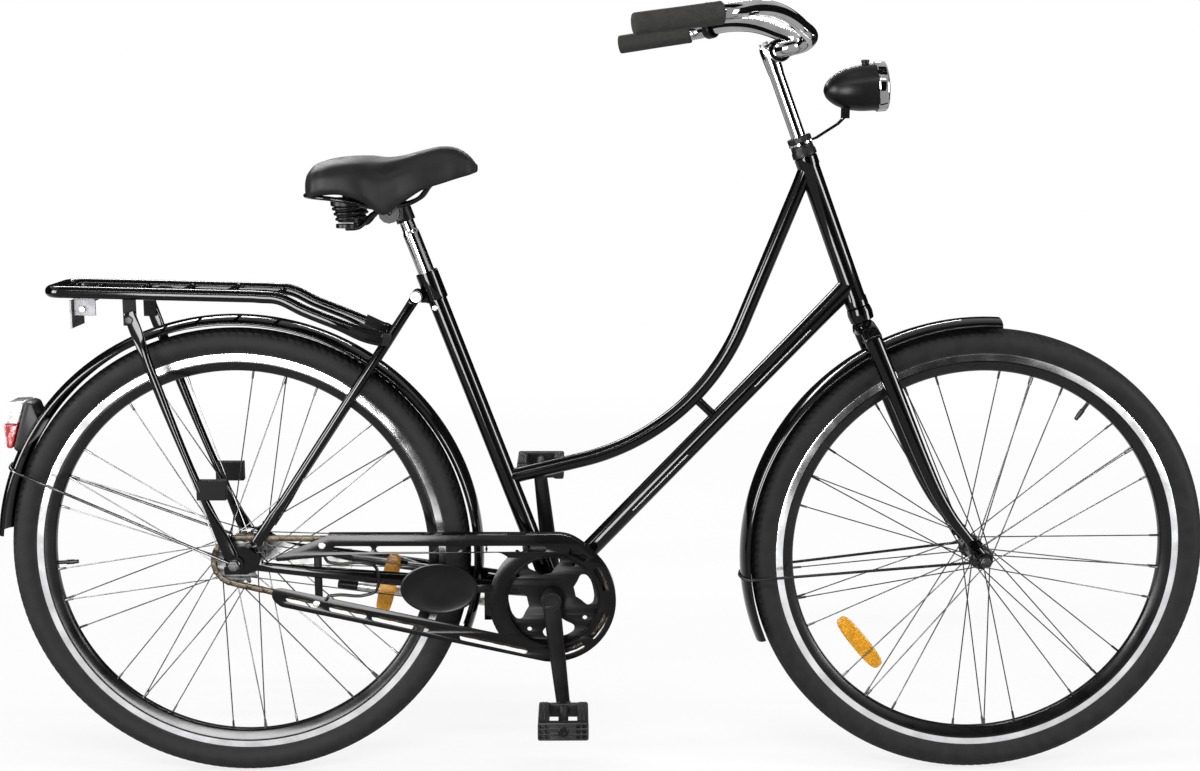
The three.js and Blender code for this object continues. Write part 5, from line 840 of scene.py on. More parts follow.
bar_grid = tube_grid(bar_path, BAR_RADIUS, sides=40, hint=UP, edge=1.5)
settle(grid_object("bar_tube", bar_grid), chrome, "handlebar")
print("bar", 2 * BAR_HALF, "mm wide")

# %% [markdown]
# A grip is soft dark rubber with pale specks in it: Voronoi cells cut off near their centres and mixed over
# the rubber's colour. The sleeve's radius swells and waves a little, as a pushed-on sleeve does.

# %% Grips
grip_rubber = finish("speckled_grip", (0.014, 0.0135, 0.013), (0.026, 0.025, 0.024), rough=(0.7, 0.9), drift=90,
                     relief=(1500, 0.2), specular=0.15)
nodes, links = grip_rubber.node_tree.nodes, grip_rubber.node_tree.links
specks, sift = nodes.new("ShaderNodeTexVoronoi"), nodes.new("ShaderNodeMapRange")
tint = nodes.new("ShaderNodeMixRGB")
specks.inputs["Scale"].default_value = 700
sift.inputs["From Min"].default_value, sift.inputs["From Max"].default_value = 0.16, 0.3
sift.inputs["To Min"].default_value, sift.inputs["To Max"].default_value = 0.75, 0.0
tint.inputs["Color2"].default_value = (0.07, 0.066, 0.06, 1)
links.new(nodes["Texture Coordinate"].outputs["Object"], specks.inputs["Vector"])
links.new(specks.outputs["Distance"], sift.inputs["Value"])
links.new(sift.outputs["Result"], tint.inputs["Fac"])
links.new(nodes["Color Ramp"].outputs["Color"], tint.inputs["Color1"])
links.new(tint.outputs["Color"], nodes["Principled BSDF"].inputs["Base Color"])
grip_way = unit(bar_points[-1] - bar_points[-2])
GRIP_LONG, GRIP_CAP = 113, 3.9
grip_from, grip_to = bar_points[-1] - grip_way * GRIP_LONG, bar_points[-1] + grip_way * GRIP_CAP
grip_at = np.linspace(0, 1, 90)
grip_radius = 15.0 + 0.35 * np.exp(-grip_at / 0.04) + 0.08 * np.sin(grip_at * np.pi * 3)
for name, flip in (("right", mirror_y), ("left", np.ones(3))):
    grip_path = straight(grip_from * flip, grip_to * flip, 90)
    grid = tube_grid(grip_path, grip_radius, sides=48, hint=UP, edge=2.6)
    grip = grid_object(f"{name}_grip_sleeve", grid)
    settle(grip, grip_rubber, f"{name}_grip")
print("grips", GRIP_LONG, "mm long")

# %% [markdown]
# A bell is a spun dome over a base, clamped to the bar. The dome's profile goes down the outside and back up
# the inside, so it is as thin as the real sheet.

# %% Bell
BELL_ALONG = 0.45
bell_place = bar_points[-3] + (bar_points[-2] - bar_points[-3]) * BELL_ALONG
bell_way = unit(bar_points[-2] - bar_points[-3])
dome_out = np.array([0, 0.3, 0.5, 0.68, 0.84, 0.95, 1.0, 1.0])
dome_up = np.array([1, 0.98, 0.92, 0.82, 0.66, 0.42, 0.2, 0.0])
dome_profile = np.stack([24 * dome_out, 19 + 24 * dome_up], -1)
dome_inside = np.stack([22.8 * dome_out[::-1], 19 + 22.6 * dome_up[::-1]], -1)
dome_sheet = np.concatenate([dome_profile, dome_inside])
settle(turned("bell_dome", dome_sheet, bell_place, axis=UP, steps=72), enamel, "bell")
settle(turned("bell_cap", [[0, 43.4], [3.4, 43.2], [4.2, 42.2], [0, 41]], bell_place, axis=UP, steps=24), zinc,
       "bell")
settle(turned("bell_base", [[0, 10.6], [16, 10.6], [17, 11.6], [17, 14.6], [16, 15.4], [0, 15.4]], bell_place,
              axis=UP, steps=48), satin, "bell")
settle(turned("bell_clamp", [[12.4, -6], [15, -6], [15.5, -5.4], [15.5, 5.4], [15, 6], [12.4, 6]], bell_place,
              axis=bell_way, steps=48, closed=True), satin, "bell")
settle(from_cad("bell_thumb", "bell_lever", 40, 0.4), zinc, "bell_lever")
print("bell at", bell_place.round())

# %% [markdown]
# The head lamp is a deep turned shell with a chromed bezel and a bulging glass, whose relief breaks up what
# it mirrors.

# %% Head lamp
LAMP_AT, LAMP_PITCH, EARS_TOP = np.array([890.0, 0, 1069.0]), math.radians(5), 1052
lamp_way = np.array([math.cos(LAMP_PITCH), 0, math.sin(LAMP_PITCH)])
lamp_rows = smooth_rows([[0, 0, 0], [9, 3, 0], [19, 12, 0], [28, 28, 0], [33.5, 50, 0], [35, 76, 0]], 30)[:, :2]
lamp_shell = np.concatenate([lamp_rows, [[35, 78], [35, 84], [0, 84]]])
settle(turned("lamp_shell", lamp_shell, LAMP_AT, axis=lamp_way, steps=80), satin, "lamp_housing")
settle(turned("lamp_bezel", [[31.4, 80], [36.2, 78.4], [37, 79.4], [37, 90.6], [36.2, 92.4], [34.4, 93.8], [32, 93.8],
                             [31.2, 92.6]], LAMP_AT, axis=lamp_way, steps=80, closed=True), chrome, "lamp_housing")
knob_at = LAMP_AT + lamp_way * 62
settle(turned("lamp_knob", [[0, 0], [5.2, 0], [5.2, 36.5], [6, 37], [6, 40.2], [5.2, 41], [0, 41]], knob_at, axis=UP,
              steps=32), satin, "lamp_housing")
ears = keep_faces(from_cad("lamp_ears", "lamp_housing", 50), lambda p: p[:, 2] < EARS_TOP)
settle(ears, satin, "lamp_housing")
glass = finish("lamp_glass", (0.6, 0.62, 0.63), (0.72, 0.74, 0.75), rough=(0.05, 0.12), metallic=0.3, drift=60,
               relief=(500, 0.2), coat=0.6)
settle(turned("lamp_glass_face", [[0, 84.4], [30.6, 84.4], [30.6, 93.0], [27, 95.0], [20, 97.0], [10, 98.4],
                                  [0, 98.9]], LAMP_AT, axis=lamp_way, steps=80), glass, "lamp_lens")
print("lamp at", LAMP_AT, "tipped up", round(math.degrees(LAMP_PITCH)), "degrees")

# %% [markdown]
# ## Fenders and their stays
# A fender is rolled sheet: an elliptical section carried round the wheel, with its edges turned in. The
# section runs over the outside and back along the inside, so the sheet keeps its thickness.

# %% Fenders
FENDER_SHEET, TAPER, TAPER_FROM = 1.6, 0.18, 0.85


def fender_grid(centre, radius, start, stop, count, narrow):
    """Section: r = R - c(1 - cos s), y = w sin s for s from -90 to 90 degrees; back again one sheet further in.

    A narrow fender tapers in width over the last share of its length.
    """
    s = np.radians(np.linspace(-90, 90, 37))
    outer_r, outer_y = radius - FENDER_CROWN * (1 - np.cos(s)), FENDER_HALF * np.sin(s)
    inner_r = radius - FENDER_SHEET - FENDER_CROWN * (1 - np.cos(s)) * 0.98
    inner_y = (FENDER_HALF - FENDER_SHEET) * np.sin(s)
    r, y = np.concatenate([outer_r, inner_r[::-1]]), np.concatenate([outer_y, inner_y[::-1]])
    angle = np.radians(np.linspace(start, stop, count))
    squeeze = 1 - narrow * TAPER * np.clip((np.linspace(0, 1, count) - TAPER_FROM) * 10, 0, 1)
    ring = np.stack([np.cos(angle), 0 * angle, np.sin(angle)], -1)
    return centre + r[None, :, None] * ring[:, None] + (squeeze[:, None] * y[None])[..., None] * SIDE


def fender(name, node, centre, radius, start, stop, count, narrow=False):
    """The rolled sheet with its two ends closed between outside and inside."""
    grid = fender_grid(centre, radius, start, stop, count, narrow)
    rows, columns = grid.shape[:2]
    faces, _ = grid_faces(rows, columns, False, True)
    j = np.arange(columns // 2 - 1)
    end_cap = np.stack([j, j + 1, columns - 2 - j, columns - 1 - j], -1)
    start_cap = end_cap[:, ::-1]
    all_faces = np.concatenate([faces, start_cap, end_cap + (rows - 1) * columns])
    piece = mesh_object(name, to_row(grid.reshape(-1, 3)), all_faces, sharp=50)
    print(name, len(piece.data.polygons), "faces")
    return settle(piece, enamel, node)


fender("rear_fender_sheet", "rear_fender", REAR, FENDER_RADIUS, 174.5, -20, 240, narrow=True)
fender("front_fender_sheet", "front_fender", FRONT, FRONT_FENDER_RADIUS, 87, 202.4, 150)

# %% [markdown]
# A fender stay is one bent wire, over the fender and down both sides, with an eye round the axle at each end.
# Half of the wire is drawn and mirrored.

# %% Fender stays
def stay_wire(name, node, stuff, centre, angle, radius, eye_at, eye_middle):
    """One wire over the fender and down both sides to the axle."""
    out, over, angle = FENDER_HALF + 2.5, radius + 1.9, math.radians(angle)

    def at(r, y):
        """A point at a radius and a place sideways, on the stay's own line from the axle."""
        return centre + np.array([r * math.cos(angle), y, r * math.sin(angle)])

    half = np.array([at(over, 0), at(over - 1.6, -out * 0.4), at(over - 5.2, -out * 0.8), at(radius - 13, -out - 2.2),
                     at(radius - 26, -out - 4.4), at(9, -eye_middle)])
    bend = smooth_rows(half[:5], 40)
    side = np.concatenate([bend, straight(half[4], half[5], 24)[1:]])
    path = np.concatenate([side[::-1], (side * mirror_y)[1:]])
    wire = tube_grid(path, 2.2, sides=16, hint=SIDE * 0.2 + np.array([0.3, 0, 1.0]), edge=0.5)
    settle(grid_object(f"{name}_wire", wire), stuff, node)
    for tag, way in SIDES:
        ring = turned(f"{name}_{tag}_eye", [[5.3, 0], [8.4, 0], [9, 0.6], [9, 2.4], [8.4, 3], [5.3, 3]],
                      centre + SIDE * way * eye_at, axis=SIDE * way, steps=40, closed=True)
        settle(ring, stuff, node)


stay_wire("rear_stay", "rear_fender_stay", spoke_steel, REAR, 157.7, FENDER_RADIUS, 67.2, 68.7)
stay_wire("front_stay", "front_fender_stay", dark_steel, FRONT, 185.8, FRONT_FENDER_RADIUS, 55.9, 57.4)
print("two stays, wire of 4.4 mm")

# %% [markdown]
# An axle's end shows as a rod with a track nut, which is a turned ring in six steps with bevelled edges.

# %% Axles and nuts
for node, centre, nut_at in (("rear_axle", REAR, 70.5), ("front_axle", FRONT, 59.2)):
    end = nut_at + 7.5
    settle(turned(f"{node}_rod", [[0, -end], [4.4, -end], [5, 0.6 - end], [5, end - 0.6], [4.4, end], [0, end]],
                  centre, steps=32), worn_zinc, node)
    for tag, way in SIDES:
        nut = turned(f"{node}_{tag}_nut", [[4.8, 0], [8.5, 0], [8.5, 5.6], [7.6, 6.4], [4.8, 6.4]],
                     centre + SIDE * way * nut_at, axis=SIDE * way, steps=6, closed=True, bevel=0.4)
        settle(nut, worn_zinc, node)
    print(node, 2 * end, "mm long")

# %% [markdown]
# ## Drive
# The chain is half-inch pitch: 108 links, pin by pin round the ring, along the bottom, round the sprocket
# and back. Every link lies between two pins of one pitch line, so plates, rollers and pins are all placed
# by the same array. Every second pair of plates is the outer one.

# %% Pitch line
PITCH, RING_TEETH, SPROCKET_TEETH, CHAIN_LINE = 12.7, 44, 18, 45.0
RING_RADIUS = PITCH / (2 * math.sin(math.pi / RING_TEETH))
SPROCKET_RADIUS = PITCH / (2 * math.sin(math.pi / SPROCKET_TEETH))
centres = BRACKET - REAR
spacing = float(np.linalg.norm(centres))
slope = math.atan2(centres[2], centres[0])
lean = math.asin((RING_RADIUS - SPROCKET_RADIUS) / spacing)
top_angle, bottom_angle = slope + math.pi / 2 + lean, slope - math.pi / 2 - lean
run = spacing * math.cos(lean)
ring_wrap, sprocket_wrap = (math.pi + 2 * lean) * RING_RADIUS, (math.pi - 2 * lean) * SPROCKET_RADIUS
chain_length = ring_wrap + sprocket_wrap + 2 * run
LINKS = 2 * round(chain_length / PITCH / 2)


def pitch_line(distance):
    """Points at distances along the chain: arc, straight, arc, straight."""
    def on(centre, radius, angle):
        """Round a centre: x + r cos t, z + r sin t."""
        return centre + radius * np.stack([np.cos(angle), 0 * angle, np.sin(angle)], -1)

    d = distance[:, None]
    low_from, high_to = on(BRACKET, RING_RADIUS, np.array([bottom_angle, top_angle]))
    low_to, high_from = on(REAR, SPROCKET_RADIUS, np.array([bottom_angle, top_angle]))
    first = on(BRACKET, RING_RADIUS, top_angle - distance / RING_RADIUS)
    second = low_from + (low_to - low_from) * (d - ring_wrap) / run
    third = on(REAR, SPROCKET_RADIUS, bottom_angle - (distance - ring_wrap - run) / SPROCKET_RADIUS)
    fourth = high_from + (high_to - high_from) * (d - ring_wrap - run - sprocket_wrap) / run
    back = np.where(d < ring_wrap + run + sprocket_wrap, third, fourth)
    return np.where(d < ring_wrap, first, np.where(d < ring_wrap + run, second, back))


pins = pitch_line(np.arange(LINKS) * chain_length / LINKS) - SIDE * CHAIN_LINE
onward = np.roll(pins, -1, axis=0)
print("chain", LINKS, "links,", round(chain_length), "mm round")

# %% [markdown]
# A link's plate is a figure of eight: two half rounds with a waist between them. All the plates of one kind
# are one array, and so are the rollers and the rivets.

# %% Plates, rollers and rivets
def link_plates(chosen, offset, thick=0.9, end=4.1, waist=3.0):
    """Closed plates: x = e cos t, plus a pitch for the far half, z = e sin t less a bell-shaped waist.

    Its first and last sideways places have no size, which closes the plate.
    """
    t = np.arange(24) * 2 * np.pi / 24
    along = np.where(np.cos(t) > 0, PITCH, 0) + end * np.cos(t)
    tall = end * np.sin(t)
    inward = np.exp(-((along - PITCH / 2) / 3.2) ** 2)
    tall = tall * (1 - (1 - waist / end) * inward)
    places = np.array([[-thick / 2, 0.0], [-thick / 2, 0.86], [-thick / 2 + 0.2, 1.0], [thick / 2 - 0.2, 1.0],
                       [thick / 2, 0.86], [thick / 2, 0.0]])
    start, way = pins[chosen], unit(onward[chosen] - pins[chosen])
    up = np.cross(SIDE, way)
    a = PITCH / 2 + (along - PITCH / 2)[None] * places[:, 1:]
    b = tall[None] * places[:, 1:]
    flat = start[:, None, None] + way[:, None, None] * a[None, ..., None] + up[:, None, None] * b[None, ..., None]
    return np.concatenate([flat + SIDE * (sign * offset + places[:, 0])[None, :, None, None] for sign in (-1, 1)])


chain_bronze = finish("chain_bronze", (0.016, 0.013, 0.0095), (0.038, 0.031, 0.022), rough=(0.3, 0.45), metallic=1.0,
                      drift=90, relief=(1400, 0.05))
even, odd = np.arange(0, LINKS, 2), np.arange(1, LINKS, 2)
settle(join_grids("chain_outer_plates", link_plates(even, 3.9)), chain_bronze, "chain")
settle(join_grids("chain_inner_plates", link_plates(odd, 2.75)), chain_bronze, "chain")
rollers = rods(pins - SIDE * 2.2, pins + SIDE * 2.2, [[0, 0], [0, 3.6], [0.06, 3.9], [0.94, 3.9], [1, 3.6], [1, 0]],
               sides=14)
settle(join_grids("chain_rollers", rollers), chain_bronze, "chain")
rivets = rods(pins - SIDE * 4.75, pins + SIDE * 4.75, [[0, 0], [0, 1.5], [0.02, 1.8], [0.98, 1.8], [1, 1.5], [1, 0]],
              sides=10)
settle(join_grids("chain_rivets", rivets), worn_zinc, "chain")
print("rollers", len(rollers))

# %% [markdown]
# The ring and the sprocket are stamped from sheet, and one outline serves both: round seats at the pins with
# teeth between, so that the chain really lies in them.

# %% Chainring and sprocket
def tooth_outline(teeth, first, centre, tip=2.9, roller=4.15):
    """Seats between teeth: r dips by the roller's radius at each pin and rises to the tip between."""
    count = teeth * 12
    t = np.arange(count) / 12
    phase = t % 1
    radius = PITCH / (2 * math.sin(math.pi / teeth))
    rise = step_up(np.abs((phase + 0.5) % 1 - 0.5), 0.14, 0.4)
    r = radius - roller + (roller + tip) * rise
    angle = first - t * 2 * np.pi / teeth
    return np.stack([centre[0] + r * np.cos(angle), centre[2] + r * np.sin(angle)], -1)


window = np.array([[0, -0.5], [0.25, -0.72], [0.75, -1], [0.93, -0.85], [1, -0.55], [1, 0], [1, 0.55], [0.93, 0.85],
                   [0.75, 1], [0.25, 0.72], [0, 0.5]])
ring_holes, curve = [], smooth_rows(np.column_stack([window, np.zeros(len(window))]), 48)[:, :2]
for middle in (12, 102, 192, 282):
    r, angle = 38 + 28 * curve[:, 0], np.radians(middle + curve[:, 1] * 25)
    ring_holes.append(np.stack([BRACKET[0] + r * np.cos(angle), BRACKET[2] + r * np.sin(angle)], -1))
    between = math.radians(middle + 45)
    ring_holes.append(circle(BRACKET[0] + 62 * math.cos(between), BRACKET[2] + 62 * math.sin(between), 3.5, 20))
ring_holes.append(circle(BRACKET[0], BRACKET[2], 16.9))
ring = plate("chainring_plate", tooth_outline(RING_TEETH, top_angle, BRACKET), ring_holes, -CHAIN_LINE - 1.7,
             -CHAIN_LINE + 1.7, 0.3)
settle(ring, satin, "chainring")
pins_to = (ring_wrap + run) / (chain_length / LINKS)
sprocket_first = bottom_angle - (math.ceil(pins_to) - pins_to) * (chain_length / LINKS) / SPROCKET_RADIUS
cog = plate("sprocket_plate", tooth_outline(SPROCKET_TEETH, sprocket_first, REAR), [circle(REAR[0], REAR[2], 15.9)],
            -CHAIN_LINE - 1.5, -CHAIN_LINE + 1.5, 0.3)
settle(cog, worn_zinc, "rear_sprocket")
print("ring radius", round(RING_RADIUS, 1), "and sprocket radius", round(SPROCKET_RADIUS, 1), "mm at the pins")

# %% [markdown]
# A crank is a forged arm with softly squared edges: a swept superellipse between two turned eyes.

# %% Cranks
crank_down = np.array([math.sin(CRANK_ANGLE), 0, -math.cos(CRANK_ANGLE)])
for name, side in SIDES:
    way = crank_down * (1 if side < 0 else -1)
    middle = BRACKET + SIDE * side * 69.5
    path = straight(middle + way * 6, middle + way * (CRANK_LENGTH - 2), 60)
    t = np.linspace(0, 1, 60)
    wide = np.interp(t, [0, 0.15, 0.6, 1], [13.5, 13.5, 12.0, 10.5])
    deep = np.interp(t, [0, 0.1, 0.5, 1], [6.5, 6.2, 5.7, 6.2])
    arm = grid_object(f"{name}_crank_arm", tube_grid(path, wide, deep, sides=48, power=0.62, edge=1.0), sharp=50)
    settle(arm, satin, f"{name}_crank")
    boss_profile = [[0, -6.5], [15, -6.5], [16, -5.6], [16, 5.4], [15, 6.5], [11.4, 6.5], [10.8, 5.2], [0, 4.6]]
    boss = turned(f"{name}_crank_boss", boss_profile, middle, axis=SIDE * side, steps=64)
    settle(boss, satin, f"{name}_crank")
    eye = turned(f"{name}_crank_eye", [[0, -6.5], [11, -6.5], [12, -5.6], [12, 5.6], [11, 6.5], [0, 6.5]],
                 middle + way * CRANK_LENGTH, axis=SIDE * side, steps=48)
    settle(eye, satin, f"{name}_crank")
    pin = turned(f"{name}_pedal_pin", [[0, 0], [7, 0], [7, 4.4], [6, 4.8], [6, 20], [0, 20]],
                 BRACKET + SIDE * side * 76 + way * CRANK_LENGTH, axis=SIDE * side, steps=32)
    settle(pin, zinc, f"{name}_crank")
    print(arm.name, CRANK_LENGTH, "mm between its eyes")

# %% [markdown]
# A city pedal is two studded rubber blocks on a barrel, held by an end plate with rows of small cells. The
# studs are real relief, so that they show at the blocks' edges.

# %% Pedals
PEDAL = dict(near=81.0, far=173.0, long=38.0, tall=14.0, block=17.0, outer=11.0, inner=8.0)


def grip_block(middle, side, where):
    """Section: |x/a|^6 + |z/b|^6 = 1; its top and bottom sink between studs, which are a product of two waves."""
    rows, columns = 130, 96
    y = np.linspace(PEDAL["near"] + PEDAL["inner"] - 1, PEDAL["far"] - PEDAL["outer"] + 1, rows)[:, None]
    turn = np.arange(columns)[None] * 2 * np.pi / columns
    c, s = np.cos(turn), np.sin(turn)
    reach = (np.abs(c) ** 6 + np.abs(s) ** 6) ** (-1 / 6)
    x, z = PEDAL["block"] / 2 * reach * c + 0 * y, PEDAL["tall"] * reach * s + 0 * y
    studs = np.clip(np.sin(y * 2 * np.pi / 5.2) * np.sin(x * 2 * np.pi / 5.6) * 3 + 0.5, 0, 1)
    flat = np.clip((np.abs(s) - 0.45) * 6, 0, 1)
    z = z - np.sign(s) * 1.1 * (1 - studs) * flat
    grid = np.stack([x + where, side * y + 0 * x, z], -1) + np.array([middle[0], 0, middle[2]])
    return closed_ends(grid)


def box_outline(x0, z0, x1, z1, radius):
    """Four corners, each rounded."""
    return rounded_corners([[x0, z0], [x1, z0], [x1, z1], [x0, z1]], radius)


pedal_black = finish("pedal_black", (0.006, 0.006, 0.006), (0.014, 0.014, 0.014), rough=(0.4, 0.55), drift=60,
                     relief=(1300, 0.2), specular=0.2)
for name, side in SIDES:
    middle = BRACKET + crank_down * (1 if side < 0 else -1) * CRANK_LENGTH
    for word, where in (("back", -1), ("front", 1)):
        rows = grip_block(middle, side, where * (PEDAL["long"] - PEDAL["block"] / 2))
        settle(grid_object(f"{name}_pedal_{word}_grip", rows, sharp=50), pedal_black, f"{name}_pedal")
    x0, x1 = middle[0] - PEDAL["long"], middle[0] + PEDAL["long"]
    z0, z1 = middle[2] - PEDAL["tall"], middle[2] + PEDAL["tall"]
    cells = [box_outline(x, z, x + 6.6, z + 5.6, 1.2)
             for x in (x0 + 3, x0 + 11.6, x1 - 18.2, x1 - 9.6) for z in (z0 + 3, z0 + 11.2, z0 + 19.4)]
    faces_at = sorted([side * (PEDAL["far"] - 4), side * PEDAL["far"]])
    outer = plate(f"{name}_pedal_face", box_outline(x0, z0, x1, z1, 4), cells, *faces_at, 0.5)
    settle(outer, pedal_black, f"{name}_pedal")
    backing = plate(f"{name}_pedal_web", box_outline(x0 + 0.4, z0 + 0.4, x1 - 0.4, z1 - 0.4, 4), [],
                    *sorted([side * (PEDAL["far"] - PEDAL["outer"]), side * (PEDAL["far"] - 4.1)]), 0.5)
    settle(backing, pedal_black, f"{name}_pedal")
    root = plate(f"{name}_pedal_root", box_outline(x0, middle[2] - 10.5, x1, middle[2] + 10.5, 4), [],
                 *sorted([side * PEDAL["near"], side * (PEDAL["near"] + PEDAL["inner"])]), 1.0)
    settle(root, pedal_black, f"{name}_pedal")
    axis_at = np.array([middle[0], 0, middle[2]])
    barrel_profile = [[0, 82], [9, 82], [9, 96], [7.6, 100], [7.6, 152], [9, 158], [9, 170], [0, 170]]
    barrel = turned(f"{name}_pedal_barrel", barrel_profile, axis_at, axis=SIDE * side, steps=48)
    settle(barrel, pedal_black, f"{name}_pedal")
    cap_profile = [[0, 172.4], [8.4, 172.4], [8.4, 174.2], [7.4, 175], [3.4, 175], [3, 174.2], [0, 174.2]]
    cap = turned(f"{name}_pedal_cap", cap_profile, axis_at, axis=SIDE * side, steps=8, bevel=0.3)
    settle(cap, satin, f"{name}_pedal")
print("pedals", PEDAL["far"] - PEDAL["near"], "mm wide")

# %% [markdown]
# Between the cranks run the spindle, the boss that carries the chainring and the bearing's cup.

# %% Spindle, boss and cup
settle(turned("ring_boss", [[0, 0], [16.5, 0], [16.5, 26], [0, 26]], BRACKET - SIDE * 66, steps=64), satin,
       "right_crank")
settle(from_cad("bottom_spindle", "crank_axle", 40), zinc, "crank_axle")
settle(turned("bracket_cup", [[9.6, 35.2], [16, 35.2], [16.4, 36.4], [12, 37.4], [9.6, 37.4]], BRACKET, axis=SIDE,
              steps=48, closed=True), zinc, "bottom_bracket_shell")
print("spindle at", BRACKET)

# %% [markdown]
# ## Chain case
# One pressed plate, open in the middle, with slots that show the chain, a folded top edge that sheds the
# rain, a rolled lip round the ring and a bent wire at the back. Its outline is a row of points with the
# ring's arcs between them; a filled curve turns outline and holes into a sheet with rounded edges.

# %% The plate, its slots and its edges
CASE_Y, CASE_SHEET, CASE_RING, CASE_BORE, CASE_FLANGE = -57.0, 1.6, 98.0, 70.0, 19.0
case_centre = np.array([484.0, 0, 294.0])
top_edge = 399.5


def on_ring(start, stop, count, radius=CASE_RING):
    """An arc round the case's own centre: x + r cos t, z + r sin t."""
    angle = np.radians(np.linspace(start, stop, count))
    return np.stack([case_centre[0] + radius * np.cos(angle), case_centre[2] + radius * np.sin(angle)], -1)


case_outline = np.concatenate([
    [[61, 366], [141, top_edge], [496, top_edge], [522, top_edge - 9]], on_ring(42, -98, 60),
    [[66, 286], [55, 296], [52, 306], [57, 315], [68, 316]], on_ring(212, 134, 40),
    [[404, top_edge - 28], [167, top_edge - 31], [61, 358]]])
case_outline = rounded_corners(case_outline, 5)


def slot(x0, z0, x1, z1, half=4.6, steps=8):
    """A slot with round ends between two points."""
    way = unit(np.array([x1 - x0, z1 - z0], float))
    side = np.array([-way[1], way[0]])
    t = np.linspace(-np.pi / 2, np.pi / 2, steps)[:, None]
    far = np.array([x1, z1]) + half * (np.cos(t) * way + np.sin(t) * side)
    near = np.array([x0, z0]) - half * (np.cos(t) * way + np.sin(t) * side)
    return np.concatenate([far, near])


def lower_middle(x):
    """The height of the lower row of slots, which falls evenly towards the ring."""
    return 304 - (x - 52) / 430 * 100


case_holes = [circle(case_centre[0], case_centre[2], CASE_BORE, 90)]
case_holes += [slot(a, top_edge - 22, b, top_edge - 22)
               for a, b in ((153, 203), (219, 301), (310, 338), (356, 380), (386, 442), (448, 471))]
case_holes += [slot(a, lower_middle(a), b, lower_middle(b))
               for a, b in ((79, 119), (145, 193), (210, 288), (345, 440))]
case_holes += [np.concatenate([on_ring(a, b, 12, 88.6), on_ring(b, a, 12, 79.4)])
               for a, b in ((72, 52), (38, 12), (-14, -44), (-56, -82))]
case = plate("case_plate", case_outline, case_holes, CASE_Y, CASE_Y + CASE_SHEET, 0.4)
settle(case, case_black, "chain_case")
print("case plate", len(case_holes), "holes,", len(case.data.polygons), "faces")

# %% [markdown]
# The top edge is folded over towards the chain, which stiffens the plate: a section carried along the edge,
# whose inward way is the one that looks at the case's centre.

# %% The folded edge and the lip
fold_line = np.concatenate([np.stack([np.linspace(141, 494, 40), np.full(40, top_edge)], -1),
                            [[503, top_edge - 1.2], [513, top_edge - 4.2], [522, top_edge - 9]],
                            on_ring(42, -60, 40)])
fold_rows = smooth_rows(np.column_stack([fold_line[:, 0], np.zeros(len(fold_line)), fold_line[:, 1]]), 220)
fold_way = unit(np.gradient(fold_rows, axis=0))
fold_in = np.cross(SIDE, fold_way)
fold_in = np.where(((case_centre - fold_rows) * fold_in).sum(1)[:, None] > 0, fold_in, -fold_in)
fold_section = np.array([[2.2, 0.0], [0.6, 0.2], [0.0, 1.8], [0.0, CASE_FLANGE], [1.3, CASE_FLANGE], [1.5, 2.2],
                         [2.4, 1.5]])
fold_grid = (fold_rows[:, None] + fold_in[:, None] * fold_section[None, :, :1]
             + SIDE * (CASE_Y + fold_section[:, 1])[None, :, None])
rows, columns = fold_grid.shape[:2]
faces, _ = grid_faces(rows, columns, False, True)
start_cap, end_cap = range(columns), range(rows * columns - 1, (rows - 1) * columns - 1, -1)
faces = [tuple(face) for face in [*faces, start_cap, end_cap]]
settle(mesh_object("case_fold", to_row(fold_grid.reshape(-1, 3)), faces, sharp=50), case_black, "chain_case")
lip = turned("case_lip", [[69.9, -55.6], [69.9, -59.2], [70.6, -60], [71.8, -60], [72.6, -59.2], [72.8, -57.2],
                          [71.6, -55.6]], case_centre, steps=120, closed=True)
settle(lip, case_black, "chain_case")
print("fold", rows, "steps long and", CASE_FLANGE, "mm deep")

# %% [markdown]
# A bent wire holds the back of the case, with a strap and two bolts, and a smooth oval plate sits on a tab.

# %% Wire, strap, bolts and oval plate
wire_points = np.array([[136, 297], [140, 303], [150, 305], [196, 305], [212, 311], [217, 322], [217, 340],
                        [212, 351], [196, 356], [150, 356], [140, 359], [136, 366]], float)
wire_rows = smooth_rows(np.column_stack([wire_points[:, 0], np.full(12, -58.5), wire_points[:, 1]]), 120)
settle(grid_object("case_wire", tube_grid(wire_rows, 2.5, sides=20, edge=0.8)), case_black, "chain_case")
strap = plate("case_strap", box_outline(119, 296, 131, 374, 4), [], -56.2, -54.2, 0.4)
settle(strap, case_black, "chain_case")
for name, x, z in (("upper", 132, 383), ("lower", 121, 291)):
    bolt = turned(f"case_{name}_bolt", [[0, 0], [5.2, 0], [5.2, 1.2], [4.4, 2.0], [2.6, 2.2], [2.4, 3.4], [0, 3.6]],
                  np.array([x, CASE_Y, z]), axis=-SIDE, steps=32)
    settle(bolt, zinc, "chain_case")
OVAL_X, OVAL_Z, OVAL_LONG, OVAL_TALL = 310, 315, 59.5, 40
oval_angle = np.arange(96) * 2 * np.pi / 96
oval_out = np.array([0.0, 0.5, 0.86, 0.93, 0.975, 1.0, 1.0, 0.98, 0.5, 0.0])
oval_y = np.array([-59.4, -59.4, -59.4, -59.9, -60.1, -59.6, -58.9, -58.5, -58.5, -58.5])
oval_grid = np.stack([OVAL_X + OVAL_LONG * oval_out[:, None] * np.cos(oval_angle), oval_y[:, None] + 0 * oval_angle,
                      OVAL_Z + OVAL_TALL * oval_out[:, None] * np.sin(oval_angle)], -1)
settle(grid_object("case_oval", oval_grid, sharp=50), case_black, "chain_case")
tab = plate("case_oval_tab", box_outline(360, 309, 392, 321, 3), [], -58.4, -57.2, 0.3)
settle(tab, case_black, "chain_case")
print("oval plate", 2 * OVAL_LONG, "by", 2 * OVAL_TALL, "mm")

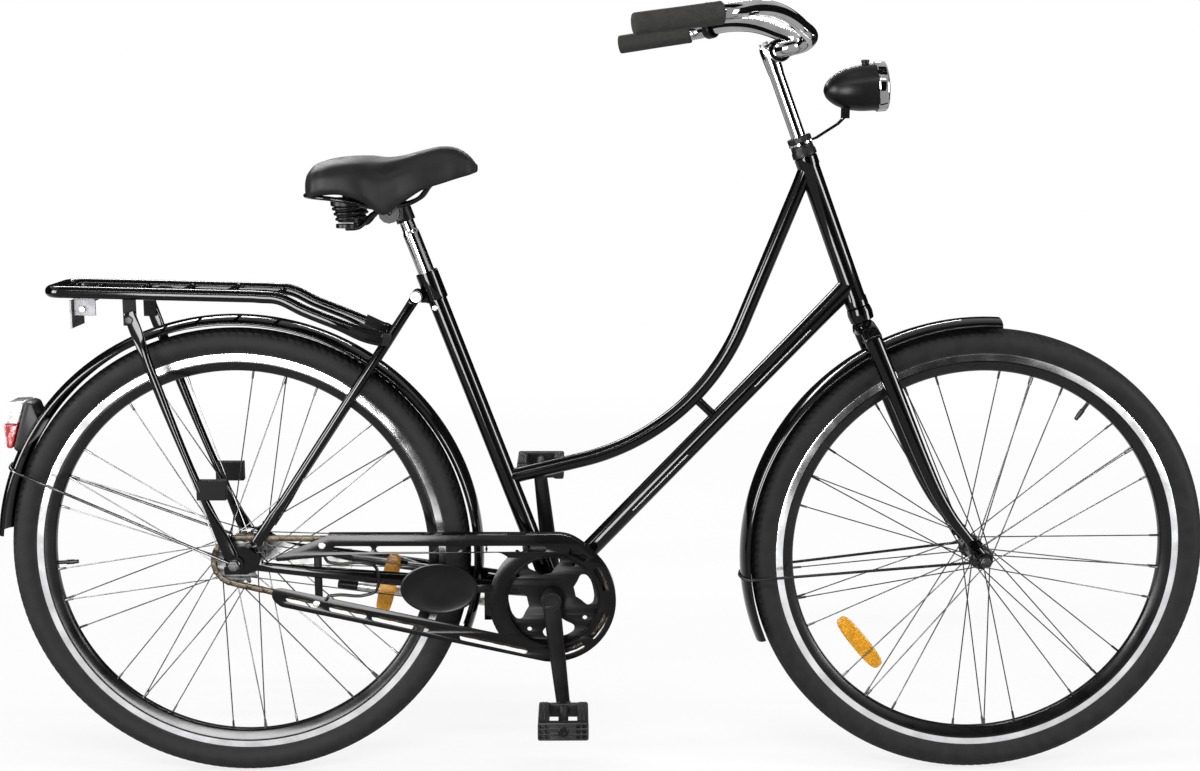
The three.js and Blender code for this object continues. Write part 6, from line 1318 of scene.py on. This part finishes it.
# %% [markdown]
# ## Rack, tail lamp and stand
# The rack is one loop of tube, bent down at its front and pinched flat where it is bolted to the stays. Half of
# it is drawn and mirrored, and the ring's half sizes change along it.

# %% Rack
RACK_HALF, RACK_HEIGHT, RACK_REAR, RACK_LONG, RACK_CORNER = 56.0, 772.0, -263.0, 490, 22
rail_shares = np.array([[1, -71, 0.82], [0.955, -65, 0.9], [0.88, -49, 1], [0.77, -27, 1], [0.69, -9, 1]])
rail = np.column_stack([RACK_REAR + RACK_LONG * rail_shares[:, 0], -RACK_HALF * rail_shares[:, 2],
                        RACK_HEIGHT + rail_shares[:, 1]])
corner_angle = np.radians(np.linspace(0, 90, 12))
corner = np.stack([RACK_REAR + RACK_CORNER * (1 - np.sin(corner_angle)),
                   -RACK_HALF + RACK_CORNER * (1 - np.cos(corner_angle)), np.full(12, RACK_HEIGHT)], -1)
straight_rail = straight(np.array([40.0, -RACK_HALF, RACK_HEIGHT - 6.4]),
                         np.array([RACK_REAR + 23, -RACK_HALF, RACK_HEIGHT]), 30)
bend_rows = smooth_rows(np.concatenate([rail, [[48.0, -RACK_HALF, RACK_HEIGHT - 7.2]]]), 60)
rack_half = np.concatenate([bend_rows[:-1], straight_rail, corner[1:]])
rack_path = np.concatenate([rack_half, (rack_half * mirror_y)[::-1]])
run_share = np.clip((rack_path[:, 0] - 140) / 90, 0, 1)
rack_wide, rack_deep = 9.0 + 2.6 * step_up(run_share, 0.2, 0.9), 9.0 - 3.6 * step_up(run_share, 0.2, 0.9)
rack_grid = tube_grid(rack_path, rack_deep, rack_wide, sides=32, hint=np.array([0.0, 0.02, 1.0]), edge=2.0)
settle(grid_object("rack_loop", rack_grid), enamel, "rack")
slat_x = np.array([-210.5, -141, -72, -2.4, 67])
slat_start = np.stack([slat_x, np.full(5, -RACK_HALF), RACK_HEIGHT - 2 - np.clip(slat_x, 0, None) * 0.09], -1)
slats = rods(slat_start, slat_start * mirror_y, [[0, 0], [0, 4.0], [0.5, 4.0], [1, 4.0], [1, 0]], sides=20)
settle(join_grids("rack_slats", slats), enamel, "rack")
feet = keep_faces(from_cad("rack_feet", "rack", 40), lambda p: (p[:, 0] > 186)
                  | ((np.abs(p[:, 0] + 143) < 11) & (p[:, 2] < 768) & (np.abs(p[:, 1]) > 52)))
settle(feet, flat_black, "rack")
print("rack", RACK_LONG, "by", 2 * RACK_HALF, "mm,", len(slat_x), "slats")

# %% [markdown]
# A leg is a tube with flattened ends; its rows say how wide and how thick it is on the way down.

# %% Rack legs
LEG_ROWS = np.array([[0, 0, 1.3, 0.29], [0.1, 0, 1.3, 0.29], [0.15, 0.1, 1.1, 0.8], [0.3, 0.3, 1, 0.9],
                     [0.8, 0.9, 1, 0.8], [0.9, 1, 1.4, 0.29], [0.975, 1, 1.5, 0.29]])
LEG_INNER, LEG_MIDDLE, LEG_TOP, LEG_FOOT, LEG_AT, LEG_HALF = 60.3, 64.9, 742, 356, -143, 7.1
for name, side in SIDES:
    x = LEG_AT * (1 - LEG_ROWS[:, 0]) - 6 * np.sin(np.pi * LEG_ROWS[:, 0])
    y = side * (LEG_INNER + (LEG_MIDDLE - LEG_INNER) * LEG_ROWS[:, 1])
    z = LEG_TOP + (LEG_FOOT - LEG_TOP) * LEG_ROWS[:, 0]
    leg_rows = smooth_rows(np.column_stack([x, y, z, LEG_HALF * LEG_ROWS[:, 2], LEG_HALF * LEG_ROWS[:, 3]]), 90)
    leg_grid = tube_grid(leg_rows[:, :3], leg_rows[:, 3], leg_rows[:, 4], sides=32, edge=1.0)
    leg = grid_object(f"{name}_leg_bar", leg_grid)
    settle(leg, enamel, f"{name}_rack_leg")
    guard = keep_faces(from_cad(f"{name}_leg_clip", f"{name}_rack_leg", 40, 3.4),
                       lambda p: np.abs(p[:, 2] - 473) < 16.5)
    settle(guard, flat_black, f"{name}_rack_leg")
    foot = keep_faces(from_cad(f"{name}_leg_foot", f"{name}_rack_leg", 40, 0.8),
                      lambda p: np.linalg.norm(p[:, [0, 2]] - [0, LEG_FOOT], axis=1) < 15)
    settle(foot, flat_black, f"{name}_rack_leg")
    bolt = turned(f"{name}_leg_bolt", [[0, 0], [6, 0], [6, 1.4], [4.8, 2.6], [0, 3]],
                  np.array([-143.0, side * 62.3, 731.0]), axis=SIDE * side, steps=32)
    settle(bolt, dark_steel, f"{name}_rack_leg")
    stay_bolt = turned(f"{name}_stay_bolt", [[0, 0], [4.6, 0], [4.6, 1.6], [3.6, 2.6], [0, 2.8]],
                       np.array([22.0, side * 65.4, 386.0]), axis=SIDE * side, steps=28)
    settle(stay_bolt, dark_steel, f"{name}_chainstay")
    print(leg.name, LEG_TOP - LEG_FOOT, "mm tall")

# %% [markdown]
# The tail lamp is a black housing with a clear lens over a red one. The lenses are sheets with wide round
# edges, and their prisms are the same cells as in the wheels' reflectors.

# %% Tail reflector and tail lamp
dull_plate = finish("dull_plate", (0.05, 0.05, 0.052), (0.1, 0.1, 0.102), rough=(0.4, 0.55), metallic=1.0, drift=60,
                    relief=(1200, 0.04))
settle(from_cad("tail_plate", "tail_reflector", 30, 0.5), dull_plate, "tail_reflector")
settle(turned("tail_plate_bolt", [[0, 0], [5.5, 0], [5.5, 3], [4.5, 4], [0, 4]], np.array([-224.0, -18.2, 742.0]),
              axis=-SIDE, steps=6, bevel=0.3), zinc, "tail_reflector")
red = finish("red_lens", (0.42, 0.005, 0.006), (0.6, 0.012, 0.012), rough=(0.08, 0.16), drift=200, relief=(700, 0.1),
             coat=0.5)
clear = finish("clear_lens", (0.55, 0.53, 0.53), (0.78, 0.76, 0.76), rough=(0.08, 0.16), metallic=0.25, drift=160,
               relief=(700, 0.1), coat=0.5)
for stuff in (red, clear):
    cell_relief(stuff, 380, 0.4)
housing_outline = [[-318.5, 600], [-307.5, 597], [-296.5, 566], [-312, 541], [-332, 520], [-340.5, 527]]
housing = plate("tail_lamp_shell", rounded_corners(housing_outline, 4), [], -22, 22, 3.0)
settle(housing, satin, "tail_lamp_housing")
upper = plate("tail_lens_clear", rounded_corners([[-319.5, 600.3], [-330.2, 566], [-352, 566], [-345.5, 599]], 3), [],
              -24, 24, 2.2)
settle(upper, clear, "tail_lamp_lens")
lower = plate("tail_lens_red", rounded_corners([[-330.4, 565.4], [-341.8, 527], [-349.5, 529], [-352.2, 565.4]], 3),
              [], -24, 24, 2.2)
settle(lower, red, "tail_lamp_lens")
print("tail lamp:", housing.name, upper.name, lower.name)

# %% [markdown]
# The stand folds up along the left chainstay: a zinc rod with a rubber tip on a turned hub. The CAD model has
# the full shape of its bracket and of the coaster brake's arm.

# %% Stand and brake arm
settle(from_cad("stand_bracket", "kickstand_bracket", 35, 0.8), enamel, "kickstand_bracket")
stand_root, stand_foot = np.array([385.0, 39.5, 262.0]), np.array([141.3, 57.5, 287.6])
stand_path = straight(stand_root, stand_foot, 60)
settle(grid_object("stand_leg", tube_grid(stand_path, 7.05, sides=32, edge=1.0)), zinc, "kickstand_leg")
stand_way = stand_root - stand_foot
tip_path = straight(stand_foot + stand_way * 0.11, stand_foot - stand_way * 0.004, 20)
settle(grid_object("stand_tip", tube_grid(tip_path, 8.6, sides=32, edge=2.4)), satin, "kickstand_leg")
settle(turned("stand_hub", [[4.4, 30.4], [11, 30.4], [12, 31.4], [12, 48], [11, 49], [4.4, 49]],
              np.array([385.0, 0, 262.0]), steps=48, closed=True), zinc, "kickstand_leg")
settle(from_cad("coaster_arm", "brake_arm", 35, 0.5), zinc, "brake_arm")
print("stand leg", round(float(np.linalg.norm(stand_way))), "mm long")

# %% [markdown]
# ## Saddle
# The cushion is a loft: a table of sections from tail to nose, each with its crown height, edge height and
# half width. Between its edge and its crown a section follows one shared curve. Foam and cover are one
# surface, with a shallow seam and a fine grain; under it a plastic pan, two springs and the rails.

# %% Cushion
SADDLE = np.array([
    [119, 0, 0, 930, 925, 30], [123, 0, 0, 944, 918, 62], [130, 0, 0, 955, 914, 85], [150, 0, 0, 966, 917, 102],
    [180, 0, 0, 971, 918, 107], [211, 0, 0, 972, 907, 100], [238, 0, 0, 970, 888, 78], [262, 0, 0, 973, 905, 55],
    [290, 0, 0, 980, 922, 38], [320, 0, 0, 986, 932, 30], [345, 0, 0, 982, 940, 26], [362, 0, 0, 970, 945, 20],
    [370, 0, 0, 960, 948, 11]], float)
SECTION = np.array([[0, 0, 0], [0.25, 0.006, 0], [0.5, 0.035, 0], [0.68, 0.085, 0], [0.82, 0.17, 0], [0.92, 0.3, 0],
                    [0.98, 0.46, 0], [1, 0.68, 0], [0.985, 0.9, 0], [0.95, 1, 0]])
HOLLOW, SEAM_DEPTH = 1.6, 0.9


def saddle_grid():
    """Rows along x; across, y = w a(v) and z = top - (top - edge) b(v).

    The seam and the shallow hollow along the crown, both bell curves, are taken off.
    """
    rows = smooth_rows(SADDLE, 120)
    curve = smooth_rows(SECTION, 40)[:, :2]
    a = np.concatenate([-curve[::-1, 0], curve[1:, 0]])
    b = np.concatenate([curve[::-1, 1], curve[1:, 1]])
    x, top, edge, half = rows[:, :1], rows[:, 3:4], rows[:, 4:5], rows[:, 5:6]
    y, z = half * a, top - (top - edge) * b
    wide = np.clip((half - 45) / 55, 0, 1)
    z = z - HOLLOW * wide * np.exp(-(a / 0.16) ** 2)
    seam = np.exp(-((b - 0.36) / 0.022) ** 2)
    y = y - SEAM_DEPTH * seam * np.sign(a)
    rim = np.array([0.93, 0.9, 0.86])
    under_y = np.concatenate([half * 0.95 * rim, -half * 0.95 * rim[::-1]], 1)
    under_z = np.concatenate([edge + np.array([-0.6, 0.4, 4.0]), edge + np.array([4.0, 0.4, -0.6])], 1)
    y, z = np.concatenate([y, under_y], 1), np.concatenate([z, under_z], 1)
    return np.stack([x + 0 * y, y, z], -1)


grid = saddle_grid()
first, last = grid[:1].mean(1, keepdims=True), grid[-1:].mean(1, keepdims=True)
steps = np.array([0.35, 0.7, 0.92, 1.0])
tail = [first + (grid[:1] - first) * (1 - s ** 2) ** 0.5 - np.array([2.0, 0, 0]) * s for s in steps[::-1]]
nose = [last + (grid[-1:] - last) * (1 - s ** 2) ** 0.5 + np.array([2.4, 0, 0]) * s for s in steps]
cushion = grid_object("saddle_cover", np.concatenate([*tail, grid, *nose]), sharp=70)
vinyl = finish("grained_vinyl", (0.005, 0.005, 0.0052), (0.009, 0.009, 0.0093), rough=(0.46, 0.58), drift=30,
               relief=(1100, 0.14), specular=0.1)
cell_relief(vinyl, 650, 0.14)
settle(cushion, vinyl, "saddle_cushion")
pan_side = np.array([[246, -58, 898], [238, -67, 897], [224, -80, 899], [205, -90, 904], [180, -95, 910],
                     [155, -91, 913], [137, -79, 914], [126, -58, 914.5], [122, -30, 915], [121, 0, 915]], float)
pan_path = smooth_rows(np.concatenate([pan_side, pan_side[-2::-1] * mirror_y]), 180)
settle(grid_object("saddle_pan", tube_grid(pan_path, 6.0, 3.4, sides=32, hint=UP, edge=1.5)), enamel, "saddle_base")
print("saddle", SADDLE[-1, 0] - SADDLE[0, 0], "by", 2 * SADDLE[:, 5].max(), "mm")

# %% [markdown]
# The saddle stands on a chromed post, wire rails and two coil springs. A coil is a helix whose radius grows
# upwards, swept like every tube here, with a sleeve inside it.

# %% Post, rails and springs
post_profile = [[0, 380], [12.7, 380], [12.7, 595.5], [12.4, 597.5], [11.2, 600.5], [11, 602], [11, 640], [0, 640.4]]
settle(turned("post_tube", post_profile, BRACKET, axis=SEAT_UP, steps=64), chrome, "seat_post")
clamp_middle, SPRING_AT, SPRING_SIDE, TURNS = np.array([241.0, 0, 888.0]), 182, 60, 3
settle(keep_faces(from_cad("post_clamp", "seat_post", 45),
                  lambda p: np.linalg.norm(p - clamp_middle, axis=1) < 46), satin, "seat_post")
rail_points = np.array([[182, 60, 867], [198, 46, 868], [217, 33, 886], [241, 24, 897], [268, 22, 901],
                        [286, 18, 910], [302, 13, 929], [312, 9, 934]], float)
rail_all = np.concatenate([rail_points * mirror_y, [[317, 0, 934.7]], rail_points[::-1]])
settle(grid_object("rail_wire", tube_grid(smooth_rows(rail_all, 160), 3.5, sides=20, hint=UP, edge=0.8)), satin,
       "saddle_rails")
settle(keep_faces(from_cad("rail_cheeks", "saddle_rails", 40),
                  lambda p: (np.linalg.norm((p - clamp_middle)[:, [0, 2]], axis=1) < 18)
                  & (np.abs(p[:, 1]) < 31) | (p[:, 2] < 874.5)), satin, "saddle_rails")
turn = np.linspace(0, TURNS * 2 * np.pi, 260)
share = turn / turn[-1]
coil_radius = 15 + 7 * share - 2.6
for name, side in SIDES:
    coil = np.stack([SPRING_AT + coil_radius * np.cos(turn), side * (SPRING_SIDE - coil_radius * np.sin(turn)),
                     876.6 + 22.8 * share], -1)
    settle(grid_object(f"{name}_spring_coil", tube_grid(coil, 2.6, sides=16, hint=UP, edge=0.8)), satin,
           f"{name}_saddle_spring")
for name, side in SIDES:
    spring_at = np.array([SPRING_AT, side * SPRING_SIDE, 0])
    sleeve = turned(f"{name}_spring_sleeve", [[0, 876.2], [12, 876.2], [18.4, 900.5], [0, 900.5]], spring_at, axis=UP,
                    steps=48)
    settle(sleeve, satin, f"{name}_saddle_spring")
    cup = turned(f"{name}_spring_cup", [[0, 899.5], [21, 899.5], [22.6, 901], [22.6, 912], [0, 912]], spring_at,
                 axis=UP, steps=48)
    settle(cup, satin, "saddle_base")
print("springs", TURNS, "turns, at", SPRING_AT, "mm before the rear axle")

# %% [markdown]
# ## Studio
# A white floor that runs out of sight under a white sky, long thin lamps that draw lines on the enamel,
# and a camera where the photographer stood: square to the bike's right side, a little above the saddle. The
# floor mixes paper, which takes the shadow, with a white glow that only the camera and gloss see and that
# grows away from the bike, so that the floor fades into the sky.

# %% Floor
FLOOR_RADIUS, FLOOR_DROP, FLOOR_SIDES = 14.0, 0.0006, 96
FADE_FROM, FADE_TO, GLOW_NEAR, GLOW_FAR = 1.2, 3.4, 0.8, 1.0
disc = circle(0, 0, FLOOR_RADIUS, FLOOR_SIDES)
disc = np.column_stack([disc, np.full(FLOOR_SIDES, -FLOOR_DROP)])
backdrop = mesh_object("floor", disc, [tuple(range(FLOOR_SIDES))], sharp=60)
paper = bpy.data.materials.new("pale_paper")
paper.use_nodes = True
nodes, links = paper.node_tree.nodes, paper.node_tree.links
nodes.remove(nodes["Principled BSDF"])
diffuse, glow = nodes.new("ShaderNodeBsdfDiffuse"), nodes.new("ShaderNodeEmission")
mix = nodes.new("ShaderNodeMixShader")
rays, either, share = nodes.new("ShaderNodeLightPath"), nodes.new("ShaderNodeMath"), nodes.new("ShaderNodeMath")
diffuse.inputs["Color"].default_value = (0.9, 0.9, 0.9, 1)
glow.inputs["Color"].default_value, glow.inputs["Strength"].default_value = (1, 1, 1, 1), 1.0
either.operation, share.operation = "MAXIMUM", "MULTIPLY"
spot, away = nodes.new("ShaderNodeTexCoord"), nodes.new("ShaderNodeVectorMath")
fade = nodes.new("ShaderNodeMapRange")
away.operation = "LENGTH"
fade.inputs["From Min"].default_value, fade.inputs["From Max"].default_value = FADE_FROM, FADE_TO
fade.inputs["To Min"].default_value, fade.inputs["To Max"].default_value = GLOW_NEAR, GLOW_FAR
links.new(spot.outputs["Object"], away.inputs[0])
links.new(away.outputs["Value"], fade.inputs["Value"])
links.new(fade.outputs["Result"], share.inputs[1])
links.new(rays.outputs["Is Camera Ray"], either.inputs[0])
links.new(rays.outputs["Is Glossy Ray"], either.inputs[1])
links.new(either.outputs[0], share.inputs[0])
links.new(share.outputs[0], mix.inputs["Fac"])
links.new(diffuse.outputs[0], mix.inputs[1])
links.new(glow.outputs[0], mix.inputs[2])
links.new(mix.outputs[0], nodes["Material Output"].inputs["Surface"])
backdrop.data.materials.append(paper)
print("floor", 2 * FLOOR_RADIUS, "m across")

# %% [markdown]
# Black things are lit by what they mirror. Three thin lamps light the bike plainly; tall windows and dark
# cards, seen by gloss alone, draw the long highlights on the enamel and the dark lines in the chrome.

# %% Lamps, windows and cards
def softbox(name, place, target, size, power):
    """A rectangular lamp that faces its target."""
    lamp = bpy.data.lights.new(name, "AREA")
    lamp.shape, lamp.size, lamp.size_y, lamp.energy = "RECTANGLE", size[0], size[1], power
    holder = bpy.data.objects.new(name, lamp)
    bpy.context.scene.collection.objects.link(holder)
    holder.location = place
    way = np.array(target, float) - np.array(place, float)
    holder.rotation_mode = "QUATERNION"
    holder.rotation_quaternion = Vector(way).to_track_quat("-Z", "Y")
    return holder


def highlight(name, place, target, size, radiance):
    """A window that only gloss sees: it draws its shape and adds no light. Its watts are pi x area x radiance."""
    holder = softbox(name, place, target, size, math.pi * size[0] * size[1] * radiance)
    holder.visible_diffuse = holder.visible_camera = holder.visible_transmission = False
    return holder


def flag(name, corners):
    """A dark card that only gloss sees: the dark lines that chrome shows between the windows."""
    card = mesh_object(name, np.array(corners, float), [(0, 1, 2, 3)], sharp=60)
    card.data.materials.append(card_black)
    card.visible_camera = card.visible_diffuse = card.visible_transmission = card.visible_shadow = False
    return card


card_black = bpy.data.materials.new("card_black")
card_black.use_nodes = True
card_sockets = card_black.node_tree.nodes["Principled BSDF"].inputs
card_sockets["Base Color"].default_value = (0.02, 0.02, 0.02, 1)
card_sockets["Roughness"].default_value, card_sockets["Specular IOR Level"].default_value = 1.0, 0.0
WINDOW_RADIANCE, REAR_RADIANCE = 38.0, 30.0
CARD_X, CARD_Y, CARD_TOP, CARD_FRONT = 2.7, 2.8, 2.3, -0.6
for word, place, aim, size in (
    ("left", (-0.85, -2.0, 0.62), (0, 0, 0.6), (0.8, 1.15)),
    ("far_left", (-2.3, -1.1, 1.0), (-0.2, 0, 0.6), (0.9, 1.3)),
    ("far_right", (2.3, -1.1, 1.0), (0.2, 0, 0.6), (0.7, 1.3)),
):
    highlight(f"{word}_window", place, aim, size, WINDOW_RADIANCE)
highlight("rear_window", (-1.5, 2.0, 2.5), (0, 0, 0.6), (1.4, 0.4), REAR_RADIANCE)
for word, x in (("left", -CARD_X), ("right", CARD_X)):
    flag(f"{word}_flag", [[x, CARD_FRONT, 0], [x, CARD_Y, 0], [x, CARD_Y, CARD_TOP], [x, CARD_FRONT, CARD_TOP]])
for word, y, start, end in (("front", -CARD_Y, -0.35, 2.0), ("rear", CARD_Y, -CARD_X, CARD_X)):
    flag(f"{word}_flag", [[start, y, 0], [end, y, 0], [end, y, CARD_TOP], [start, y, CARD_TOP]])
flag("top_flag", [[-1.6, -0.9, 2.4], [1.6, -0.9, 2.4], [1.6, 0.3, 2.4], [-1.6, 0.3, 2.4]])
softbox("front_strip", (0.0, -2.3, 2.7), (0, 0, 0.6), (3.4, 0.07), 64)
softbox("top_strip", (0.0, -0.5, 3.2), (0, 0, 0.5), (3.0, 0.08), 30)
softbox("rear_strip", (-0.4, 2.4, 2.4), (0, 0, 0.6), (3.0, 0.07), 40)
print("lamps and windows", len(bpy.data.lights))

# %% [markdown]
# The sky fills the shadows evenly. The camera, gloss and glass see it white instead, so that the backdrop is
# clean while the light on the bike stays at a plain level.

# %% Sky
SKY_STRENGTH = 0.36
world = bpy.data.worlds.new("studio")
bpy.context.scene.world = world
world.use_nodes = True
nodes, links = world.node_tree.nodes, world.node_tree.links
sky, white, mix = nodes["Background"], nodes.new("ShaderNodeBackground"), nodes.new("ShaderNodeMixShader")
rays, either, third = nodes.new("ShaderNodeLightPath"), nodes.new("ShaderNodeMath"), nodes.new("ShaderNodeMath")
either.operation = third.operation = "MAXIMUM"
sky.inputs["Color"].default_value, sky.inputs["Strength"].default_value = (1, 1, 1, 1), SKY_STRENGTH
white.inputs["Color"].default_value, white.inputs["Strength"].default_value = (1, 1, 1, 1), 1.0
links.new(rays.outputs["Is Camera Ray"], either.inputs[0])
links.new(rays.outputs["Is Glossy Ray"], either.inputs[1])
links.new(either.outputs[0], third.inputs[0])
links.new(rays.outputs["Is Transmission Ray"], third.inputs[1])
links.new(third.outputs[0], mix.inputs["Fac"])
links.new(sky.outputs[0], mix.inputs[1])
links.new(white.outputs[0], mix.inputs[2])
links.new(mix.outputs[0], nodes["World Output"].inputs["Surface"])
bpy.context.scene.view_settings.view_transform = "Standard"
print("sky at", SKY_STRENGTH, "for the bike and 1 for the camera")

# %% [markdown]
# The camera's place was solved from the two wheels, which are circles of a known size on one floor.

# %% Camera
CAMERA_PLACE = np.array([513.89, -2366.67, 1036.13])
YAW, PITCH, ROLL, FOCAL_PIXELS = 0.0183, -0.1733, 0.0032, 1557.96
SENSOR, PICTURE_WIDTH = 36.0, 1200
forward = np.array([math.sin(YAW) * math.cos(PITCH), math.cos(YAW) * math.cos(PITCH), math.sin(PITCH)])
level = np.array([math.cos(YAW), -math.sin(YAW), 0.0])
upward = np.cross(level, forward)
right = level * math.cos(ROLL) + upward * math.sin(ROLL)
over = -level * math.sin(ROLL) + upward * math.cos(ROLL)
lens = bpy.data.cameras.new("photo_camera")
lens.sensor_fit, lens.sensor_width, lens.lens = "HORIZONTAL", SENSOR, FOCAL_PIXELS * SENSOR / PICTURE_WIDTH
lens.clip_start, lens.clip_end = 0.05, 60
camera = bpy.data.objects.new("photo_camera", lens)
bpy.context.scene.collection.objects.link(camera)
place = to_row(CAMERA_PLACE)
camera.matrix_world = Matrix([[right[0], over[0], -forward[0], place[0]], [right[1], over[1], -forward[1], place[1]],
                              [right[2], over[2], -forward[2], place[2]], [0, 0, 0, 1]])
bpy.context.scene.camera = camera
print("camera", [round(float(v), 4) for v in place], "lens", round(lens.lens, 2))
